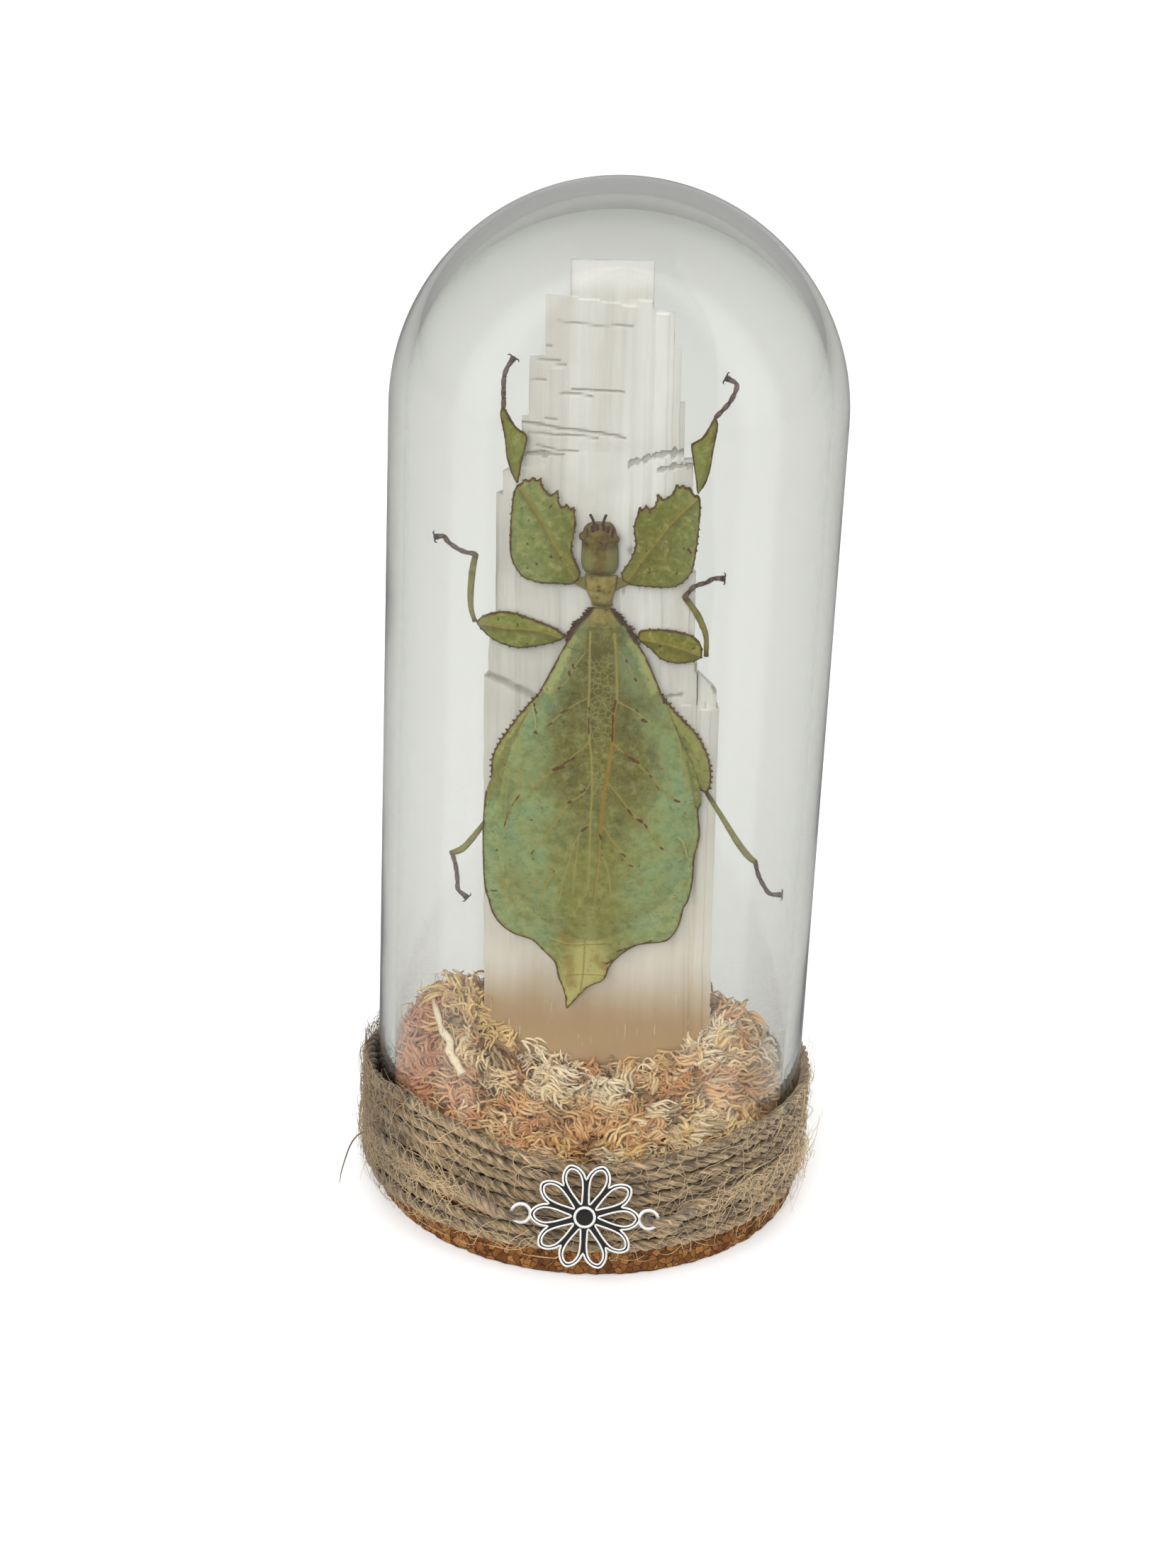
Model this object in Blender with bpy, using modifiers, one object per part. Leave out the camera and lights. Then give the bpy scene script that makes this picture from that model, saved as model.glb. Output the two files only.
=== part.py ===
"""Leaf insect on a selenite crystal, under a glass dome with a moss floor and a cork base.

Blender 4.5. The model is in metres, +Z is up and the object faces -Y. Its origin is
the centre of the flat face under the cork. The sizes in this file are millimetres,
and MM turns them into metres. Left and right are as seen from the front.
"""

import math
import random

import bmesh
import bpy
from mathutils import Matrix

MM = 0.001
GAP = 0.3  # between pieces that touch
SEED = 7

# Cork base: a flange that the glass stands on, with a plug that fills its mouth.
CORK_RADIUS = 48.2
CORK_TOP_RADIUS = 47.6
CORK_HEIGHT = 12.0
CORK_CHAMFER = 0.8
PLUG_TOP = 19.0
CORK_STEPS = 40

# Glass dome: a tube closed by a half sphere, open below.
GLASS_RADIUS = 47.5
GLASS_WALL = 3.5
GLASS_BORE = GLASS_RADIUS - GLASS_WALL
GLASS_FOOT = CORK_HEIGHT + GAP
TOTAL_HEIGHT = 227.0
DOME_CENTRE = TOTAL_HEIGHT - GLASS_RADIUS
DOME_ARC_STEPS = 8
GLASS_STEPS = 36

# Selenite crystal: cleaved blades side by side, (left, right, front, back, left top, right top).
CRYSTAL_FOOT = PLUG_TOP + GAP
CRYSTAL_CENTRE_X = 1.85
CRYSTAL_LEAN = math.radians(1.54)  # its top stands to the left of its foot
CRYSTAL_FALL = math.tan(math.radians(17))  # every broken top slopes down to the back
CRYSTAL_BLADES = (
    (-24.9, 24.9, -7.2, 11.0, 122.5, 117.5),
    (-23.8, 20.0, -7.45, 10.0, 131.0, 128.5),
    (-22.4, 19.2, -6.6, 9.4, 163.0, 147.5),
    (-21.0, 17.9, -7.3, 8.8, 168.0, 172.0),
    (-17.2, 15.9, -6.9, 8.2, 179.5, 184.0),
    (-15.7, 14.9, -7.1, 7.6, 192.0, 196.0),
    (-12.4, 13.4, -7.35, 7.0, 205.0, 202.5),
    (-7.4, 9.0, -7.0, 6.4, 212.0, 212.4),
    (20.2, 24.2, -5.6, 6.0, 124.6, 121.0),
)
# Flutes on its front: (middle, half width, nose, bottom, top).
CRYSTAL_FLUTES = (
    (4.4, 1.5, -7.9, 120.0, 203.5),
    (7.6, 1.9, -8.0, 120.0, 204.4),
    (11.0, 1.5, -7.8, 120.0, 202.0),
    (-10.2, 1.2, -7.7, 124.0, 190.0),
    (-18.6, 1.2, -7.7, 60.0, 121.0),
    (17.8, 1.4, -7.8, 24.0, 118.0),
    (22.0, 1.2, -7.7, 24.0, 117.0),
)

# Moss bed: (x, y, added height, spread in x, spread in y) of each mound on a sloping floor.
MOSS_RADIUS = GLASS_BORE - GAP
MOSS_FLOOR = PLUG_TOP + GAP
MOSS_AT_CRYSTAL = 31.0
MOSS_AT_GLASS = 25.5
MOSS_MOUNDS = ((-30.0, -3.0, 15.0, 8.5, 13.0), (29.0, -2.0, 13.0, 7.5, 12.0), (-6.0, 27.0, 4.0, 16.0, 8.0))
MOSS_RINGS = 9
MOSS_SPOKES = 40
MOSS_TUFTS = 70
MOSS_TUFT_HEIGHT = 2.2
MOSS_TUFT_SPREAD = 3.2

# Jute twine wound round the foot of the glass, and the two strands that hold the charm.
# The winding's heights are given every 45 degrees, from its right by the back and the left to the front.
TWINE_RADIUS = 1.2
WINDING_RADIUS = 49.75
WINDING_TURNS = 8
WINDING_STEPS = 24
WINDING_BOTTOMS = (5.0, 3.2, 3.0, 2.7, 4.6, 5.5, 6.5, 5.7)
WINDING_TOPS = (28.7, 23.1, 22.4, 22.1, 28.0, 33.4, 28.4, 30.9)
# Each strand: (degrees from the front, height over the charm's middle, share of its full radius).
TIE_RADIUS = 1.4
TIE_LAID = ((64, 1.3, 0.45), (55, 0.8, 0.85), (46, 0.3, 1.0), (37, -0.3, 1.0), (29, -0.7, 1.0))
# Then, from the loop's middle: (outward, forward, up, share of its full radius).
TIE_THREADED = (
    (5.6, -0.9, -0.5, 1.0), (4.0, 0.5, 0.1, 0.85), (2.5, 1.8, 0.3, 0.72), (1.0, 1.3, 0.1, 0.66),
    (0.0, 0.0, 0.0, 0.66), (-0.8, -1.3, 0.0, 0.66), (-2.2, -2.3, 0.0, 0.6),
)

# Flower charm, lying in its own X-Y plane, its face to +Z.
CHARM_CENTRE = (1.15, -54.6, 19.2)
CHARM_LEAN = math.radians(15)
CHARM_THICKNESS = 1.1
PETALS = 10
PETAL_EDGE = ((7.8, 2.53), (8.9, 2.45), (10.2, 1.95), (11.2, 1.1))
PETAL_TIP = 11.7
PETAL_HOLE = ((4.4, 0.65), (6.3, 1.25), (8.2, 1.6), (9.5, 1.35), (10.3, 0.8))
PETAL_HOLE_ENDS = (2.9, 10.7)
CUP_RADIUS = 2.3
CUP_BORE = 1.9
CUP_RIM = 1.1
CUP_FLOOR = 0.35
LOOP_OFFSET = 13.5
LOOP_RADIUS = 2.0
LOOP_WIRE = 0.35

# Insect: it lies against the crystal's front, back to the viewer. Each row of an outline is
# (height, left, right).
SPECIMEN_BACK = -8.4
UNDERLEG_MIDDLE = -8.8  # hind thighs and front hips, between the body and the crystal
BODY_BACK = -9.5
LEG_MIDDLE = -9.9
LEG_THICKNESS = 0.8
UNDERLEG_THICKNESS = 0.7
EDGE_THICKNESS = 0.6
WING_THICKNESS = 0.4
WING_LIFT = 0.5
CROWN_POWER = 0.75
THORAX_ROWS = (
    (139.9, -4.0, 0.9), (138.4, -5.1, 2.2), (136.0, -7.0, 4.1), (133.8, -8.3, 5.6), (131.2, -8.7, 6.4),
)
ABDOMEN_ROWS = (
    (130.8, -7.6, 5.6), (127.0, -9.6, 7.4), (121.0, -12.6, 10.6), (114.0, -17.0, 14.6),
    (107.0, -20.8, 18.2), (101.0, -23.0, 20.6), (97.0, -24.4, 21.4), (94.4, -24.7, 20.9),
    (89.0, -24.9, 21.5), (84.0, -24.8, 20.7), (78.0, -24.5, 20.6), (73.4, -24.0, 19.9),
    (71.4, -23.3, 19.0), (68.0, -22.3, 18.4), (65.0, -20.2, 17.2), (63.0, -17.2, 15.2),
    (61.9, -13.6, 9.6), (59.6, -11.2, 6.3), (56.6, -8.4, 3.8), (53.0, -7.5, 2.5),
    (51.0, -6.6, -0.8), (48.4, -5.8, -3.0), (45.7, -5.5, -5.0),
)
BODY_HEIGHTS = ((140.0, 2.6), (134.0, 3.1), (124.0, 2.9), (90.0, 2.4), (75.0, 2.0), (62.0, 1.4), (45.0, 0.7))
HEAD_ROWS = (
    (158.3, -4.3, -0.7), (157.4, -5.6, 0.2), (155.8, -6.2, 0.8), (152.0, -6.3, 1.3),
    (149.0, -6.2, 1.4), (147.4, -5.4, 0.8),
)
HEAD_HEIGHT = 4.2
EYES = ((-6.0, 155.7), (0.5, 155.4))
EYE_RADIUS = 0.95
PROTHORAX_ROWS = (
    (146.9, -5.4, 1.4), (145.2, -5.3, 1.3), (143.4, -4.9, 1.0), (141.2, -3.9, 0.5), (140.3, -3.8, 0.7),
)
PROTHORAX_HEIGHT = 3.2
HIPS = (((-8.0, 145.3), (-4.0, 147.0), (-3.6, 142.4)), ((4.3, 145.8), (-0.4, 147.0), (-0.2, 142.4)))
WING_OUTER = {
    "left": (
        (136.6, -5.6), (134.0, -7.6), (130.0, -9.6), (124.0, -12.3), (118.7, -14.7), (113.0, -17.2),
        (107.0, -19.4), (101.0, -20.8), (95.0, -21.5), (89.0, -21.6), (83.0, -20.8), (77.0, -19.0),
        (72.0, -16.0), (68.0, -11.8), (65.0, -7.2), (63.2, -3.6),
    ),
    "right": (
        (136.6, 3.2), (134.0, 5.2), (130.0, 7.9), (124.0, 10.7), (118.7, 12.9), (113.0, 15.3),
        (107.0, 17.4), (101.0, 19.0), (95.0, 20.0), (89.0, 19.9), (83.0, 18.8), (77.0, 16.6),
        (72.0, 13.2), (68.0, 9.0), (65.0, 4.6), (63.2, 1.0),
    ),
}
WING_SEAM = ((137.0, -1.2), (110.0, -0.7), (85.0, 0.1), (62.0, -1.4))
ANTENNAE = {
    "left": ((-3.7, 158.7), (-4.2, 159.5), (-5.0, 160.2)),
    "right": ((-2.1, 158.7), (-1.9, 159.5), (-1.4, 160.4)),
}
ANTENNA_RADIUS = 0.28

FORE_FEMUR = {
    "left": (
        (-20.0, 165.6), (-20.7, 163.9), (-20.9, 161.3), (-21.1, 157.0), (-21.1, 153.3), (-20.9, 150.9),
        (-20.1, 148.5), (-18.2, 145.9), (-16.2, 145.2), (-14.1, 144.7), (-10.4, 144.8), (-8.0, 144.9),
        (-6.3, 147.0), (-7.2, 149.5), (-8.2, 151.9), (-8.1, 154.6), (-7.6, 157.8), (-7.9, 159.8),
        (-8.1, 161.7), (-8.8, 161.2), (-9.6, 162.1), (-10.6, 161.6), (-11.3, 162.7), (-11.6, 165.1),
        (-12.8, 164.0), (-13.9, 164.7), (-14.8, 166.1), (-15.1, 167.5), (-16.0, 167.0), (-16.8, 167.7),
        (-17.5, 166.9), (-18.3, 167.2), (-19.0, 166.4),
    ),
    "right": (
        (2.1, 147.4), (3.8, 150.7), (4.7, 154.1), (4.3, 156.9), (4.3, 158.8), (4.8, 160.6),
        (5.1, 162.3), (5.8, 161.9), (6.6, 162.7), (7.5, 162.0), (8.5, 163.3), (8.8, 165.4),
        (9.9, 164.3), (11.6, 165.4), (12.5, 167.6), (13.2, 167.1), (13.9, 167.6), (14.5, 166.9),
        (15.3, 167.1), (16.2, 165.6), (17.3, 165.2), (17.7, 162.4), (17.6, 158.8), (17.5, 155.7),
        (17.2, 152.1), (16.7, 149.1), (15.2, 146.7), (13.5, 145.5), (11.3, 145.1), (8.0, 145.1),
        (4.2, 145.4),
    ),
}
FORE_TIBIA = {
    "left": (
        (-23.6, 181.6), (-23.8, 180.1), (-22.8, 175.4), (-22.2, 171.0), (-20.6, 167.2), (-19.9, 166.3),
        (-19.5, 168.0), (-19.2, 170.3), (-18.4, 174.1), (-18.2, 175.4), (-18.7, 176.6), (-20.5, 177.8),
        (-21.9, 180.0), (-22.9, 181.6),
    ),
    "right": (
        (17.1, 166.1), (18.4, 168.2), (19.2, 171.0), (19.6, 175.0), (20.2, 179.8), (19.8, 181.6),
        (19.2, 181.6), (18.4, 179.8), (17.0, 177.4), (15.2, 176.2), (15.0, 175.4), (15.6, 172.4),
        (16.4, 168.4), (16.7, 166.3),
    ),
}
FORE_TARSUS = {
    "left": ((-23.2, 182.5), (-23.3, 187.4), (-22.8, 189.8), (-21.8, 191.6)),
    "right": ((20.0, 182.4), (22.1, 185.0), (23.3, 187.8), (23.2, 189.2), (21.9, 189.9)),
}
MID_FEMUR = {
    "left": (
        (-9.2, 133.5), (-11.8, 135.2), (-17.2, 137.1), (-19.5, 137.8), (-22.4, 138.0), (-25.2, 137.3),
        (-26.9, 136.1), (-27.3, 135.0), (-24.7, 132.3), (-21.9, 130.8), (-18.3, 130.1), (-13.6, 131.0),
        (-9.9, 132.3),
    ),
    "right": (
        (6.2, 134.2), (7.2, 135.4), (12.6, 135.7), (17.4, 134.7), (19.2, 133.0), (19.7, 131.2),
        (19.4, 129.8), (17.0, 128.7), (14.1, 128.4), (11.2, 129.2), (8.7, 131.5), (6.8, 132.8),
    ),
}
MID_TIBIA = {
    "left": ((-28.0, 136.4), (-28.6, 138.4), (-28.8, 142.1), (-28.5, 147.1), (-28.1, 149.6)),
    "right": ((20.5, 131.2), (20.3, 134.6), (19.3, 137.4), (17.8, 140.2), (16.0, 142.5)),
}
MID_TARSUS = {
    "left": ((-28.6, 150.6), (-30.8, 151.0), (-33.6, 152.8), (-34.4, 154.0), (-35.6, 153.9)),
    "right": ((15.7, 143.6), (17.3, 145.6), (19.6, 146.6), (21.2, 147.6), (22.6, 147.7)),
}
HIND_FEMUR = {
    "left": (
        (-5.5, 128.6), (-10.0, 124.4), (-14.6, 118.9), (-17.2, 115.6), (-19.3, 112.4), (-22.0, 108.0),
        (-23.4, 104.3), (-23.5, 100.0), (-23.1, 95.8), (-22.4, 93.4), (-21.4, 93.2), (-20.4, 97.0),
        (-19.6, 103.0), (-17.5, 109.6), (-13.0, 116.6), (-8.0, 122.6), (-4.6, 126.6),
    ),
    "right": (
        (3.0, 128.6), (8.0, 124.6), (12.4, 119.9), (14.6, 117.2), (17.3, 114.5), (20.4, 110.9),
        (22.6, 106.1), (23.2, 102.0), (22.9, 99.2), (21.9, 98.6), (20.2, 100.4), (17.6, 106.0),
        (15.0, 111.0), (11.0, 116.4), (6.0, 122.6), (2.2, 126.6),
    ),
}
HIND_TIBIA = {
    "left": ((-22.5, 92.3), (-25.1, 88.1), (-27.9, 83.9), (-29.6, 82.1), (-31.0, 81.5)),
    "right": ((22.9, 97.8), (25.4, 94.0), (29.5, 87.5), (32.2, 84.0), (33.2, 83.2)),
}
HIND_TARSUS = {
    "left": ((-31.1, 80.3), (-30.5, 78.0), (-30.1, 75.0), (-29.9, 72.6), (-28.5, 71.2)),
    "right": ((33.9, 82.2), (34.6, 79.6), (36.3, 76.4), (37.4, 75.2), (39.0, 75.1)),
}
TIBIA_RADIUS = 0.65
TARSUS_RADIUS = 0.38


def clear_scene():
    """Remove every object and collection that the file starts with."""
    for obj in list(bpy.data.objects):
        bpy.data.objects.remove(obj)
    for collection in list(bpy.data.collections):
        bpy.data.collections.remove(collection)


def new_collection(name):
    collection = bpy.data.collections.new(name)
    bpy.context.scene.collection.children.link(collection)
    return collection


def new_material(name, colour, roughness, metallic=0.0, transmission=0.0):
    """A plain finish: one Principled BSDF with the part's colour."""
    material = bpy.data.materials.new(name)
    material.use_nodes = True
    material.diffuse_color = (*colour, 1.0)
    shader = material.node_tree.nodes["Principled BSDF"]
    shader.inputs["Base Color"].default_value = (*colour, 1.0)
    shader.inputs["Roughness"].default_value = roughness
    shader.inputs["Metallic"].default_value = metallic
    shader.inputs["Transmission Weight"].default_value = transmission
    return material


def add_object(name, data, collection, material=None):
    obj = bpy.data.objects.new(name, data)
    collection.objects.link(obj)
    if material:
        data.materials.append(material)
    return obj


def shade(obj, angle=40):
    """Smooth shading with the edges over this angle kept sharp."""
    obj.data.shade_smooth()
    obj.data.set_sharp_from_angle(angle=math.radians(angle))


def interpolate(table, at):
    """Value at a height, read from (height, value) rows that run from high to low."""
    if at >= table[0][0]:
        return table[0][1]
    for (high, first), (low, second) in zip(table, table[1:]):
        if at >= low:
            return first + (second - first) * (high - at) / (high - low)
    return table[-1][1]


# Shapes


def turned(name, profile, steps, collection, material=None):
    """Turn (radius, height) points, listed top to bottom on the outside, about the Z axis."""
    mesh = bpy.data.meshes.new(name)
    points = [(radius * MM, 0.0, height * MM) for radius, height in profile]
    mesh.from_pydata(points, [(i, i + 1) for i in range(len(points) - 1)], [])
    obj = add_object(name, mesh, collection, material)
    screw = obj.modifiers.new("Turn", "SCREW")
    screw.steps = screw.render_steps = steps
    screw.use_merge_vertices = True
    screw.merge_threshold = 0.00001
    screw.use_smooth_shade = True
    return obj


def wire(name, points, radius, collection, material, radii=None, resolution=2):
    """A round strand along points, with an optional factor on its radius at each point."""
    curve = bpy.data.curves.new(name, "CURVE")
    curve.dimensions = "3D"
    curve.bevel_depth = radius * MM
    curve.bevel_resolution = resolution
    curve.use_fill_caps = True
    spline = curve.splines.new("POLY")
    spline.points.add(len(points) - 1)
    for i, (x, y, z) in enumerate(points):
        spline.points[i].co = (x * MM, y * MM, z * MM, 1.0)
        spline.points[i].radius = radii[i] if radii else 1.0
    return add_object(name, curve, collection, material)


def flat_curve(name, loops, thickness, collection, material=None):
    """A flat plate in the X-Y plane: the first loop is its outline and the rest are its holes."""
    curve = bpy.data.curves.new(name, "CURVE")
    curve.dimensions = "2D"
    curve.fill_mode = "BOTH"
    curve.extrude = thickness / 2 * MM
    for loop in loops:
        spline = curve.splines.new("POLY")
        spline.points.add(len(loop) - 1)
        for point, (x, y) in zip(spline.points, loop):
            point.co = (x * MM, y * MM, 0.0, 1.0)
        spline.use_cyclic_u = True
    return add_object(name, curve, collection, material)


def upright_plate(name, outline, thickness, middle, collection, material=None):
    """A flat plate that faces the front, from (x, height) points, centred on the depth `middle`."""
    obj = flat_curve(name, [outline], thickness, collection, material)
    obj.rotation_euler.x = math.pi / 2
    obj.location.y = middle * MM
    return obj


def as_mesh(obj):
    """Replace a curve object by its closed mesh, in the same place."""
    bpy.context.view_layer.update()
    mesh = bpy.data.meshes.new_from_object(obj.evaluated_get(bpy.context.evaluated_depsgraph_get()))
    work = bmesh.new()
    work.from_mesh(mesh)
    bmesh.ops.remove_doubles(work, verts=work.verts, dist=0.000001)
    bmesh.ops.recalc_face_normals(work, faces=work.faces)
    work.to_mesh(mesh)
    work.free()
    name, place, collection, old = obj.name, obj.matrix_world.copy(), obj.users_collection[0], obj.data
    bpy.data.objects.remove(obj)
    bpy.data.curves.remove(old)
    solid = add_object(name, mesh, collection)
    solid.matrix_world = place
    return solid


def lofted(name, rows, columns, back, front, collection, material=None):
    """A closed sheet between two depths given as functions of (x, height).

    Each row is (height, left, right), from the top down.
    """
    work = bmesh.new()
    layers = []
    for depth in (back, front):
        grid = []
        for height, left, right in rows:
            across = [left + (right - left) * i / columns for i in range(columns + 1)]
            grid.append([work.verts.new((x * MM, depth(x, height) * MM, height * MM)) for x in across])
        layers.append(grid)
        for upper, lower in zip(grid, grid[1:]):
            for i in range(columns):
                work.faces.new((upper[i], upper[i + 1], lower[i + 1], lower[i]))
    behind, before = layers
    rim = [row[0] for row in behind] + behind[-1][1:] + [row[-1] for row in reversed(behind[:-1])]
    rim += list(reversed(behind[0][1:-1]))
    lip = [row[0] for row in before] + before[-1][1:] + [row[-1] for row in reversed(before[:-1])]
    lip += list(reversed(before[0][1:-1]))
    for i in range(len(rim)):
        j = (i + 1) % len(rim)
        work.faces.new((rim[i], rim[j], lip[j], lip[i]))
    bmesh.ops.recalc_face_normals(work, faces=work.faces)
    mesh = bpy.data.meshes.new(name)
    work.to_mesh(mesh)
    work.free()
    obj = add_object(name, mesh, collection, material)
    shade(obj)
    return obj


def crowned(name, rows, columns, back, height_at, collection, material=None):
    """A body part that is flat behind and domed in front; height_at gives its thickness in the middle."""

    def front(x, height):
        return back - crown(rows, x, height, height_at(height))

    return lofted(name, rows, columns, lambda x, height: back, front, collection, material)


def crown(rows, x, height, thickness):
    """Thickness of a domed section at x, where its outline is given by rows."""
    left = interpolate([(row[0], row[1]) for row in rows], height)
    right = interpolate([(row[0], row[2]) for row in rows], height)
    across = min(1.0, abs(2 * (x - left) / (right - left) - 1))
    return EDGE_THICKNESS + (thickness - EDGE_THICKNESS) * (1 - across**2) ** CROWN_POWER


def join(target, others, operation="UNION"):
    """Combine solids with Booleans that stay on the target."""
    for other in others:
        boolean = target.modifiers.new(f"{operation.title()} {other.name}", "BOOLEAN")
        boolean.operation = operation
        boolean.solver = "EXACT"
        boolean.object = other
        other.hide_render = True
        other.display_type = "WIRE"


# Holder


def make_cork(parts, material):
    """Cork disc with a broken lower edge, and the plug that stands up inside the glass."""
    plug_radius = GLASS_BORE - GAP
    profile = (
        (0.0, PLUG_TOP), (plug_radius - CORK_CHAMFER, PLUG_TOP), (plug_radius, PLUG_TOP - CORK_CHAMFER),
        (plug_radius, CORK_HEIGHT), (CORK_TOP_RADIUS, CORK_HEIGHT), (CORK_RADIUS, CORK_CHAMFER),
        (CORK_RADIUS - CORK_CHAMFER, 0.0), (0.0, 0.0),
    )
    return turned("cork_base", profile, CORK_STEPS, parts, material)


def make_dome(parts, material):
    """Glass tube with a half-sphere top, outside then inside, open at its foot."""
    angles = [math.pi / 2 * i / DOME_ARC_STEPS for i in range(DOME_ARC_STEPS + 1)]
    outside = [(GLASS_RADIUS * math.sin(a), DOME_CENTRE + GLASS_RADIUS * math.cos(a)) for a in angles]
    inside = [(GLASS_BORE * math.sin(a), DOME_CENTRE + GLASS_BORE * math.cos(a)) for a in reversed(angles)]
    profile = outside + [(GLASS_RADIUS, GLASS_FOOT), (GLASS_BORE, GLASS_FOOT)] + inside
    return turned("glass_dome", profile, GLASS_STEPS, parts, material)


# Crystal


def blade(name, left, right, front, back, left_top, right_top, cutters, foot=CRYSTAL_FOOT, sink=0.0):
    """One cleaved blade: a box whose top runs from one height to another and falls to the back."""
    work = bmesh.new()
    bmesh.ops.create_cube(work, size=1.0)
    for vertex in work.verts:
        x, y, z = vertex.co
        across = left if x < 0 else right
        depth = front if y < 0 else back
        top = (left_top if x < 0 else right_top) - CRYSTAL_FALL * (depth - front)
        vertex.co = (across * MM, depth * MM, (foot - sink if z < 0 else top) * MM)
    mesh = bpy.data.meshes.new(name)
    work.to_mesh(mesh)
    work.free()
    return add_object(name, mesh, cutters)


def flute(name, middle, half_width, nose, bottom, top, cutters):
    """One flute: a four-sided bar with an edge to the front."""
    work = bmesh.new()
    reach = half_width * MM
    bmesh.ops.create_cone(work, cap_ends=True, segments=4, radius1=reach, radius2=reach, depth=1.0)
    for vertex in work.verts:
        height = top if vertex.co.z > 0 else bottom
        vertex.co.x += middle * MM
        vertex.co.y += (nose + half_width) * MM
        vertex.co.z = height * MM
    mesh = bpy.data.meshes.new(name)
    work.to_mesh(mesh)
    work.free()
    return add_object(name, mesh, cutters)


def lean_crystal(obj):
    """Shear a shape to the side about the crystal's foot, so that its foot stays flat."""
    shear = Matrix.Identity(4)
    shear[0][2] = -math.tan(CRYSTAL_LEAN)
    foot = Matrix.Translation((CRYSTAL_CENTRE_X * MM, 0.0, CRYSTAL_FOOT * MM))
    lower = Matrix.Translation((0.0, 0.0, -CRYSTAL_FOOT * MM))
    obj.data.transform(foot @ shear @ lower)


def make_crystal(parts, cutters, material):
    """Selenite crystal: stepped blades and flutes joined in one solid."""
    blades = [blade(f"blade_{i}", *sizes, cutters) for i, sizes in enumerate(CRYSTAL_BLADES)]
    flutes = [flute(f"flute_{i}", *sizes, cutters) for i, sizes in enumerate(CRYSTAL_FLUTES)]
    for obj in blades + flutes:
        lean_crystal(obj)
    crystal = add_object("selenite_crystal", blades[0].data.copy(), parts, material)
    join(crystal, blades[1:] + flutes)
    blades[0].hide_render = True
    return crystal


# Moss


def moss_tufts():
    """Places and heights of the tufts that make the moss lumpy."""
    dice = random.Random(SEED)
    tufts = []
    for _ in range(MOSS_TUFTS):
        turn = dice.uniform(0, 2 * math.pi)
        reach = MOSS_RADIUS * math.sqrt(dice.random())
        rise = dice.uniform(0.3, 1.0) * MOSS_TUFT_HEIGHT
        tufts.append((reach * math.cos(turn), reach * math.sin(turn), rise))
    return tufts


def moss_height(x, y, tufts):
    """Height of the moss over a point of the floor."""
    outward = min(1.0, max(0.0, (math.hypot(x, y) - 10) / (MOSS_RADIUS - 10)))
    height = MOSS_AT_CRYSTAL + (MOSS_AT_GLASS - MOSS_AT_CRYSTAL) * outward**1.5
    for mound_x, mound_y, rise, spread_x, spread_y in MOSS_MOUNDS:
        height += rise * math.exp(-(((x - mound_x) / spread_x) ** 2 + ((y - mound_y) / spread_y) ** 2) / 2)
    for tuft_x, tuft_y, rise in tufts:
        height += rise * math.exp(-((x - tuft_x) ** 2 + (y - tuft_y) ** 2) / MOSS_TUFT_SPREAD**2)
    return height


def make_moss(parts, cutters, material):
    """Moss bed: a lumpy disc on the cork, with a slot where the crystal stands."""
    tufts = moss_tufts()
    work = bmesh.new()
    centre = work.verts.new((0.0, 0.0, moss_height(0, 0, tufts) * MM))
    rings = []
    for ring in range(1, MOSS_RINGS + 1):
        reach = MOSS_RADIUS * (ring / MOSS_RINGS) ** 0.8
        row = []
        for spoke in range(MOSS_SPOKES):
            turn = 2 * math.pi * (spoke + ring % 2 / 2) / MOSS_SPOKES
            x, y = reach * math.cos(turn), reach * math.sin(turn)
            row.append(work.verts.new((x * MM, y * MM, moss_height(x, y, tufts) * MM)))
        rings.append(row)
    rings.append([work.verts.new((v.co.x, v.co.y, MOSS_FLOOR * MM)) for v in rings[-1]])
    for spoke in range(MOSS_SPOKES):
        after = (spoke + 1) % MOSS_SPOKES
        work.faces.new((centre, rings[0][spoke], rings[0][after]))
        for inner, outer in zip(rings, rings[1:]):
            work.faces.new((inner[spoke], outer[spoke], outer[after], inner[after]))
    work.faces.new(list(reversed(rings[-1])))
    bmesh.ops.triangulate(work, faces=[f for f in work.faces if len(f.verts) == 4])
    bmesh.ops.recalc_face_normals(work, faces=work.faces)
    mesh = bpy.data.meshes.new("moss_bed")
    work.to_mesh(mesh)
    work.free()
    moss = add_object("moss_bed", mesh, parts, material)
    shade(moss, 60)
    left, right, front, back, left_top, right_top = CRYSTAL_BLADES[0]
    room = (left - GAP, right + GAP, front - 2 * GAP, back + GAP, left_top, right_top)
    slot = blade("crystal_slot", *room, cutters, sink=2.0)
    lean_crystal(slot)
    join(moss, [slot], "DIFFERENCE")
    return moss


# Twine


def around_glass(heights, turn):
    """Height at a turn about the Z axis, eased between heights that are evenly spaced round it."""
    place = turn / (2 * math.pi) * len(heights) % len(heights)
    first = int(place) % len(heights)
    ease = (1 - math.cos(math.pi * (place - first))) / 2
    return heights[first] + (heights[(first + 1) % len(heights)] - heights[first]) * ease


def make_winding(parts, material):
    """The twine's turns round the cork and the glass, from the bottom up."""
    count = WINDING_TURNS * WINDING_STEPS
    points = []
    for i in range(count + 1):
        turn = math.pi / 2 + 2 * math.pi * i / WINDING_STEPS
        bottom = around_glass(WINDING_BOTTOMS, turn)
        height = bottom + (around_glass(WINDING_TOPS, turn) - bottom) * i / count
        points.append((WINDING_RADIUS * math.cos(turn), WINDING_RADIUS * math.sin(turn), height))
    return wire("jute_winding", points, TWINE_RADIUS, parts, material, resolution=1)


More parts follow.
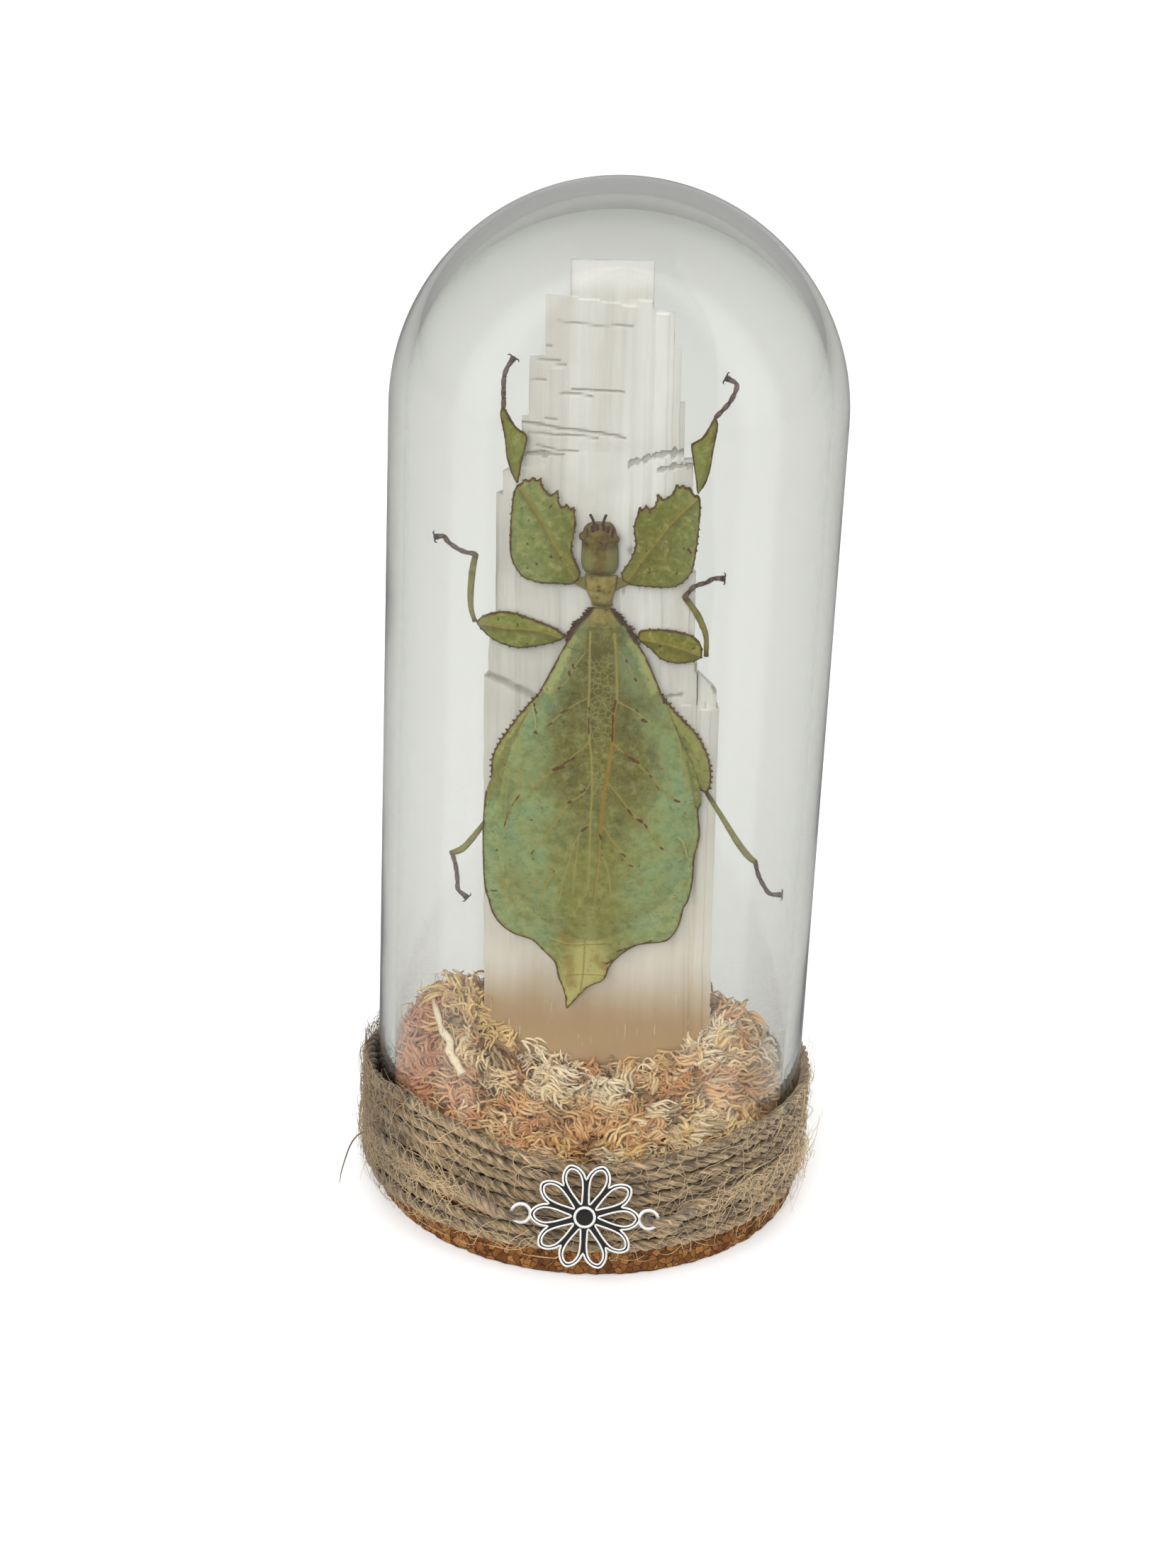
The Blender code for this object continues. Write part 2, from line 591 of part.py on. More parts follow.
def make_ties(parts, material):
    """Two strands that leave the winding, lie on it and pass through the charm's loops."""
    middle_x, middle_y, middle_z = CHARM_CENTRE
    laid = WINDING_RADIUS + TWINE_RADIUS + GAP + TIE_RADIUS
    for side, name in ((-1, "charm_tie_left"), (1, "charm_tie_right")):
        points, radii = [], []
        for degrees, rise, share in TIE_LAID:
            turn = math.radians(degrees)
            points.append((side * laid * math.sin(turn), -laid * math.cos(turn), middle_z + rise))
            radii.append(share)
        for outward, forward, rise, share in TIE_THREADED:
            points.append((middle_x + side * (LOOP_OFFSET + outward), middle_y - forward, middle_z + rise))
            radii.append(share)
        wire(name, points, TIE_RADIUS, parts, material, radii, resolution=1)


# Charm


def around(points, turn):
    """Rotate (x, y) points about the charm's centre."""
    cosine, sine = math.cos(turn), math.sin(turn)
    return [(x * cosine - y * sine, x * sine + y * cosine) for x, y in points]


def make_charm(parts, cutters, material):
    """Flower connector: open petals in one cast plate, a cup in the middle and a loop at each side."""
    lobe = [(x, -y) for x, y in PETAL_EDGE] + [(PETAL_TIP, 0.0)]
    lobe += [(x, y) for x, y in reversed(PETAL_EDGE[1:])]
    inner, outer = PETAL_HOLE_ENDS
    hole = [(inner, 0.0)] + [(x, -y) for x, y in PETAL_HOLE] + [(outer, 0.0)]
    hole += [(x, y) for x, y in reversed(PETAL_HOLE)]
    turns = [2 * math.pi * i / PETALS for i in range(PETALS)]
    outline = [point for turn in turns for point in around(lobe, turn)]
    holes = [around(hole, turn) for turn in turns]
    charm = as_mesh(flat_curve("flower_charm", [outline, *holes], CHARM_THICKNESS, parts))
    charm.data.materials.append(material)
    under = -CHARM_THICKNESS / 2 - 0.1
    profile = ((0.0, CUP_FLOOR), (CUP_BORE, CUP_FLOOR), (CUP_BORE, CUP_RIM), (CUP_RADIUS, CUP_RIM))
    profile += ((CUP_RADIUS, under), (0.0, under))
    cup = turned("charm_cup", profile, 20, cutters)
    loops = []
    for side in (-1, 1):
        bpy.ops.mesh.primitive_torus_add(
            major_radius=LOOP_RADIUS * MM, minor_radius=LOOP_WIRE * MM, major_segments=14, minor_segments=6,
            location=(side * LOOP_OFFSET * MM, 0.0, 0.0),
        )
        loop = bpy.context.object
        loop.name = "charm_loop_left" if side < 0 else "charm_loop_right"
        for collection in list(loop.users_collection):
            collection.objects.unlink(loop)
        cutters.objects.link(loop)
        loops.append(loop)
    tilt = Matrix.Rotation(math.pi / 2 - CHARM_LEAN, 4, "X")
    place = Matrix.Translation([c * MM for c in CHARM_CENTRE]) @ tilt
    for obj in (charm, cup, *loops):
        obj.matrix_world = place @ obj.matrix_basis
    join(charm, [cup, *loops])
    shade(charm, 35)
    return charm


# Insect


def body_rows():
    return THORAX_ROWS + ABDOMEN_ROWS


def body_thickness(height):
    return interpolate(BODY_HEIGHTS, height)


def body_front(x, height):
    """Depth of the insect's back, thorax and abdomen together."""
    return BODY_BACK - crown(body_rows(), x, height, body_thickness(height))


def make_trunk(parts, cutters, materials):
    """Head with its eyes, prothorax with the front hips, thorax and abdomen."""
    head = crowned("head", HEAD_ROWS, 6, SPECIMEN_BACK, lambda height: HEAD_HEIGHT, parts, materials["body"])
    eyes = []
    for i, (x, z) in enumerate(EYES):
        work = bmesh.new()
        bmesh.ops.create_icosphere(work, subdivisions=2, radius=EYE_RADIUS * MM)
        mesh = bpy.data.meshes.new(f"eye_{i}")
        work.to_mesh(mesh)
        work.free()
        eye = add_object(f"eye_{i}", mesh, cutters)
        eye.location = (x * MM, (SPECIMEN_BACK - HEAD_HEIGHT / 2) * MM, z * MM)
        eyes.append(eye)
    join(head, eyes)
    prothorax = crowned(
        "prothorax", PROTHORAX_ROWS, 6, SPECIMEN_BACK - 0.4, lambda height: PROTHORAX_HEIGHT, parts,
        materials["body"],
    )
    hips = []
    for i, outline in enumerate(HIPS):
        hip = upright_plate(f"hip_{i}", outline, UNDERLEG_THICKNESS, UNDERLEG_MIDDLE, cutters)
        hips.append(as_mesh(hip))
    join(prothorax, hips)
    crowned("thorax", THORAX_ROWS, 6, BODY_BACK, body_thickness, parts, materials["body"])
    crowned("abdomen", ABDOMEN_ROWS, 8, BODY_BACK, body_thickness, parts, materials["leaf"])


def make_wings(parts, material):
    """The two leathery forewings, each a thin sheet that follows the back under it."""
    for side, outer_edge in WING_OUTER.items():
        rows = []
        for height, outer in outer_edge:
            seam = interpolate(WING_SEAM, height)
            inner = seam - GAP / 2 if side == "left" else seam + GAP / 2
            rows.append((height, min(inner, outer), max(inner, outer)))
        lofted(
            f"forewing_{side}", rows, 5, lambda x, height: body_front(x, height) - WING_LIFT,
            lambda x, height: body_front(x, height) - WING_LIFT - WING_THICKNESS, parts, material,
        )


def leg_wire(name, points, radius, depth, parts, material, knots=False):
    """A thin leg segment through (x, height) points; knots thicken every other point, as on a foot."""
    radii = [1.25 if knots and i % 2 else 0.9 for i in range(len(points))] if knots else None
    return wire(name, [(x, depth, z) for x, z in points], radius, parts, material, radii, 1)


def make_legs(parts, materials):
    """Three pairs of legs: a broad or narrow thigh, a shank and a thin foot each."""
    leaf, shank, foot = materials["leaf"], materials["shank"], materials["foot"]
    for side in ("left", "right"):
        upright_plate(f"fore_femur_{side}", FORE_FEMUR[side], LEG_THICKNESS, LEG_MIDDLE, parts, leaf)
        upright_plate(f"fore_tibia_{side}", FORE_TIBIA[side], LEG_THICKNESS, LEG_MIDDLE - 0.1, parts, leaf)
        leg_wire(f"fore_tarsus_{side}", FORE_TARSUS[side], TARSUS_RADIUS, LEG_MIDDLE, parts, foot, True)
        upright_plate(f"mid_femur_{side}", MID_FEMUR[side], LEG_THICKNESS, LEG_MIDDLE, parts, leaf)
        leg_wire(f"mid_tibia_{side}", MID_TIBIA[side], TIBIA_RADIUS, LEG_MIDDLE, parts, shank)
        leg_wire(f"mid_tarsus_{side}", MID_TARSUS[side], TARSUS_RADIUS, LEG_MIDDLE, parts, foot, True)
        upright_plate(
            f"hind_femur_{side}", HIND_FEMUR[side], UNDERLEG_THICKNESS, UNDERLEG_MIDDLE, parts, leaf
        )
        leg_wire(f"hind_tibia_{side}", HIND_TIBIA[side], TIBIA_RADIUS, UNDERLEG_MIDDLE, parts, shank)
        leg_wire(
            f"hind_tarsus_{side}", HIND_TARSUS[side], TARSUS_RADIUS, UNDERLEG_MIDDLE, parts, foot, True
        )


def make_antennae(parts, material):
    for side, points in ANTENNAE.items():
        route = [(x, SPECIMEN_BACK - HEAD_HEIGHT / 2, z) for x, z in points]
        wire(f"antenna_{side}", route, ANTENNA_RADIUS, parts, material, resolution=1)


def main():
    clear_scene()
    parts = new_collection("leaf_insect_dome")
    cutters = new_collection("cutters")
    make_cork(parts, new_material("cork", (0.42, 0.22, 0.10), 0.85))
    make_dome(parts, new_material("glass", (0.92, 0.95, 0.94), 0.03, transmission=1.0))
    make_crystal(parts, cutters, new_material("selenite", (0.82, 0.80, 0.74), 0.3))
    make_moss(parts, cutters, new_material("moss", (0.66, 0.47, 0.30), 0.95))
    jute = new_material("jute", (0.42, 0.32, 0.20), 0.95)
    make_winding(parts, jute)
    make_ties(parts, jute)
    make_charm(parts, cutters, new_material("antique_silver", (0.62, 0.61, 0.58), 0.3, metallic=1.0))
    materials = {
        "leaf": new_material("leaf_green", (0.25, 0.38, 0.22), 0.5),
        "body": new_material("olive_tan", (0.38, 0.32, 0.16), 0.5),
        "shank": new_material("olive", (0.24, 0.25, 0.12), 0.5),
        "foot": new_material("grey_brown", (0.16, 0.12, 0.09), 0.6),
    }
    make_trunk(parts, cutters, materials)
    make_antennae(parts, materials["foot"])
    make_wings(parts, materials["leaf"])
    make_legs(parts, materials)


main()
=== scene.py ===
"""Looks of the leaf insect under its glass dome.

Blender 4.5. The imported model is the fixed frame, in metres, +Z up, with the front
towards -Y. Sizes in this file are millimetres unless a name says otherwise, and each
mesh is scaled by MM when it is made. Left and right are as seen from the front.
"""

import logging
import math
import random
from dataclasses import dataclass, field
from enum import Enum
from typing import Callable, Sequence

import bmesh
import bpy
import numpy as np
from mathutils import Matrix, Vector, noise
from mathutils.geometry import delaunay_2d_cdt

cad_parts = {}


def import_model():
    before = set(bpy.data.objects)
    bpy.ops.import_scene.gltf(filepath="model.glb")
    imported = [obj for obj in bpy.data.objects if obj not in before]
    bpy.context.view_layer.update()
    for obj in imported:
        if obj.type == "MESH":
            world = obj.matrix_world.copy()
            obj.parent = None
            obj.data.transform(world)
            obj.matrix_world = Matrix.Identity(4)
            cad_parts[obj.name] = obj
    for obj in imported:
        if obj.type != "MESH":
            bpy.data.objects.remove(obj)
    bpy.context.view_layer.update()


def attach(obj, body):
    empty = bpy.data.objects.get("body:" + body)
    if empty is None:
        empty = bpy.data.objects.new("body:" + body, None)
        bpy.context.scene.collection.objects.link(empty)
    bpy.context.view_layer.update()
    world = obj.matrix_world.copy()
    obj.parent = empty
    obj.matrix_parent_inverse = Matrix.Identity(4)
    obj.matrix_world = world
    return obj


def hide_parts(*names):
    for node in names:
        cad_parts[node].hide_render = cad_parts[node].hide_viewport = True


MM = 0.001
PER_MM = 1000.0
BODY = "root"
SENSOR = 36.0
SEED = 11

log = logging.getLogger("insect_dome")

Pair = tuple[float, float]
Triple = tuple[float, float, float]
Colour = tuple[float, float, float, float]
Face = tuple[int, ...]
Shape = tuple[np.ndarray, list[Face]]
Socket = bpy.types.NodeSocket
Material = bpy.types.Material


# Small tools


def paint(red: float, green: float, blue: float) -> Colour:
    """Linear colour of a screen colour.

    Args:
        red: Red from 0 to 255.
        green: Green from 0 to 255.
        blue: Blue from 0 to 255.

    Returns:
        Linear red, green, blue and an alpha of 1.
    """

    def linear(channel: float) -> float:
        """Linear share of one channel."""
        share = channel / 255
        return share / 12.92 if share <= 0.04045 else ((share + 0.055) / 1.055) ** 2.4

    return (linear(red), linear(green), linear(blue), 1.0)


def noise_at(x: float | np.ndarray, y: float | np.ndarray, z: float | np.ndarray) -> np.ndarray:
    """Smooth noise from about -1 to 1 at places whose coordinates are arrays, or one number for all."""
    return np.array([noise.noise(Vector(place)) for place in zip(*np.broadcast_arrays(x, y, z))])


def unit(vectors: np.ndarray) -> np.ndarray:
    """Vectors scaled to length 1, along the last axis."""
    lengths = np.linalg.norm(vectors, axis=-1, keepdims=True)
    return vectors / np.maximum(lengths, 1e-9)


def smooth_path(points: Sequence[Sequence[float]], per_span: int, closed: bool = False) -> np.ndarray:
    """Points on a Catmull-Rom curve through the given ones.

    Args:
        points: Two or more points of two or three numbers each.
        per_span: New points for each stretch between two given points.
        closed: Whether the curve returns to its first point.

    Returns:
        The curve's points, the last given one included when it is open.
    """
    given = np.asarray(points, float)
    if closed:
        padded = np.vstack([given[-1], given, given[0], given[1]])
        spans = len(given)
    else:
        padded = np.vstack([2 * given[0] - given[1], given, 2 * given[-1] - given[-2]])
        spans = len(given) - 1
    share = np.linspace(0, 1, per_span, endpoint=False)[:, None]
    pieces = []
    for i in range(spans):
        before, start, end, after = padded[i : i + 4]
        bend = 2 * before - 5 * start + 4 * end - after
        twist = -before + 3 * start - 3 * end + after
        pieces.append(0.5 * (2 * start + (end - before) * share + bend * share**2 + twist * share**3))
    if not closed:
        pieces.append(given[-1:])
    return np.vstack(pieces)


def spaced(path: np.ndarray, step: float, closed: bool = False) -> np.ndarray:
    """The same path with its points an even distance apart.

    Args:
        path: Points of a path.
        step: Wanted distance between points.
        closed: Whether the path returns to its first point.

    Returns:
        Points on the path, the last one left out when it is closed.
    """
    whole = np.vstack([path, path[:1]]) if closed else path
    lengths = np.concatenate([[0.0], np.cumsum(np.linalg.norm(np.diff(whole, axis=0), axis=1))])
    count = max(3, round(lengths[-1] / step))
    places = np.linspace(0, lengths[-1], count, endpoint=not closed)
    return np.column_stack([np.interp(places, lengths, whole[:, axis]) for axis in range(whole.shape[1])])


def quads(rows: int, columns: int, start: int = 0, round_again: bool = False, flip: bool = False) -> list[Face]:
    """Faces between rows of points, each of which closes on itself.

    Args:
        rows: Number of rows.
        columns: Points in a row.
        start: Index of the first point.
        round_again: Whether the last row joins the first.
        flip: Whether the faces turn the other way.

    Returns:
        The faces.
    """
    faces: list[Face] = []
    for i in range(rows if round_again else rows - 1):
        low, high = start + i * columns, start + (i + 1) % rows * columns
        faces += [(low + j, low + (j + 1) % columns, high + (j + 1) % columns, high + j) for j in range(columns)]
    return [(face[0], *face[:0:-1]) for face in faces] if flip else faces


def tube(
    path: Sequence[Sequence[float]], radii: Sequence[float] | float, sides: int = 6, flat: float = 1.0
) -> Shape:
    """A round or flattened tube with closed ends.

    Args:
        path: Points of its middle line.
        radii: Its radius at each point, or one radius for all.
        sides: Sides of its section.
        flat: Depth of the section as a share of its width.

    Returns:
        Points and faces.
    """
    path = np.asarray(path, float)
    radii = np.broadcast_to(np.asarray(radii, float), len(path))
    along = unit(np.gradient(path, axis=0))
    across = np.empty_like(along)
    helper = np.array([0.0, 1.0, 0.0]) if abs(along[0][1]) < 0.9 else np.array([1.0, 0.0, 0.0])
    across[0] = unit(np.cross(helper, along[0]))
    for i in range(1, len(path)):
        across[i] = unit(across[i - 1] - along[i] * (across[i - 1] @ along[i]))
    over = np.cross(along, across)
    turns = 2 * math.pi * np.arange(sides) / sides
    rings = (
        path[:, None]
        + across[:, None] * (radii[:, None] * np.cos(turns))[..., None]
        + over[:, None] * (radii[:, None] * np.sin(turns) * flat)[..., None]
    )
    last = (len(path) - 1) * sides
    ends = [tuple(range(sides - 1, -1, -1)), tuple(range(last, last + sides))]
    return rings.reshape(-1, 3), quads(len(path), sides) + ends


def revolved(profile: Sequence[Pair], steps: int) -> Shape:
    """A turned shape.

    Args:
        profile: (radius, height) points, from the top down on the outside. A radius of 0 is a pole.
        steps: Faces round the axis.

    Returns:
        Points and faces, closed at its poles and, where the profile ends off the axis, back to its start.
    """
    turns = 2 * math.pi * np.arange(steps) / steps
    points: list[np.ndarray] = []
    starts: list[tuple[int, bool]] = []
    count = 0
    for radius, height in profile:
        pole = radius < 1e-6
        ring = np.array([[0.0, 0.0, height]]) if pole else np.column_stack(
            [radius * np.cos(turns), radius * np.sin(turns), np.full(steps, height)]
        )
        points.append(ring)
        starts.append((count, pole))
        count += len(ring)
    faces: list[Face] = []
    for (upper, upper_pole), (lower, lower_pole) in zip(starts, starts[1:]):
        for i in range(steps):
            j = (i + 1) % steps
            if upper_pole:
                faces.append((upper, lower + i, lower + j))
            elif lower_pole:
                faces.append((upper + j, upper + i, lower))
            else:
                faces.append((upper + j, upper + i, lower + i, lower + j))
    return np.vstack(points), faces


class MeshMaker:
    """Collects points, faces and point attributes, in millimetres, and makes one object of them."""

    def __init__(self) -> None:
        """Starts empty."""
        self.points: list[np.ndarray] = []
        self.faces: list[Face] = []
        self.marks: dict[str, list[np.ndarray]] = {}
        self.count = 0

    def add(self, points: np.ndarray, faces: Sequence[Sequence[int]], **marks: np.ndarray | float) -> "MeshMaker":
        """Adds a shape.

        Args:
            points: Its points.
            faces: Its faces, as indices of its own points.
            marks: Named numbers for its points, one each or one for all.

        Returns:
            The same maker.
        """
        start = self.count
        self.points.append(np.asarray(points, float))
        self.faces += [tuple(start + i for i in face) for face in faces]
        for name, value in marks.items():
            self.marks.setdefault(name, []).append(np.broadcast_to(np.asarray(value, float), len(points)))
        self.count += len(points)
        return self

    def mesh(self, name: str, sharp_over: float = 60.0) -> bpy.types.Mesh:
        """The mesh, in metres and shaded smooth.

        Args:
            name: The mesh's name.
            sharp_over: Edges that turn by more than this many degrees stay sharp.

        Returns:
            The new mesh.
        """
        mesh = bpy.data.meshes.new(name)
        mesh.from_pydata((np.vstack(self.points) * MM).tolist(), [], self.faces)
        for mark, values in self.marks.items():
            attribute = mesh.attributes.new(mark, "FLOAT", "POINT")
            attribute.data.foreach_set("value", np.concatenate(values).astype(np.float32))
        mesh.validate()
        mesh.shade_smooth()
        mesh.set_sharp_from_angle(angle=math.radians(sharp_over))
        return mesh

    def piece(
        self, name: str, material: Material, sharp_over: float = 60.0, closed: bool = False
    ) -> bpy.types.Object:
        """The object, linked to the scene with its material.

        Args:
            name: The object's name.
            material: Its finish.
            sharp_over: Edges that turn by more than this many degrees stay sharp.
            closed: Whether its faces are turned outwards.

        Returns:
            The new object, at the origin.
        """
        piece = placed(name, self.mesh(name, sharp_over), material)
        if closed:
            outward(piece.data)
        return piece


def placed(name: str, mesh: bpy.types.Mesh, material: Material | None) -> bpy.types.Object:
    """An object for a mesh, at the origin.

    Args:
        name: The object's name.
        mesh: Its mesh.
        material: Its finish, or None where the mesh has its own.

    Returns:
        The new object.
    """
    mesh.name = name
    if material:
        mesh.materials.clear()
        mesh.materials.append(material)
    obj = bpy.data.objects.new(name, mesh)
    bpy.context.scene.collection.objects.link(obj)
    return obj


def declare(obj: bpy.types.Object, slot: str, *nodes: str) -> bpy.types.Object:
    """Attaches a piece to the body and hides the CAD nodes that it stands for.

    Args:
        obj: The finished piece.
        slot: Not used.
        nodes: CAD nodes that it stands for.

    Returns:
        The same piece.
    """
    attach(obj, BODY)
    if nodes:
        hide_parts(*nodes)
    log.info("%s: %d points, %d faces", obj.name, len(obj.data.vertices), len(obj.data.polygons))
    return obj


# Node trees


class Graph:
    """A node tree that is written as nested calls."""

    def __init__(self, tree: bpy.types.NodeTree) -> None:
        """Keeps the tree that the calls add to."""
        self.tree = tree

    def node(
        self, kind: str, settings: dict[str, object] | None = None,
        inputs: dict[int | str, object] | None = None, output: int | str = 0,
    ) -> Socket:
        """Adds a node.

        Args:
            kind: Blender's name for its type.
            settings: Properties of the node.
            inputs: A socket to link, or a value, for each input.
            output: Which output to return.

        Returns:
            That output socket.
        """
        node = self.tree.nodes.new(kind)
        for name, value in (settings or {}).items():
            setattr(node, name, value)
        for key, value in (inputs or {}).items():
            if isinstance(value, Socket):
                self.tree.links.new(value, node.inputs[key])
            else:
                node.inputs[key].default_value = value
        return node.outputs[output]

    def math(self, operation: str, first: object, second: object = 0.0) -> Socket:
        """One sum, named as Blender names it."""
        return self.node("ShaderNodeMath", {"operation": operation}, {0: first, 1: second})

    def plus(self, first: object, second: object) -> Socket:
        """Two numbers added."""
        return self.math("ADD", first, second)

    def minus(self, first: object, second: object) -> Socket:
        """One number less another."""
        return self.math("SUBTRACT", first, second)

    def times(self, first: object, second: object) -> Socket:
        """Two numbers multiplied."""
        return self.math("MULTIPLY", first, second)

    def size(self, number: object) -> Socket:
        """A number without its sign."""
        return self.math("ABSOLUTE", number)

    def span(self, value: object, low: float, high: float, start: object = 0.0, end: object = 1.0) -> Socket:
        """A number taken smoothly from one range to another and held at its ends."""
        inputs = {"Value": value, "From Min": low, "From Max": high, "To Min": start, "To Max": end}
        return self.node("ShaderNodeMapRange", {"interpolation_type": "SMOOTHSTEP"}, inputs)


class Shader(Graph):
    """A material whose pattern is measured in millimetres on the object."""

    def __init__(self, name: str) -> None:
        """Starts a material of this name with an empty tree.

        Args:
            name: Name of the material.
        """
        self.material = bpy.data.materials.new(name)
        self.material.use_nodes = True
        super().__init__(self.material.node_tree)
        self.tree.nodes.clear()
        object_place = self.node("ShaderNodeTexCoord", output="Object")
        self.place = self.mapped((PER_MM, PER_MM, PER_MM), object_place)

    def mapped(self, scale: Triple, vector: object | None = None) -> Socket:
        """The place, or another vector, scaled."""
        return self.node("ShaderNodeMapping", {}, {"Vector": vector or self.place, "Scale": scale})

    def noise(self, scale: float, detail: float = 3.0, vector: object | None = None, rough: float = 0.55,
              output: str = "Fac") -> Socket:
        """Noise with this many waves to a millimetre."""
        inputs = {"Vector": vector or self.place, "Scale": scale, "Detail": detail, "Roughness": rough}
        return self.node("ShaderNodeTexNoise", {}, inputs, output)

    def cells(self, scale: float, feature: str = "F1", output: str = "Distance",
              vector: object | None = None) -> Socket:
        """Voronoi cells with this many to a millimetre."""
        inputs = {"Vector": vector or self.place, "Scale": scale}
        return self.node("ShaderNodeTexVoronoi", {"feature": feature}, inputs, output)

    def ramp(self, share: object, *stops: tuple[float, Colour]) -> Socket:
        """Colours along a number from 0 to 1.

        Args:
            share: The number.
            stops: Places along it, each with its colour.

        Returns:
            The colour.
        """
        node = self.tree.nodes.new("ShaderNodeValToRGB")
        elements = node.color_ramp.elements
        while len(elements) < len(stops):
            elements.new(0.5)
        for element, (place, colour) in zip(elements, stops):
            element.position = place
            element.color = colour
        self.tree.links.new(share, node.inputs[0])
        return node.outputs[0]

    def mix(self, share: object, first: object, second: object, blend: str = "MIX") -> Socket:
        """Two colours mixed."""
        return self.node("ShaderNodeMix", {"data_type": "RGBA", "blend_type": blend},
                         {"Factor": share, 6: first, 7: second}, 2)

    def lay(self, share: object, over: object, blend: str = "MIX") -> None:
        """Lays a colour over the one that the material has so far."""
        self.colour = self.mix(share, self.colour, over, blend)

    def attribute(self, name: str) -> Socket:
        """A number kept on the mesh."""
        return self.node("ShaderNodeAttribute", {"attribute_name": name}, output="Fac")

    def axis(self, name: str) -> Socket:
        """X, Y or Z of the place, in millimetres."""
        return self.node("ShaderNodeSeparateXYZ", {}, {0: self.place}, name)

    def bump(self, height: object, depth: float, under: object | None = None) -> Socket:
        """A normal raised by a height from 0 to 1, depth millimetres deep.

        Args:
            height: The height.
            depth: Its depth.
            under: A normal that it is laid on.

        Returns:
            The normal.
        """
        inputs: dict[int | str, object] = {"Height": height, "Distance": depth * MM, "Strength": 1.0}
        if under is not None:
            inputs["Normal"] = under
        return self.node("ShaderNodeBump", {}, inputs)

    def finish(self, **sockets: object) -> Material:
        """Ends the tree in one Principled BSDF.

        Args:
            sockets: Its inputs, with _ for each space in their names.

        Returns:
            The material.
        """
        inputs = {name.replace("_", " "): value for name, value in sockets.items()}
        shader = self.node("ShaderNodeBsdfPrincipled", {}, inputs)
        self.output = self.tree.nodes.new("ShaderNodeOutputMaterial")
        self.tree.links.new(shader, self.output.inputs["Surface"])
        return self.material


class Nodes(Graph):
    """A Geometry Nodes tree with named inputs, which turns an object's mesh into another mesh."""

    def __init__(self, name: str) -> None:
        """Starts a tree of this name with one geometry in and one out.

        Args:
            name: Name of the tree.
        """
        super().__init__(bpy.data.node_groups.new(name, "GeometryNodeTree"))
        self.tree.interface.new_socket("Geometry", in_out="INPUT", socket_type="NodeSocketGeometry")
        self.tree.interface.new_socket("Geometry", in_out="OUTPUT", socket_type="NodeSocketGeometry")
        self.source = self.tree.nodes.new("NodeGroupInput")
        self.sink = self.tree.nodes.new("NodeGroupOutput")
        self.given: dict[str, object] = {}

    def named(self, name: str, kind: str, value: object) -> Socket:
        """Adds a named input and the value that it gets.

        Args:
            name: The input's name.
            kind: Float, Int, Material, Object or Collection.
            value: Its value on the object.

        Returns:
            The socket inside the tree.
        """
        socket = self.tree.interface.new_socket(name, in_out="INPUT", socket_type=f"NodeSocket{kind}")
        self.given[socket.identifier] = value
        return self.source.outputs[name]

    def run(self, obj: bpy.types.Object, geometry: Socket, material: Material) -> bpy.types.Mesh:
        """Ends the tree in real geometry with its finish, and evaluates it on an object, which is removed.

        Args:
            obj: The object whose geometry goes in.
            geometry: The socket to end with.
            material: The finish.

        Returns:
            The evaluated mesh.
        """
        finish = self.named("Finish", "Material", material)
        real = self.node("GeometryNodeRealizeInstances", {}, {0: geometry})
        dressed = self.node("GeometryNodeSetMaterial", {}, {"Geometry": real, "Material": finish})
        self.tree.links.new(dressed, self.sink.inputs[0])
        modifier = obj.modifiers.new("Nodes", "NODES")
        modifier.node_group = self.tree
        for identifier, value in self.given.items():
            modifier[identifier] = value
        bpy.context.view_layer.update()
        graph = bpy.context.evaluated_depsgraph_get()
        mesh = bpy.data.meshes.new_from_object(obj.evaluated_get(graph), depsgraph=graph)
        obj.modifiers.remove(modifier)
        bpy.data.objects.remove(obj)
        return mesh


# Flat plates


def gaps_to_path(points: np.ndarray, path: np.ndarray, closed: bool = False) -> np.ndarray:
    """Distance from each flat point to a path.

    Args:
        points: (x, z) points.
        path: (x, z) points of the path.
        closed: Whether the path returns to its first point.

    Returns:
        One distance for each point.
    """
    starts = path if closed else path[:-1]
    ends = np.roll(path, -1, axis=0) if closed else path[1:]
    nearest = np.full(len(points), np.inf)
    for start, end in zip(starts, ends):
        run = end - start
        share = np.clip((points - start) @ run / max(run @ run, 1e-12), 0, 1)
        nearest = np.minimum(nearest, np.linalg.norm(points - start - share[:, None] * run, axis=1))
    return nearest


def inside(points: np.ndarray, outline: np.ndarray) -> np.ndarray:
    """Whether each flat point is inside a closed outline.

    Args:
        points: (x, z) points.
        outline: (x, z) points of the outline.

    Returns:
        True or False for each point.
    """
    result = np.zeros(len(points), bool)
    for start, end in zip(outline, np.roll(outline, -1, axis=0)):
        if abs(end[1] - start[1]) < 1e-12:
            continue
        crosses = (start[1] > points[:, 1]) != (end[1] > points[:, 1])
        at = start[0] + (points[:, 1] - start[1]) * (end[0] - start[0]) / (end[1] - start[1])
        result ^= crosses & (points[:, 0] < at)
    return result


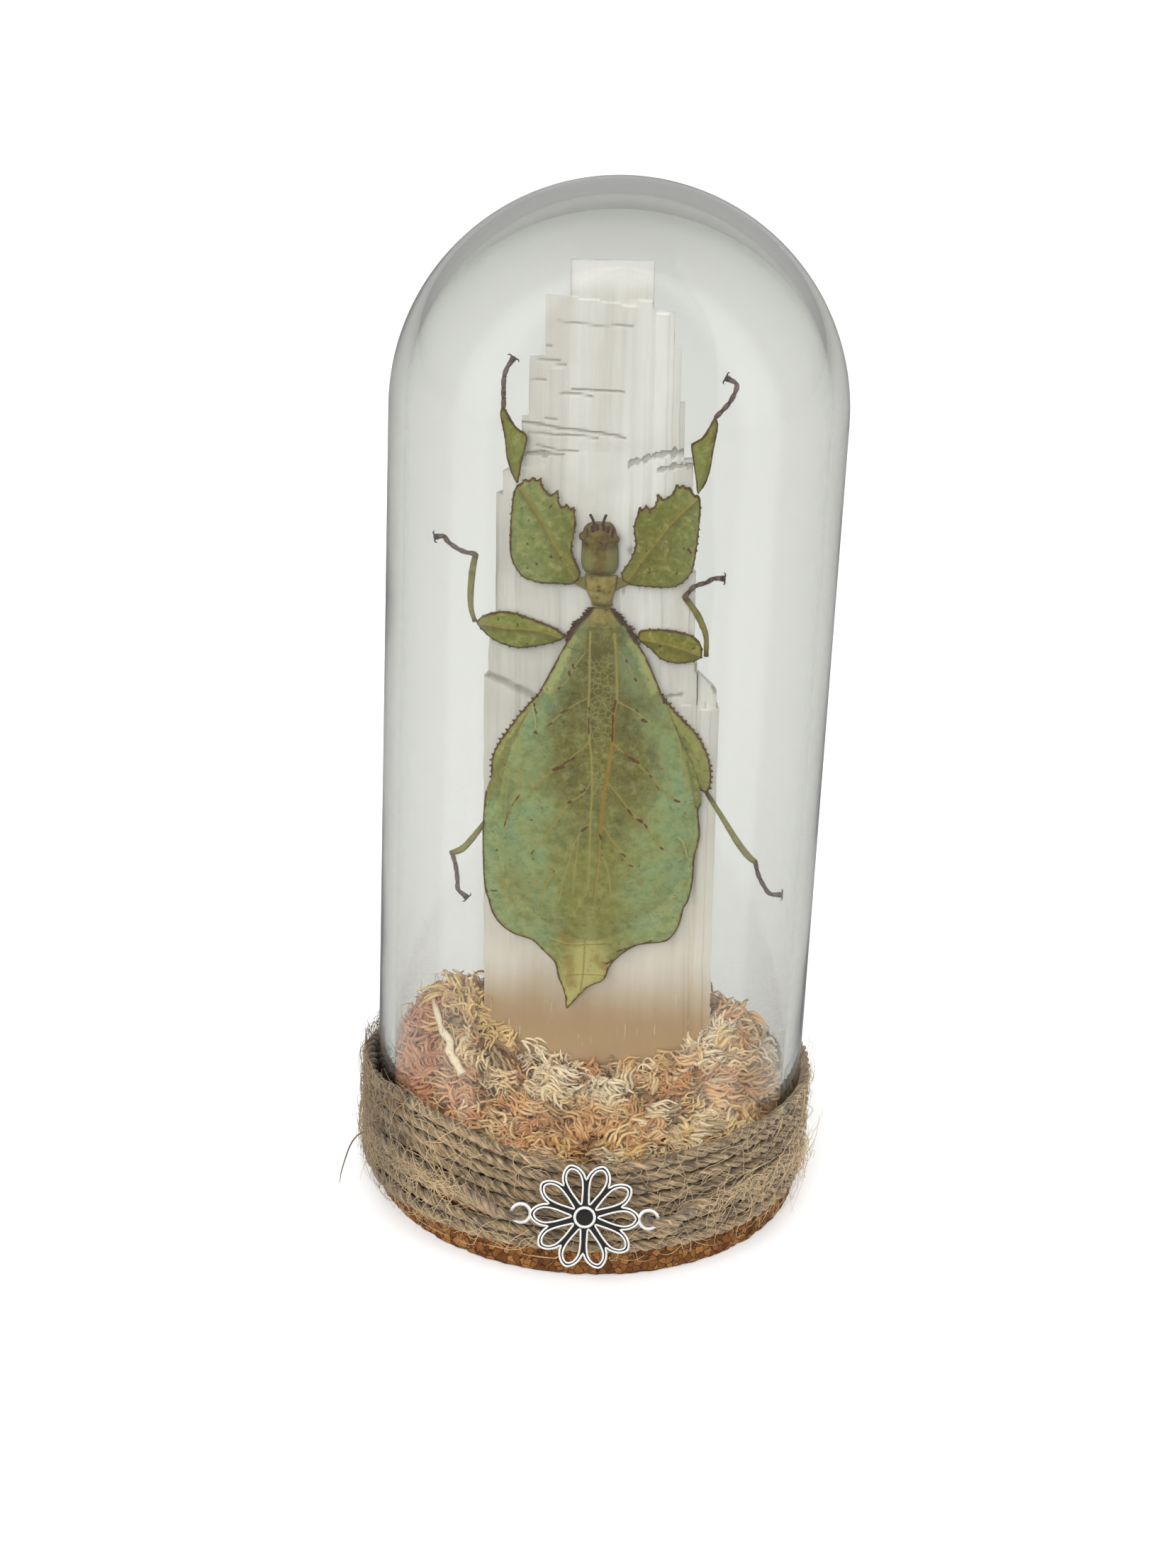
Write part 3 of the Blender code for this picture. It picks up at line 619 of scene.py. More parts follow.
def filled(
    outlines: Sequence[np.ndarray], spacing: float, lines: Sequence[np.ndarray] = (),
) -> tuple[np.ndarray, list[Face], list[list[int]]]:
    """Triangles that fill a flat shape.

    Args:
        outlines: Its outline, then the outlines of its holes.
        spacing: Distance between the points inside.
        lines: Paths that get rows of points of their own.

    Returns:
        Points, triangles, and the points of each outline in order.
    """
    low, high = outlines[0].min(axis=0), outlines[0].max(axis=0)
    across = np.arange(low[0], high[0], spacing)
    up = np.arange(low[1], high[1], spacing * 0.866)
    grid = np.array([(x + (row % 2) * spacing / 2, z) for row, z in enumerate(up) for x in across])
    rows = [grid]
    for line in lines:
        even = spaced(line, spacing * 0.6)
        side = unit(np.gradient(even, axis=0))[:, ::-1] * (1, -1)
        rows += [even + side * gap for gap in (-0.5, -0.22, 0.0, 0.22, 0.5)]
    near_lines = np.full(len(grid), np.inf)
    for line in lines:
        near_lines = np.minimum(near_lines, gaps_to_path(grid, line))
    rows[0] = grid[near_lines > 0.75]
    for outline in outlines:
        side = unit(np.roll(outline, -1, axis=0) - np.roll(outline, 1, axis=0))[:, ::-1] * (1, -1)
        for gap in (0.22, 0.5):
            rows += [outline + side * gap, outline - side * gap]
    loose = np.vstack(rows)
    keep = inside(loose, outlines[0])
    edge = gaps_to_path(loose, outlines[0], True)
    for hole in outlines[1:]:
        keep &= ~inside(loose, hole)
        edge = np.minimum(edge, gaps_to_path(loose, hole, True))
    loose = loose[keep & (edge > 0.18)]
    bounds_points = np.vstack(outlines)
    starts = np.cumsum([0] + [len(outline) for outline in outlines])
    edges = []
    for start, outline in zip(starts, outlines):
        edges += [(start + i, start + (i + 1) % len(outline)) for i in range(len(outline))]
    flat = [Vector(point) for point in np.vstack([bounds_points, loose])]
    made = delaunay_2d_cdt(flat, edges, [], 1 if len(outlines) == 1 else 5, 1e-4)
    points = np.array([tuple(point) for point in made[0]])
    faces = [tuple(face) for face in made[2]]
    new_place = {}
    for new, olds in enumerate(made[3]):
        for old in olds:
            new_place[old] = new
    loops = [[new_place[start + i] for i in range(len(outline))] for start, outline in zip(starts, outlines)]
    return points, faces, loops


# Marks of a plate's points that are well inside its edge, and far from every vein.
INNER, FAR = 3.0, 9.0
Blot = tuple[float, float, float, float, float]
Vein = tuple[float, float, Sequence[Pair]]


def blotted(points: np.ndarray, blots: Sequence[Blot]) -> np.ndarray:
    """Strength of soft blots at flat points.

    Args:
        points: (x, z) points.
        blots: Each a short line, from (x, z) to (x, z), and its half width.

    Returns:
        One strength from 0 to 1 for each point.
    """
    strength = np.zeros(len(points))
    for start_x, start_z, end_x, end_z, half in blots:
        gap = gaps_to_path(points, np.array([(start_x, start_z), (end_x, end_z)]))
        strength = np.maximum(strength, np.exp(-((gap / half) ** 2)))
    return strength


@dataclass
class Plate:
    """A leaf-like plate that stands upright and faces the front, with veins and blots."""

    outline: np.ndarray
    front: Callable[[np.ndarray, np.ndarray, np.ndarray], np.ndarray]
    back: Callable[[np.ndarray, np.ndarray], np.ndarray]
    spacing: float = 0.55
    # Each: width, how warm its colour is, and its path.
    veins: Sequence[Vein] = ()
    blots: dict[str, Sequence[Blot]] = field(default_factory=dict)
    ridge: float = 0.12
    # Spans of height where the edge has no brown margin.
    plain: Sequence[Pair] = ()
    plain_edge: np.ndarray | None = None

    def make(self, name: str, material: Material) -> bpy.types.Object:
        """Builds the plate.

        Args:
            name: The piece's name.
            material: Its finish, which reads how near a point is to the edge, a vein or a blot.

        Returns:
            The new piece.
        """
        lines = [smooth_path(path, 6) for _, _, path in self.veins]
        points, faces, loops = filled([self.outline], self.spacing, lines)
        edge = gaps_to_path(points, self.outline, True)
        vein, warm = np.full(len(points), FAR), np.zeros(len(points))
        for (width, warmth, _), line in zip(self.veins, lines):
            gap = gaps_to_path(points, line) / width
            warm = np.where(gap < vein, warmth, warm)
            vein = np.minimum(vein, gap)
        x, z = points[:, 0], points[:, 1]
        front = self.front(x, z, edge) - self.ridge * np.exp(-((vein / 0.3) ** 2))
        back = self.back(x, z)
        for low, high in self.plain:
            edge = np.where((z > low) & (z < high), INNER, edge)
        if self.plain_edge is not None:
            edge = np.where(gaps_to_path(points, self.plain_edge) < edge + 0.02, INNER, edge)
        marks = {"edge": edge, "vein": vein, "warm": warm}
        marks |= {mark: blotted(points, self.blots.get(mark, ())) for mark in ("spot", "rust", "shade", "pale", "net")}
        count = len(points)
        rim = []
        for i, first in enumerate(loops[0]):
            second = loops[0][(i + 1) % len(loops[0])]
            rim.append((first, second, count + second, count + first))
        both = np.vstack([np.column_stack([x, front, z]), np.column_stack([x, back, z])])
        behind = [tuple(count + i for i in face[::-1]) for face in faces]
        maker = MeshMaker()
        maker.add(both, faces + behind + rim, **{mark: np.tile(values, 2) for mark, values in marks.items()})
        return maker.piece(name, material, 50, closed=True)


def join(piece: bpy.types.Object, extra: bpy.types.Mesh) -> None:
    """Adds a mesh with the same attributes to a piece.

    Args:
        piece: The piece.
        extra: The mesh, which is used up.
    """
    work = bmesh.new()
    work.from_mesh(piece.data)
    work.from_mesh(extra)
    work.to_mesh(piece.data)
    work.free()
    bpy.data.meshes.remove(extra)


def outward(mesh: bpy.types.Mesh) -> None:
    """Turns every face of a closed mesh outwards.

    Args:
        mesh: The mesh.
    """
    work = bmesh.new()
    work.from_mesh(mesh)
    bmesh.ops.recalc_face_normals(work, faces=work.faces)
    work.to_mesh(mesh)
    work.free()


# Finishes


@dataclass(frozen=True)
class GlassFinish:
    """Clear blown glass, a little grey, which shows most where it is seen edge-on."""

    tint: Colour = (0.97, 0.975, 0.965, 1.0)
    lost: Colour = (0.70, 0.705, 0.68, 1.0)
    density: float = 235.0

    def make(self) -> Material:
        """Makes the material.

        Returns:
            The material.
        """
        shader = Shader("blown_glass")
        wave = shader.bump(shader.noise(0.02, 1.0), 0.25)
        material = shader.finish(Base_Color=self.tint, Roughness=0.0, IOR=1.5, Transmission_Weight=1.0, Normal=wave)
        volume = shader.node("ShaderNodeVolumeAbsorption", {}, {"Color": self.lost, "Density": self.density})
        shader.tree.links.new(volume, shader.output.inputs["Volume"])
        return material


@dataclass(frozen=True)
class CorkFinish:
    """Pressed cork: granules of several browns with dark joints."""

    pale: Colour = paint(134, 94, 52)
    middle: Colour = paint(108, 68, 32)
    deep: Colour = paint(78, 46, 22)
    joint: Colour = paint(46, 26, 14)
    granules: float = 0.62

    def make(self) -> Material:
        """Makes the material.

        Returns:
            The material.
        """
        shader = Shader("pressed_cork")
        bent = shader.node("ShaderNodeVectorMath", {"operation": "MULTIPLY_ADD"},
                           {0: shader.noise(0.9, 2.0, output="Color"), 1: (0.9, 0.9, 0.9), 2: shader.place})
        granule = shader.cells(self.granules, output="Color", vector=bent)
        tone = shader.node("ShaderNodeSeparateColor", {}, {0: granule})
        base = shader.ramp(tone, (0.0, self.deep), (0.35, self.middle), (0.75, self.pale), (1.0, self.middle))
        gap = shader.cells(self.granules, "DISTANCE_TO_EDGE", vector=bent)
        joint = shader.span(gap, 0.0, 0.09, 1.0, 0.0)
        speck = shader.span(shader.noise(3.2, 3.0), 0.56, 0.66)
        shader.colour = shader.mix(shader.times(speck, 0.55), base, self.deep)
        shader.lay(joint, self.joint)
        lumps = shader.bump(gap, 0.35)
        grain = shader.bump(shader.noise(5.0, 4.0), 0.12, lumps)
        return shader.finish(Base_Color=shader.colour, Roughness=0.85, Specular_IOR_Level=0.25, Normal=grain)


@dataclass(frozen=True)
class SeleniteFinish:
    """Silky white gypsum, streaked along its length, with painted warm light from the moss low down and painted
    highlights on a bright column and the top.
    """

    body: Colour = paint(223, 220, 210)
    # Pale streaks, and the colour of the painted highlights.
    streak: Colour = paint(249, 248, 243)
    shade: Colour = paint(196, 193, 184)
    crack: Colour = paint(178, 175, 163)
    lower: Colour = paint(242, 233, 214)
    # Painted light: the warm glow that the moss throws up into the crystal's lower part.
    glow: Colour = paint(178, 149, 108)

    def make(self) -> Material:
        """Makes the material.

        Returns:
            The material.
        """
        shader = Shader("raw_selenite")
        fine = shader.noise(1.0, 4.0, shader.mapped((2.2, 2.2, 0.03)), 0.7)
        broad = shader.noise(1.0, 3.0, shader.mapped((0.22, 0.22, 0.01)))
        scratch = shader.noise(1.0, 2.0, shader.mapped((3.4, 3.4, 0.09)))
        cloud = shader.noise(0.05, 4.0)
        shader.colour = shader.mix(shader.span(broad, 0.42, 0.66, 0, 0.45), self.body, self.streak)
        shader.lay(shader.span(fine, 0.52, 0.7, 0, 0.22), self.streak)
        shader.lay(shader.span(fine, 0.42, 0.26, 0, 0.14), self.shade)
        shader.lay(shader.span(cloud, 0.45, 0.65, 0, 0.3), self.shade)
        shader.lay(shader.span(shader.axis("Z"), 110.0, 80.0, 0, 0.5), self.lower)
        # Painted highlight where the mesh marks the crystal as bright.
        shader.lay(shader.attribute("bright"), self.streak)
        # Painted warm light from the moss, laid over the lower part with a ragged upper edge.
        height = shader.plus(shader.axis("Z"), shader.plus(shader.times(broad, 5.0), shader.times(cloud, 10.0)))
        shader.lay(shader.span(height, 67.0, 48.0, 0, 0.95), self.glow)
        shader.lay(shader.span(scratch, 0.70, 0.75, 0, 0.75), self.streak)
        shader.lay(shader.attribute("grey"), self.crack)
        lines = shader.bump(fine, 0.04)
        return shader.finish(
            Base_Color=shader.colour, Roughness=0.3, Specular_IOR_Level=0.5, IOR=1.52, Normal=lines,
            Subsurface_Weight=0.35, Subsurface_Radius=(1.0, 0.95, 0.85), Subsurface_Scale=0.0025,
        )


@dataclass(frozen=True)
class MossFinish:
    """Dried sphagnum in salmon, cream and orange brown, with painted shade down in the bed and at the foot of each
    shoot.
    """

    salmon: Colour = paint(225, 162, 127)
    cream: Colour = paint(243, 208, 146)
    white: Colour = paint(255, 238, 208)
    orange: Colour = paint(224, 167, 112)
    brown: Colour = paint(176, 132, 96)
    # Colour of the painted shade down in the bed.
    root: Colour = paint(112, 86, 72)

    def make(self, name: str = "dried_moss") -> Material:
        """Makes the material.

        Args:
            name: Name of the material.

        Returns:
            The material.
        """
        shader = Shader(name)
        hue = shader.attribute("hue")
        warm = shader.ramp(hue, (0.0, self.brown), (0.28, self.orange), (0.6, self.cream), (1.0, self.white))
        pink = shader.ramp(hue, (0.0, self.orange), (0.3, self.salmon), (0.75, self.salmon), (1.0, self.cream))
        shader.colour = shader.mix(shader.attribute("pink"), warm, pink)
        fibre = shader.noise(1.4, 3.0)
        shader.lay(shader.span(fibre, 0.48, 0.68, 0, 0.3), self.brown)
        # Painted shade at the foot of each shoot and where its level is low, down in the bed.
        shader.lay(shader.span(shader.attribute("rise"), 0.3, 0.0, 0, 0.35), self.root)
        shader.lay(shader.span(shader.attribute("level"), 0.7, 0.0, 0, 0.75), self.root)
        return shader.finish(
            Base_Color=shader.colour, Roughness=0.8, Specular_IOR_Level=0.2, Normal=shader.bump(fibre, 0.12),
            Subsurface_Weight=0.25, Subsurface_Radius=(1.0, 0.75, 0.5), Subsurface_Scale=0.0008,
        )


@dataclass(frozen=True)
class JuteFinish:
    """Natural jute, its fibres running along each ply, with painted shade between the plies and over its left side."""

    pale: Colour = paint(172, 149, 114)
    middle: Colour = paint(118, 97, 68)
    # Dark fibres and patches, and the colour of the painted shade.
    deep: Colour = paint(50, 38, 24)
    straw: Colour = paint(126, 84, 38)
    hair: Colour = paint(172, 149, 112)

    def make(self, name: str = "jute_fibre") -> Material:
        """Makes the material.

        Args:
            name: Name of the material.

        Returns:
            The material.
        """
        shader = Shader(name)
        along, turn = shader.attribute("along"), shader.attribute("turn")
        lines = shader.node("ShaderNodeCombineXYZ", {}, {0: shader.times(along, 0.35),
                                                         1: shader.times(turn, 2.6), 2: shader.attribute("ply")})
        fibre = shader.noise(1.0, 4.0, lines, 0.65)
        patch = shader.noise(0.22, 3.0)
        shader.colour = shader.ramp(fibre, (0.32, self.deep), (0.48, self.middle), (0.66, self.pale))
        shader.lay(shader.span(patch, 0.52, 0.64, 0, 0.6), self.deep)
        shader.lay(shader.attribute("straw"), self.straw)
        shader.lay(shader.times(shader.attribute("pale"), 0.8), self.hair)
        # Painted shade where the mesh marks the gaps between plies as deep; fibres that are not pale, such as the
        # stray end, are marked dark too.
        shader.lay(shader.times(shader.attribute("deep"), 0.8), self.deep)
        # Painted shade over the left side of the twine.
        shader.lay(shader.span(shader.axis("X"), -30.0, -46.0, 0, 0.5), self.deep)
        return shader.finish(
            Base_Color=shader.colour, Roughness=0.85, Specular_IOR_Level=0.2, Normal=shader.bump(fibre, 0.25),
            Sheen_Weight=0.2, Sheen_Roughness=0.6,
        )


@dataclass(frozen=True)
class SilverFinish:
    """Cast silver, bright on its rims and blackened below them."""

    bright: Colour = (0.90, 0.89, 0.86, 1.0)
    worn: Colour = (0.62, 0.61, 0.58, 1.0)
    black: Colour = paint(30, 29, 27)

    def make(self) -> Material:
        """Makes the material.

        Returns:
            The material.
        """
        shader = Shader("antique_silver_casting")
        low = shader.attribute("low")
        smear = shader.times(shader.span(shader.noise(1.6, 4.0), 0.45, 0.7), 0.4)
        shader.colour = shader.mix(smear, self.bright, self.worn)
        shader.lay(low, self.black)
        rough = shader.plus(0.22, shader.times(low, 0.4))
        pits = shader.bump(shader.noise(6.0, 3.0), 0.03)
        metal = shader.minus(0.62, shader.times(low, 0.4))
        return shader.finish(Base_Color=shader.colour, Metallic=metal, Roughness=rough, Normal=pits)


@dataclass(frozen=True)
class LeafFinish:
    """Dried leaf-like plate of the insect: blue-green sides, an olive middle, yellow veins, brown edges and blots."""

    name: str
    middle: Colour
    low: Colour
    side: Colour
    # How far the middle reaches from the line over X = centre, and how far it drifts.
    reach: Pair = (6.5, 17.5)
    centre: float = -1.2
    drift: float = 16.0
    vein_share: float = 0.8
    tail: bool = False
    # How many times narrower the middle is high up.
    narrow: float = 1.0
    # Colour beside the wings high up.
    strip: Colour | None = None
    mottle: Colour = (0.66, 0.66, 0.48, 1.0)
    shade: Colour = (0.58, 0.64, 0.70, 1.0)
    rust: Colour = paint(150, 118, 52)
    pale: Colour = paint(200, 193, 120)
    margin: Colour = paint(84, 54, 24)
    vein: Colour = paint(158, 148, 76)
    warm: Colour = paint(166, 126, 48)
    teal: Colour = paint(146, 170, 122)
    olive: Colour = paint(152, 158, 96)
    dusk: Colour = (0.74, 0.71, 0.74, 1.0)
    spot: Colour = paint(84, 40, 14)

    def make(self) -> Material:
        """Makes the material.

        Returns:
            The material.
        """
        shader = Shader(self.name)
        off = shader.size(shader.minus(shader.axis("X"), self.centre))
        cloud = shader.minus(shader.noise(0.1, 4.0), 0.5)
        middle = shader.mix(shader.span(shader.axis("Z"), 104.0, 78.0), self.middle, self.low)
        across = shader.times(off, shader.span(shader.axis("Z"), 113.0, 134.0, 1.0, self.narrow))
        across = shader.times(across, shader.span(shader.axis("Z"), 98.0, 86.0, 1.0, 1.45))
        far = shader.plus(across, shader.times(cloud, self.drift))
        patch = shader.noise(0.15, 4.0, rough=0.6)
        side = shader.ramp(patch, (0.36, self.olive), (0.48, self.side), (0.62, self.teal)) \
            if self.tail else self.side
        shader.colour = shader.mix(shader.span(far, *self.reach), middle, side)
        if self.strip:
            high = shader.times(shader.span(shader.axis("Z"), 92.0, 99.0), shader.span(shader.axis("Z"), 130.0, 124.0))
            shader.lay(shader.times(high, 0.85), self.strip)
        blotch = shader.noise(0.5, 7.0, rough=0.75)
        shader.lay(shader.span(blotch, 0.48, 0.64, 0, 0.75), self.mottle, "MULTIPLY")
        shader.lay(shader.span(blotch, 0.5, 0.36, 0, 0.4), self.pale)
        if self.tail:
            shader.lay(shader.span(shader.axis("Z"), 108.0, 126.0), self.dusk, "MULTIPLY")
            down = shader.plus(shader.axis("Z"), shader.plus(shader.times(off, 1.8), shader.times(cloud, 14.0)))
            shader.lay(shader.span(down, 71.0, 60.0, 0, 0.9), self.pale)
        torn = shader.times(shader.minus(shader.noise(0.8, 5.0), 0.5), 1.5)

        def blot(mark: str, low: float, high: float, most: float, over: Colour, blend: str = "MIX") -> None:
            """Lays a colour where the mesh marks a blot, ragged at its edge."""
            ragged = shader.plus(shader.attribute(mark), torn)
            shader.lay(shader.span(ragged, low, high, 0, most), over, blend)

        blot("shade", 0.15, 0.95, 0.6, self.shade, "MULTIPLY")
        blot("pale", 0.3, 0.9, 0.8, self.pale)
        blot("rust", 0.2, 1.1, 0.6, self.rust)
        web = shader.cells(0.62, "DISTANCE_TO_EDGE")
        shader.lay(shader.span(web, 0.06, 0.0, 0, 0.25), self.vein)
        wide_web = shader.times(shader.span(shader.cells(0.75, "DISTANCE_TO_EDGE"), 0.12, 0.02, 0, 0.5),
                                shader.span(shader.attribute("net"), 0.35, 0.7))
        shader.lay(wide_web, self.vein)
        line = shader.mix(shader.attribute("warm"), self.vein, self.warm)
        shader.lay(shader.span(shader.attribute("vein"), 0.34, 0.1, 0, self.vein_share), line)
        shader.lay(shader.span(shader.noise(1.1, 6.0, rough=0.7), 0.595, 0.67, 0, 0.6), self.spot)
        blot("spot", 0.45, 0.8, 0.9, self.spot)
        edge = shader.plus(shader.attribute("edge"),
                           shader.times(shader.minus(shader.noise(0.7, 3.0), 0.5), 0.9))
        shader.lay(shader.span(edge, 1.0, 0.3, 0, 0.25), self.rust)
        shader.lay(shader.span(edge, 0.5, 0.2, 0, 0.95), self.margin)
        skin = shader.bump(shader.noise(2.4, 5.0), 0.08, shader.bump(web, 0.06))
        return shader.finish(Base_Color=shader.colour, Roughness=0.55, Specular_IOR_Level=0.25, Normal=skin)


@dataclass(frozen=True)
class ShellFinish:
    """Dried insect shell with darker pits and edges, and green flanks where the mesh marks them."""

    name: str
    base: Colour
    light: Colour
    dark: Colour
    scale: float = 0.6
    rough: float = 0.55
    flank: Colour = paint(138, 134, 76)

    def make(self) -> Material:
        """Makes the material.

        Returns:
            The material.
        """
        shader = Shader(self.name)
        cloud = shader.noise(self.scale, 5.0, rough=0.65)
        shader.colour = shader.ramp(cloud, (0.30, self.dark), (0.44, self.base), (0.66, self.light))
        shader.lay(shader.attribute("flank"), self.flank)
        shader.lay(shader.span(shader.noise(2.6, 3.0), 0.6, 0.7, 0, 0.5), self.dark)
        shader.lay(shader.span(shader.attribute("dark"), 0.2, 0.8), self.dark)
        skin = shader.bump(shader.noise(3.4, 4.0), 0.08)
        return shader.finish(Base_Color=shader.colour, Roughness=self.rough, Specular_IOR_Level=0.3, Normal=skin)


# Room


@dataclass
class Studio:
    """Camera of the photograph, a pale floor and soft light from all round."""

    distance: float = 616.31
    height: float = 370.96
    aside: float = 6.2458
    pitch: float = 0.4214
    yaw: float = -0.015
    roll: float = 0.0441
    lens: float = 71.37
    floor_side: float = 9000.0
    # Brightness of the room high up, low down and low down in front.
    high: float = 0.70
    low: float = 0.34
    low_ahead: float = 0.07
    # The windows: brightness, turn from straight ahead and half width, in radians.
    window: float = 0.9
    window_turn: float = 1.32
    window_half: float = 0.13
    # (name, place, size, watts), with places and sizes in metres.
    lamps: tuple[tuple[str, Triple, Pair, float], ...] = (
        ("lamp_left", (-1.2, -1.2, 1.3), (1.2, 1.2), 19.0), ("lamp_right", (1.4, -0.8, 1.3), (1.2, 1.2), 12.0),
        ("lamp_above", (0.0, 0.1, 2.0), (1.8, 1.8), 12.0), ("lamp_behind", (0.3, 1.6, 1.2), (1.4, 1.2), 4.0),
        ("lamp_front", (-0.2, -2.2, 1.0), (1.5, 1.2), 50.0),
    )

    def camera(self) -> None:
        """Places the camera as it stood for the photograph."""
        level = math.cos(self.pitch)
        ahead = Vector((math.sin(self.yaw) * level, math.cos(self.yaw) * level, -math.sin(self.pitch)))
        right = ahead.cross(Vector((0, 0, 1))).normalized()
        up = right.cross(ahead)
        across = right * math.cos(self.roll) + up * math.sin(self.roll)
        upright = up * math.cos(self.roll) - right * math.sin(self.roll)
        data = bpy.data.cameras.new("photo_camera")
        data.lens = self.lens
        data.sensor_width = SENSOR
        data.clip_start = 0.01
        camera = bpy.data.objects.new("photo_camera", data)
        turn = Matrix((across, upright, -ahead)).transposed().to_4x4()
        camera.matrix_world = Matrix.Translation(Vector((self.aside, -self.distance, self.height)) * MM) @ turn
        bpy.context.scene.collection.objects.link(camera)
        bpy.context.scene.camera = camera

    def world(self) -> None:
        """A white room, darker low down, with a tall window at each side."""
        world = bpy.data.worlds.new("white_room")
        world.use_nodes = True
        room = Graph(world.node_tree)
        way = room.node("ShaderNodeTexCoord", output="Generated")
        east, north, up = (room.node("ShaderNodeSeparateXYZ", {}, {0: way}, name) for name in "XYZ")
        off = room.size(room.math("ARCTAN2", room.size(east), room.times(north, -1.0)))
        sky = room.span(up, -0.25, 0.2, room.span(off, 0.9, 1.9, self.low_ahead, self.low), self.high)
        near = room.size(room.minus(off, self.window_turn))
        glow = room.span(near, self.window_half, self.window_half + 0.16, self.window, 0.0)
        background = world.node_tree.nodes["Background"]
        room.tree.links.new(room.plus(sky, glow), background.inputs["Color"])
        bpy.context.scene.world = world
        bpy.context.scene.view_settings.view_transform = "Standard"
        bpy.context.scene.cycles.caustics_refractive = False
        bpy.context.scene.cycles.caustics_reflective = False

    def panel(self, name: str, place: Triple, size: Pair, watts: float) -> None:
        """A soft light that faces the middle of the dome and isn't mirrored in it.

        Args:
            name: Its name.
            place: Where it stands, in metres.
            size: Its width and height, in metres.
            watts: Its power.
        """
        data = bpy.data.lights.new(name, "AREA")
        data.shape = "RECTANGLE"
        data.size, data.size_y = size
        data.energy = watts
        light = bpy.data.objects.new(name, data)
        light.location = place
        light.rotation_euler = (Vector((0, 0, 0.11)) - Vector(place)).to_track_quat("-Z", "Y").to_euler()
        light.visible_camera = False
        light.visible_transmission = False
        light.visible_glossy = False
        bpy.context.scene.collection.objects.link(light)

    def floor(self) -> None:
        """A pale table top."""
        half = self.floor_side / 2
        corners = np.array([(-half, -half, -0.1), (half, -half, -0.1), (half, half, -0.1), (-half, half, -0.1)])
        shader = Shader("white_table")
        grain = shader.bump(shader.noise(0.4, 2.0), 0.02)
        paper = shader.finish(Base_Color=(0.87, 0.87, 0.87, 1.0), Roughness=0.9, Normal=grain)
        table = MeshMaker().add(corners, [(0, 1, 2, 3)]).piece("table_top", paper)
        table.visible_glossy = False

    def build(self) -> None:
        """Makes the whole room."""
        self.camera()
        self.world()
        self.floor()
        for name, place, size, watts in self.lamps:
            self.panel(name, place, size, watts)


# Holder


@dataclass
class CorkBase:
    """Cork disc and the plug that stands up inside the glass."""

    radius: float = 48.2
    top_radius: float = 47.6
    height: float = 12.0
    plug_radius: float = 43.7
    plug_top: float = 19.0
    steps: int = 300
    # How far the side is worn in on average, and the height between its rows.
    rough: float = 0.32
    row: float = 0.4

    def build(self) -> None:
        sides = [(self.radius + (self.top_radius - self.radius) * z / self.height, z)
                 for z in np.arange(self.height - 0.3, 0.5, -self.row)]
        plug, top, height = self.plug_radius, self.plug_top, self.height
        profile = [(0.0, top), (plug - 0.8, top), (plug, top - 0.8), (plug, height + 0.2), (plug + 0.3, height),
                   (self.top_radius, height), *sides, (self.radius - 0.3, 0.25), (self.radius - 0.9, 0.0), (0.0, 0.0)]
        points, faces = revolved(profile, self.steps)
        out = points.copy()
        for i, point in enumerate(points):
            reach = math.hypot(point[0], point[1])
            if reach < self.plug_radius + 1 or point[2] > self.height - 0.2:
                continue
            low = noise.noise(Vector(point) * 0.45)
            fine = noise.noise(Vector(point) * 1.6)
            chip = max(0.0, noise.noise(Vector(point) * 0.8 + Vector((9, 3, 1))) - 0.25) * 2.2
            inward = self.rough * (0.8 + low + 0.6 * fine) + chip
            out[i, :2] *= (reach - max(0.0, inward)) / reach
        piece = MeshMaker().add(out, faces).piece("cork_disc", CorkFinish().make(), closed=True)
        declare(piece, "cork", "cork_base")


@dataclass
class GlassDome:
    """Glass tube closed by a half sphere, with a fire-rounded foot."""

    radius: float = 47.5
    wall: float = 3.5
    foot: float = 12.3
    top: float = 227.0
    steps: int = 160
    arc_steps: int = 36

    def build(self) -> None:
        bore = self.radius - self.wall
        centre = self.top - self.radius
        turns = [math.pi / 2 * i / self.arc_steps for i in range(self.arc_steps + 1)]
        outside = [(self.radius * math.sin(t), centre + self.radius * math.cos(t)) for t in turns]
        down = [(self.radius, z) for z in np.linspace(centre, self.foot + 1.5, 12)[1:]]
        lip_turns = np.linspace(0, math.pi, 9)[1:-1]
        middle, half = self.radius - self.wall / 2, self.wall / 2
        lip = [(middle + half * math.cos(t), self.foot + 1.5 - 1.5 * math.sin(t)) for t in lip_turns]
        up = [(bore, z) for z in np.linspace(self.foot + 1.5, centre, 12)[:-1]]
        within = [(bore * math.sin(t), centre + bore * math.cos(t)) for t in reversed(turns)]
        maker = MeshMaker().add(*revolved(outside + down + lip + up + within, self.steps))
        piece = maker.piece("blown_dome", GlassFinish().make(), 80, closed=True)
        piece.visible_shadow = False
        declare(piece, "glass", "glass_dome")


# Crystal


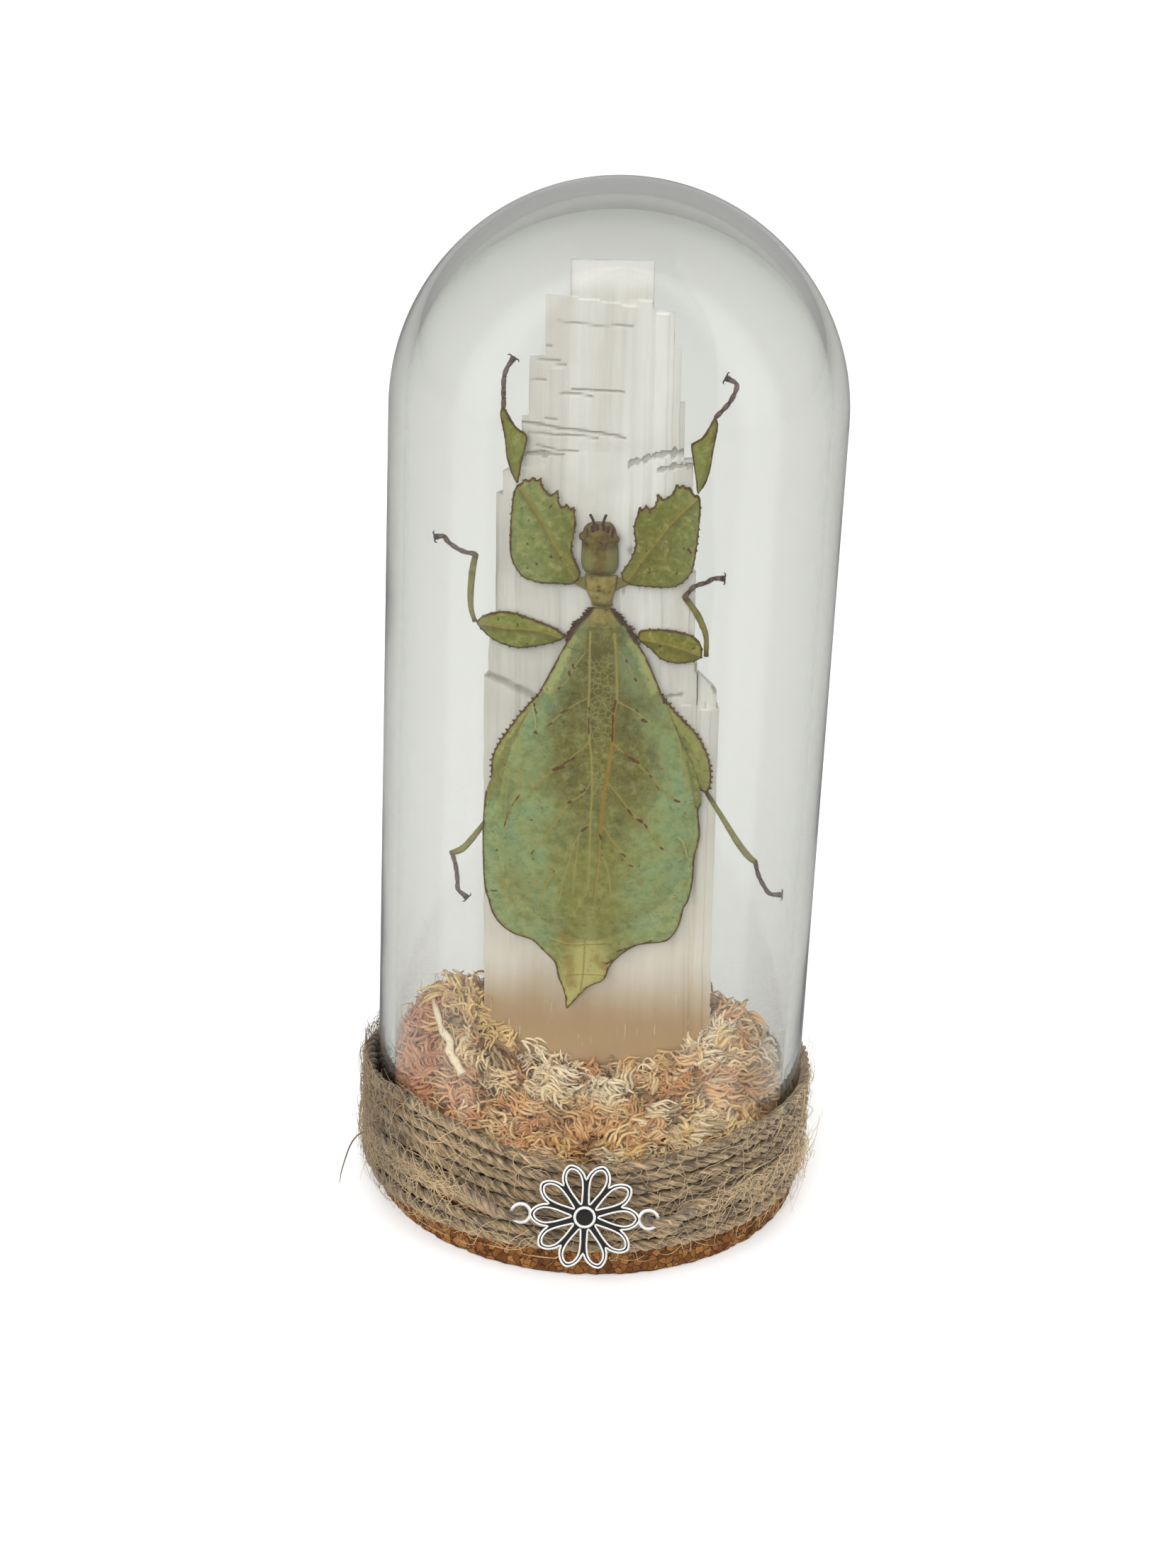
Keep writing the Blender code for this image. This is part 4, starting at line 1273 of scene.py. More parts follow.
@dataclass
class Crystal:
    """Selenite grown as one stack of blades, cleaved along its length and broken in steps at the top."""

    foot: float = 19.3
    centre: float = 1.85
    lean: float = math.tan(math.radians(1.54))
    fall: float = math.tan(math.radians(17))
    spacing: float = 0.3
    # Rows of points over its broken top.
    over: int = 12
    # Points closer than this are one point.
    weld: float = 0.002
    sharp_over: float = 30
    # (left, right, front, back, left top, right top)
    blades: tuple[tuple[float, ...], ...] = (
        (-24.9, 24.9, -7.2, 11, 122.5, 117.5), (-23.8, 20, -7.45, 10, 131, 128.5),
        (-22.4, 19.2, -6.6, 9.4, 163, 147.5), (-21, 17.9, -7.3, 8.8, 168, 172), (-17.2, 15.9, -6.9, 8.2, 179.5, 184),
        (-15.7, 14.9, -7.1, 7.6, 192, 196), (-12.4, 13.4, -7.35, 7, 205, 202.5), (-7.4, 9, -7, 6.4, 212, 212.4),
        (20.2, 24.2, -5.6, 6, 124.6, 121),
    )
    # (middle, half width, nose, bottom, top)
    flutes: tuple[tuple[float, ...], ...] = (
        (4.4, 1.5, -7.9, 120, 203.5), (7.6, 1.9, -8, 120, 204.4), (11, 1.5, -7.8, 120, 202),
        (-10.2, 1.2, -7.7, 124, 190), (-18.6, 1.2, -7.7, 60, 121), (17.8, 1.4, -7.8, 24, 118),
        (22, 1.2, -7.7, 24, 117),
    )
    # Cracks across it: points, depth and half width.
    cracks: tuple[tuple[tuple[Pair, ...], float, float], ...] = (
        (((-19.5, 178), (-15, 177.6), (-10, 177), (-4, 176.6), (1.5, 175.8)), 0.7, 0.28),
        (((-18, 176), (-11, 175.9), (-4, 175.5)), 0.45, 0.2), (((-16.5, 173.2), (-12, 172.6), (-8, 172.4)), 0.5, 0.22),
        (((-18.5, 171.6), (-15, 171.9), (-11, 171.5)), 0.6, 0.3),
        (((-9.8, 185.6), (-6, 185.3), (-2, 185.6), (0.8, 185.4)), 0.6, 0.22),
        (((-12, 184.5), (-8.5, 184.6), (-5.5, 184.2)), 0.4, 0.18), (((-18.6, 194.3), (-14, 194.2)), 0.4, 0.18),
        (((-17, 191.2), (-12.2, 191.4)), 0.4, 0.16), (((-13, 190.7), (-11, 190.6)), 0.4, 0.2),
        (((-18.8, 187), (-15, 187.1)), 0.3, 0.16), (((-15, 179.3), (-12.4, 179.1)), 0.3, 0.18),
        (((-25.8, 123), (-20, 120.6), (-15, 118)), 0.8, 0.8), (((12, 119.5), (16, 120.3)), 0.6, 0.35),
        (((0.8, 151.2), (3.9, 152.2)), 0.3, 0.3), (((-13, 199.6), (-5, 199), (2, 199.4)), 0.2, 0.2),
    )
    # Grey steps where a flake has come away: points along it, rise at each, depth.
    flakes: tuple[tuple[tuple[Pair, ...], float, float], ...] = (
        (((2.5, 170.3), (6, 171.6), (10, 173), (15.5, 173.2)), 1.1, 0.55),
        (((8.5, 169.2), (12, 170.2), (16.5, 170.6)), 0.9, 0.5), (((-20.5, 170.6), (-17, 171.4), (-14, 171)), 0.6, 0.4),
        (((0.6, 144), (3, 143.6), (6.5, 143.8)), 0.7, 0.35), (((18.6, 126.6), (21.6, 124), (24, 119.6)), 1.6, 0.6),
        (((-24.6, 131.4), (-21.5, 130.8)), 0.8, 0.4),
    )

    def columns(self) -> np.ndarray:
        """Places across, with a close pair at each blade's side.

        Returns:
            The places.
        """
        sides = sorted({side for left, right, *_ in self.blades for side in (left, right)})
        places: list[float] = []
        for left, right in zip(sides, sides[1:]):
            count = max(1, round((right - left) / self.spacing))
            places += list(np.linspace(left + 0.03, right - 0.03, count + 1))
        return np.array([sides[0] - 0.03 + 0.04, *places[1:-1], sides[-1] - 0.01])

    def heights(self) -> np.ndarray:
        """Heights of the rows, closest where the crystal is cracked."""
        return np.concatenate([np.arange(self.foot, 116, 1.7), np.arange(116, 134, 0.45),
                               np.arange(134, 167, 1.3), np.arange(167, 213.5, 0.42)])

    def top_at(self, x: float, y: float) -> float:
        """Height of the broken top over a place.

        Args:
            x: Place across.
            y: Depth.

        Returns:
            The height.
        """
        reach = self.foot
        for left, right, front, back, left_top, right_top in self.blades:
            if left <= x <= right and front - 1.2 <= y <= back:
                edge = left_top + (right_top - left_top) * (x - left) / (right - left)
                reach = max(reach, edge - self.fall * max(0.0, y - front))
        return reach

    def surface(self, x: float, heights: np.ndarray, ahead: bool) -> np.ndarray:
        """Depth of the front or back at heights over one place across.

        Args:
            x: Place across.
            heights: The heights.
            ahead: Whether the front is asked for.

        Returns:
            The depths.
        """
        depth = np.full(len(heights), 30.0 if ahead else -30.0)
        for left, right, front, back, left_top, right_top in self.blades:
            if not left <= x <= right:
                continue
            edge = left_top + (right_top - left_top) * (x - left) / (right - left)
            if ahead:
                depth = np.where(heights <= edge + 1e-6, np.minimum(depth, front), depth)
            else:
                depth = np.where(heights <= edge - self.fall * (back - front) + 1e-6, np.maximum(depth, back), depth)
        return depth

    def grid(self) -> np.ndarray:
        """Points up the front, over the top and down the back, in one loop for each place across.

        Returns:
            The points, by place across, row and coordinate.
        """
        heights, depths = self.heights(), np.linspace(-8.0, 11.0, 77)
        loops = []
        for x in self.columns():
            tops = [self.top_at(x, y) for y in depths]
            ahead = np.minimum(heights, max(tops))
            front = self.surface(x, ahead, True)
            front = np.where(front > 20, front[front < 20].max() if (front < 20).any() else 0.0, front)
            last = max(y for y, top in zip(depths, tops) if top > self.foot + 1)
            across = front[-1] + (last - front[-1]) * np.linspace(0, 1, self.over)
            crest = np.array([self.top_at(x, y) for y in across])
            behind = np.minimum(heights[::3][::-1], crest[-1])
            back = self.surface(x, behind, False)
            back = np.where(back < -20, last, back)
            depth = np.concatenate([front, across, back])
            loops.append(np.column_stack([np.full(len(depth), x), depth, np.concatenate([ahead, crest, behind])]))
        return np.array(loops)

    def relief(self, points: np.ndarray, place: np.ndarray, ahead: np.ndarray) -> tuple[np.ndarray, np.ndarray]:
        """Flutes, cracks and flakes on the front.

        Args:
            points: The crystal's points before it leans.
            place: (x, z) of the points on the leaning crystal.
            ahead: Which of them are on the front.

        Returns:
            How far each point is pushed out, and how grey it is.
        """
        push, grey = np.zeros(len(points)), np.zeros(len(points))
        for middle, half, nose, bottom, top in self.flutes:
            share = 1 - ((points[:, 0] - middle) / half) ** 2
            within = ahead & (share > 0) & (points[:, 2] > bottom) & (points[:, 2] < top)
            rise = np.maximum(0.0, points[:, 1] - nose) * np.sqrt(np.maximum(share, 0.0))
            push = np.where(within, np.maximum(push, rise), push)
        for path, depth, half in self.cracks:
            mark = np.exp(-((gaps_to_path(place, np.array(path)) / half) ** 4)) * ahead
            push -= depth * mark * 0.6
            grey = np.maximum(grey, mark)
        for path, rise, depth in self.flakes:
            line = np.array(path)
            level = np.interp(place[:, 0], *line.T)
            ends = (place[:, 0] > line[0, 0]) & (place[:, 0] < line[-1, 0]) & ahead
            ragged = rise * (0.6 + 0.8 * noise_at(place[:, 0] * 0.9, 3.0, 1.0))
            mark = ends & (np.abs(place[:, 1] - level) < np.maximum(0.2, ragged))
            push -= depth * mark
            grey = np.maximum(grey, 0.75 * mark)
        return push, grey

    def clean(self, mesh: bpy.types.Mesh) -> None:
        """Welds points that lie on each other, splits the two ends and turns every face outwards.

        Args:
            mesh: Mesh of the crystal.
        """
        work = bmesh.new()
        work.from_mesh(mesh)
        bmesh.ops.remove_doubles(work, verts=work.verts, dist=self.weld * MM)
        bmesh.ops.dissolve_degenerate(work, edges=work.edges, dist=self.weld * MM)
        bmesh.ops.triangulate(work, faces=[face for face in work.faces if len(face.verts) > 4])
        bmesh.ops.recalc_face_normals(work, faces=work.faces)
        work.to_mesh(mesh)
        work.free()
        mesh.set_sharp_from_angle(angle=math.radians(self.sharp_over))

    def build(self) -> None:
        grid = self.grid()
        count, rows = grid.shape[:2]
        row = np.tile(np.arange(rows), count)
        is_front = row < len(self.heights())
        is_back = row >= len(self.heights()) + self.over
        flat = grid.reshape(-1, 3)
        x, y, z = flat.T
        world_x = x - self.lean * (z - self.foot) + self.centre
        push, grey = self.relief(flat, np.column_stack([world_x, z]), is_front)
        # Painted highlight: the right fluted column and the top block are marked brighter, for light that they let
        # through and reflect.
        column = 0.55 * np.exp(-(((world_x - 7.0) / 5.5) ** 4)) * (np.clip((z - 122) / 30, 0, 1) * (z < 204.5))
        bright = np.maximum(column, 0.8 * np.clip((z - 205) / 3, 0, 1))
        ribs = noise_at(x * 1.5, np.where(is_front, 0.0, 7.0), z * 0.008) * 0.16
        ribs += noise_at(x * 0.45, np.where(is_front, 4.0, 9.0), z * 0.02) * 0.28
        ribs *= 0.3 + 0.7 * np.clip((z - 70) / 50, 0, 1)
        push += ribs - 0.25 * np.maximum(0.0, noise_at(x * 0.35, z * 0.12, 5.0) - 0.25)
        y -= np.where(is_front, push, 0.0) - np.where(is_back, ribs * 1.4, 0.0)
        points = np.column_stack([world_x + noise_at(2.0, z * 0.16, y * 0.2) * 0.22, y, z])
        last = (count - 1) * rows
        ends = [tuple(range(rows - 1, -1, -1)), tuple(range(last, last + rows))]
        maker = MeshMaker().add(points, quads(count, rows, flip=True) + ends, grey=grey, bright=bright)
        piece = maker.piece("raw_selenite", SeleniteFinish().make(), self.sharp_over)
        self.clean(piece.data)
        declare(piece, "selenite", "selenite_crystal")


# Moss


class Shoot(Enum):
    """Kinds of shoots: the first and the last of their forms, then their least and their greatest length."""

    STRAND = (0, 4, 4.8, 8.8)
    FINGER = (4, 7, 3.8, 6.0)
    WISP = (7, 10, 7.0, 12.0)


@dataclass
class Tufts:
    """Tufts that shoots fan out from, with one entry of each array for a tuft."""

    centres: np.ndarray
    leans: np.ndarray
    hues: np.ndarray
    pinks: np.ndarray
    lifts: np.ndarray
    hollow: np.ndarray


@dataclass
class MossBed:
    """A bed of dried moss: clumps of curled shoots and loose wisps on a dark matted floor."""

    radius: float = 43.2
    # No shoot goes past this, so that none enters the glass.
    wall: float = 43.7
    floor: float = 19.3
    # Height at the crystal, out to this distance from the axis, and at the glass.
    at_crystal: float = 31.0
    crystal_reach: float = 10.0
    at_glass: float = 25.5
    # (x, y, added height, spread in x, spread in y)
    mounds: tuple[tuple[float, ...], ...] = ((-30, -3, 15, 8.5, 13), (29, -2, 13, 7.5, 12), (-6, 27, 4, 16, 8))
    # The mat: how far it lies under the tips, its rings and its points round a ring.
    sunk: float = 3.4
    rings: int = 44
    spokes: int = 150
    tufts: int = 150
    shoot_count: int = 13200
    # Shoots that grow side by side, and how far apart.
    bundle: int = 6
    bundle_spread: float = 0.8
    # How far down the lowest shoots start.
    depth: float = 2.8
    # Strands, blunt fingers, then wisps: (turn along it, waviness, radius as a share of its length, flatness).
    forms: tuple[tuple[float, float, float, float], ...] = (
        (0.6, 0.6, 0.062, 0.8), (1.2, 0.75, 0.056, 0.85), (1.9, 0.6, 0.062, 0.8), (0.3, 1, 0.066, 0.8),
        (0.6, 0.5, 0.1, 0.75), (1.3, 0.6, 0.086, 0.8), (0.2, 0.7, 0.115, 0.7), (1.6, 1.1, 0.017, 1),
        (2.6, 0.9, 0.015, 1), (0.7, 1.4, 0.019, 1),
    )
    wisp_share: float = 0.2
    # Share of the tufts that lie low and get more painted shade, and the hue from which a tuft is pale, lies high and
    # is never one of them.
    hollow_share: float = 0.14
    pale_from: float = 0.85
    # Wisps that stand up on the left mound: how many, and where.
    spikes: int = 44
    spikes_across: Pair = (-38, -27)
    spikes_deep: Pair = (-16, 6)
    sectors: int = 5
    turn_offset: float = 0.6
    # A pale twig that lies on the left mound.
    twig: tuple[Triple, ...] = (
        (-35.2, -4.4, 42.8), (-34.1, -9, 43.2), (-33, -12.3, 42.2), (-31.9, -14.9, 40.8), (-30, -17.4, 39.7),
        (-29.8, -19.4, 38.2), (-28.2, -21.6, 36.8), (-26.6, -23.6, 35),
    )
    # The crystal's box, which stays clear.
    crystal_low: Pair = (-23.4, -5.6)
    crystal_high: Pair = (26.2, 9.4)
    # Salmon patches: (x, y, spread, strength); the others: (x, y, spread, added tone from brown to white), of which
    # the first two are painted light that lightens moss lying in shade beside the crystal's left edge.
    salmon: tuple[tuple[float, ...], ...] = (
        (-34, -8, 9, 1), (-27, 4, 8, 1.1), (-31, -21, 7, 0.9), (-16, -36, 4.5, 0.8), (-22, -27, 5, 0.5),
        (36, -18, 4, 0.7), (4, -31, 3, 0.4), (20, 32, 8, 0.5),
    )
    shades: tuple[tuple[float, ...], ...] = (
        (-24, -8, 6, 0.6), (-25, 3, 4, 0.3), (-16, -14, 8, 0.3), (-2, -13, 6, 0.25), (8, -21, 8, -0.12),
        (22, -12, 6, 0.1), (31, -8, 6, 0.05), (16, -34, 8, 0.25), (-4, -40, 5, 0.2), (-28, -30, 5, 0.2),
        (-6, -30, 6, -0.15), (28, -25, 5, -0.2), (16, -15, 5, -0.1),
    )

    def height(self, x: np.ndarray, y: np.ndarray) -> np.ndarray:
        """Height of the bed's tips over places on its floor.

        Args:
            x: Places across.
            y: Their depths.

        Returns:
            The heights.
        """
        outward = np.clip((np.hypot(x, y) - self.crystal_reach) / (self.wall - self.crystal_reach), 0, 1)
        height = self.at_crystal + (self.at_glass - self.at_crystal) * outward**1.5
        for at_x, at_y, rise, wide, deep in self.mounds:
            height = height + rise * np.exp(-(((x - at_x) / wide) ** 2 + ((y - at_y) / deep) ** 2) / 2)
        return height + 0.6

    def mat(self) -> None:
        """The matted floor between the shoots, brownish and darkened with painted shade."""
        rings, spokes = self.rings, self.spokes
        points = [np.zeros((1, 3))]
        turns = 2 * math.pi * np.arange(spokes) / spokes
        for ring in range(1, rings + 1):
            reach = self.radius * ring / rings
            points.append(np.column_stack([reach * np.cos(turns), reach * np.sin(turns), np.zeros(spokes)]))
        places = np.vstack(points)
        x, y = places[:, 0], places[:, 1]
        bumps = noise_at(x * 0.5, y * 0.5, 2.0) + noise_at(x * 1.3, y * 1.3, 5.0) * 0.6
        places[:, 2] = self.height(x, y) - self.sunk + bumps * 1.1
        wall = places[-spokes:].copy()
        wall[:, 2] = self.floor
        everything = np.vstack([places, wall, [[0.0, 0.0, self.floor]]])
        last, edge = len(everything) - 1, 1 + rings * spokes
        faces: list[Face] = [(0, 1 + i, 1 + (i + 1) % spokes) for i in range(spokes)]
        faces += quads(rings + 1, spokes, start=1, flip=True)
        faces += [(edge + i, last, edge + (i + 1) % spokes) for i in range(spokes)]
        # Its low level gives the mat painted shade.
        maker = MeshMaker().add(everything, faces, hue=0.35, rise=1.0, pink=0.2, level=0.42)
        declare(maker.piece("moss_mat", MossFinish().make("matted_moss"), closed=True), "moss", "moss_bed")

    def lay_twig(self) -> None:
        """The pale twig that lies on the moss."""
        path = smooth_path(self.twig, 6)
        knots = np.linspace(0.5, 1.05, len(path)) + 0.3 * noise_at(*(path * 0.6).T)
        maker = MeshMaker().add(*tube(path, knots, 8), hue=0.95, rise=1.0, pink=0.0, level=1.0)
        declare(maker.piece("moss_twig", MossFinish().make("pale_twig")), "moss", "moss_bed")

    def shoots(self) -> bpy.types.Collection:
        """Curved strands, blunt fingers and thin wisps of unit length, which the tree of nodes repeats.

        Returns:
            The collection that holds them.
        """
        dice = random.Random(SEED)
        kinds = bpy.data.collections.new("moss_shoots")
        count = 8
        for kind, (turn, wave, widest, flat) in enumerate(self.forms):
            sides = 3 if kind >= Shoot.WISP.value[0] else 4
            place, path, radii = np.zeros(3), [], []
            for share in np.linspace(0, 1, count + 1):
                path.append(place)
                bend = turn * share + wave * math.sin(7 * share + 2 * kind)
                lean = wave * 0.6 * math.sin(6 * share + kind)
                way = (math.sin(bend) * math.cos(lean), math.sin(lean), math.cos(bend) * math.cos(lean))
                place = place + np.array(way) / count
                radii.append(widest * dice.uniform(0.8, 1.15) * (1 - 0.62 * share**3))
            points, faces = tube(np.array(path), radii, sides, flat)
            mesh = bpy.data.meshes.new(f"shoot_{kind}")
            mesh.from_pydata(points.tolist(), [], faces)
            # rise runs from 0 at the foot of a shoot to 1 at its tip; the finish paints shade where it is low.
            attribute = mesh.attributes.new("rise", "FLOAT", "POINT")
            attribute.data.foreach_set("value", np.repeat(np.linspace(0, 1, count + 1), sides).astype(np.float32))
            mesh.shade_smooth()
            kinds.objects.link(bpy.data.objects.new(f"shoot_{kind}", mesh))
        return kinds

    @staticmethod
    def field_at(spots: Sequence[Sequence[float]], x: np.ndarray, y: np.ndarray) -> np.ndarray:
        """Sum of soft round spots, each (x, y, spread, strength), at places."""
        return sum(power * np.exp(-((x - at_x) ** 2 + (y - at_y) ** 2) / (2 * wide**2))
                   for at_x, at_y, wide, power in spots)

    def sown(self, dice: np.random.Generator) -> Tufts:
        """Tufts spread evenly over the bed, each with a colour of its own.

        Args:
            dice: Source of the random numbers.

        Returns:
            The tufts.
        """
        index = np.arange(self.tufts)
        reach = self.radius * np.sqrt((index + 0.5) / self.tufts)
        turn = index * math.pi * (3 - math.sqrt(5))
        centres = np.column_stack([reach * np.cos(turn), reach * np.sin(turn)]) + dice.normal(0, 1.2, (self.tufts, 2))
        leans = np.arctan2(centres[:, 1], centres[:, 0]) + dice.normal(0, 1.2, self.tufts)
        hues = 0.57 + self.field_at(self.shades, *centres.T) + dice.normal(0, 0.26, self.tufts)
        pinks = self.field_at(self.salmon, *centres.T) + dice.normal(0, 0.18, self.tufts)
        lifts = dice.normal(0.0, 0.55, self.tufts) + 0.8 * (hues > self.pale_from)
        hollow = (dice.random(self.tufts) < self.hollow_share) & (hues < self.pale_from)
        return Tufts(centres, leans, hues, pinks, lifts, hollow)

    def sprouts(self, x: float, y: float, spike: bool, tufts: Tufts, dice: np.random.Generator) -> list[list[float]]:
        """One wisp, or one bundle of strands or fingers, at a place.

        Args:
            x: Place across.
            y: Depth.
            spike: Whether it is a wisp that stands up.
            tufts: The tufts, of which it joins one nearby.
            dice: Source of the random numbers.

        Returns:
            Rows of place, way, side, size, kind, hue, pink and level.
        """
        near = ((tufts.centres - (x, y)) ** 2).sum(axis=1)
        tuft = int(np.argmin(near + dice.normal(0, 2.0, self.tufts)))
        step = 0.5
        corners = np.array([(x, y), (x + step, y), (x, y + step)])
        here, *beside = self.height(*corners.T)
        slope = np.array(beside) - here
        normal = unit(np.array([*-slope / step, 1.0]))
        fan = (np.array([x, y]) - tufts.centres[tuft]) / (self.radius / math.sqrt(self.tufts) * 1.77)
        flow = fan * 0.8 + np.array([math.cos(tufts.leans[tuft]), math.sin(tufts.leans[tuft])])
        wisp = spike or dice.random() < self.wisp_share
        blunt = not wisp and dice.random() < (0.6 if tuft % 3 == 0 else 0.2)
        lying = np.array([flow[0], flow[1], 0.0]) + dice.normal(0, 0.25, 3)
        lying -= normal * (lying @ normal)
        way = unit(unit(lying) + normal * dice.uniform(-0.1, 0.9 if blunt else 0.6))
        if spike:
            way = unit(normal + dice.normal(0, 0.35, 3))
        side = np.cross(normal, way) * (1 if dice.random() < 0.5 else -1)
        first, last, least, most = (Shoot.WISP if wisp else Shoot.FINGER if blunt else Shoot.STRAND).value
        kind = int(dice.integers(first, last))
        length = dice.uniform(least, most)
        depth = 0.0 if spike else self.depth * dice.random() ** 1.2
        hollow = tufts.hollow[tuft]
        # level sets the painted shade: lower for shoots that start deep and for those of hollow tufts.
        level = (1 - depth / (self.depth + 0.4)) * (0.45 if hollow else 1.0)
        hue = tufts.hues[tuft] + dice.normal(0, 0.1) + (0.12 if wisp else 0.0)
        pink = np.clip(tufts.pinks[tuft] + dice.normal(0, 0.1), 0, 1)
        rows = []
        for _ in range(1 if wisp else self.bundle):
            aside = dice.normal(0, self.bundle_spread, 2)
            lift = (aside[0] * slope[0] + aside[1] * slope[1]) / step - 0.7 - depth + tufts.lifts[tuft] - 1.8 * hollow
            start = (x + aside[0], y + aside[1], here + lift + dice.normal(0, 0.25))
            rows.append([*start, *(way + dice.normal(0, 0.21, 3)), *(side + normal * dice.uniform(-0.6, 0.2)),
                         length * dice.uniform(0.75, 1.15), kind, np.clip(hue + dice.normal(0, 0.04), 0, 1),
                         pink, level])
        return rows

    def layout(self) -> dict[str, np.ndarray]:
        """Places, directions, lengths and shades of all the shoots.

        Returns:
            Arrays by name, one entry to a shoot.
        """
        dice = np.random.default_rng(SEED)
        tufts = self.sown(dice)
        rows: list[list[float]] = []
        while len(rows) < self.shoot_count:
            out, turn = self.radius * 0.99 * math.sqrt(dice.random()), dice.uniform(0, 2 * math.pi)
            x, y = out * math.cos(turn), out * math.sin(turn)
            if self.crystal_low[0] < x < self.crystal_high[0] and self.crystal_low[1] < y < self.crystal_high[1]:
                continue
            spike = len(rows) < self.spikes
            if spike:
                x, y = dice.uniform(*self.spikes_across), dice.uniform(*self.spikes_deep)
            rows += self.sprouts(x, y, spike, tufts, dice)
        table = np.array(rows)
        layout = {"place": table[:, :3], "way": table[:, 3:6], "side": table[:, 6:9]}
        return layout | {name: table[:, 9 + i] for i, name in enumerate(("size", "kind", "hue", "pink", "level"))}

    def grow(self, name: str, chosen: np.ndarray, layout: dict[str, np.ndarray], kinds: bpy.types.Collection,
             material: Material) -> None:
        """Makes one piece of shoots with a tree of nodes.

        Args:
            name: The piece's name.
            chosen: Which shoots of the layout it holds.
            layout: Places, directions, lengths and shades.
            kinds: The shoots to repeat.
            material: The finish.
        """
        mesh = bpy.data.meshes.new("shoot_places")
        mesh.from_pydata((layout["place"][chosen] * MM).tolist(), [], [])
        for label in ("way", "side"):
            vectors = mesh.attributes.new(label, "FLOAT_VECTOR", "POINT")
            vectors.data.foreach_set("vector", layout[label][chosen].astype(np.float32).ravel())
        for label in ("size", "hue", "pink", "level", "kind"):
            whole = label == "kind"
            attribute = mesh.attributes.new(label, "INT" if whole else "FLOAT", "POINT")
            attribute.data.foreach_set("value", layout[label][chosen].astype(np.int32 if whole else np.float32))
        holder = placed("shoot_places", mesh, None)
        nodes = Nodes("moss_growth")
        collection = nodes.named("Shoots", "Collection", kinds)
        length = nodes.named("Length", "Float", MM)
        shoots = nodes.node("GeometryNodeCollectionInfo", {}, {"Collection": collection, "Separate Children": True})

        def stored(label: str, kind: str) -> Socket:
            """A value kept on each place."""
            return nodes.node("GeometryNodeInputNamedAttribute", {"data_type": kind}, {"Name": label})

        aimed = nodes.node("FunctionNodeAlignRotationToVector", {"axis": "Z", "pivot_axis": "AUTO"},
                           {"Vector": stored("way", "FLOAT_VECTOR")})
        aimed = nodes.node("FunctionNodeAlignRotationToVector", {"axis": "X", "pivot_axis": "Z"},
                           {"Rotation": aimed, "Vector": stored("side", "FLOAT_VECTOR")})
        scale = nodes.times(stored("size", "FLOAT"), length)
        size = nodes.node("ShaderNodeCombineXYZ", {}, {0: scale, 1: scale, 2: scale})
        points = nodes.node("GeometryNodeMeshToPoints", {}, {0: nodes.source.outputs[0], "Radius": MM})
        copies = nodes.node("GeometryNodeInstanceOnPoints", {}, {
            "Points": points, "Instance": shoots, "Pick Instance": True,
            "Instance Index": stored("kind", "INT"), "Rotation": aimed, "Scale": size,
        })
        grown = nodes.run(holder, copies, material)
        points = np.empty(len(grown.vertices) * 3)
        grown.vertices.foreach_get("co", points)
        points = points.reshape(-1, 3)
        reach = np.maximum(np.hypot(points[:, 0], points[:, 1]), 1e-6)
        points[:, :2] *= np.minimum(1.0, self.wall * MM / reach)[:, None]
        points[:, 2] = np.maximum(points[:, 2], self.floor * MM)
        grown.vertices.foreach_set("co", points.ravel())
        piece = placed(name, grown, material)
        declare(piece, "moss", "moss_bed")

    def build(self) -> None:
        self.mat()
        self.lay_twig()
        layout = self.layout()
        kinds = self.shoots()
        material = MossFinish().make()
        turn = (np.arctan2(layout["place"][:, 1], layout["place"][:, 0]) / (2 * math.pi) + self.turn_offset) % 1.0
        order = np.argsort(turn)
        log.info("moss shoots: %d", len(order))
        for sector, chosen in enumerate(np.array_split(order, self.sectors)):
            self.grow(f"moss_shoots_{sector + 1}", chosen, layout, kinds, material)


# Twine


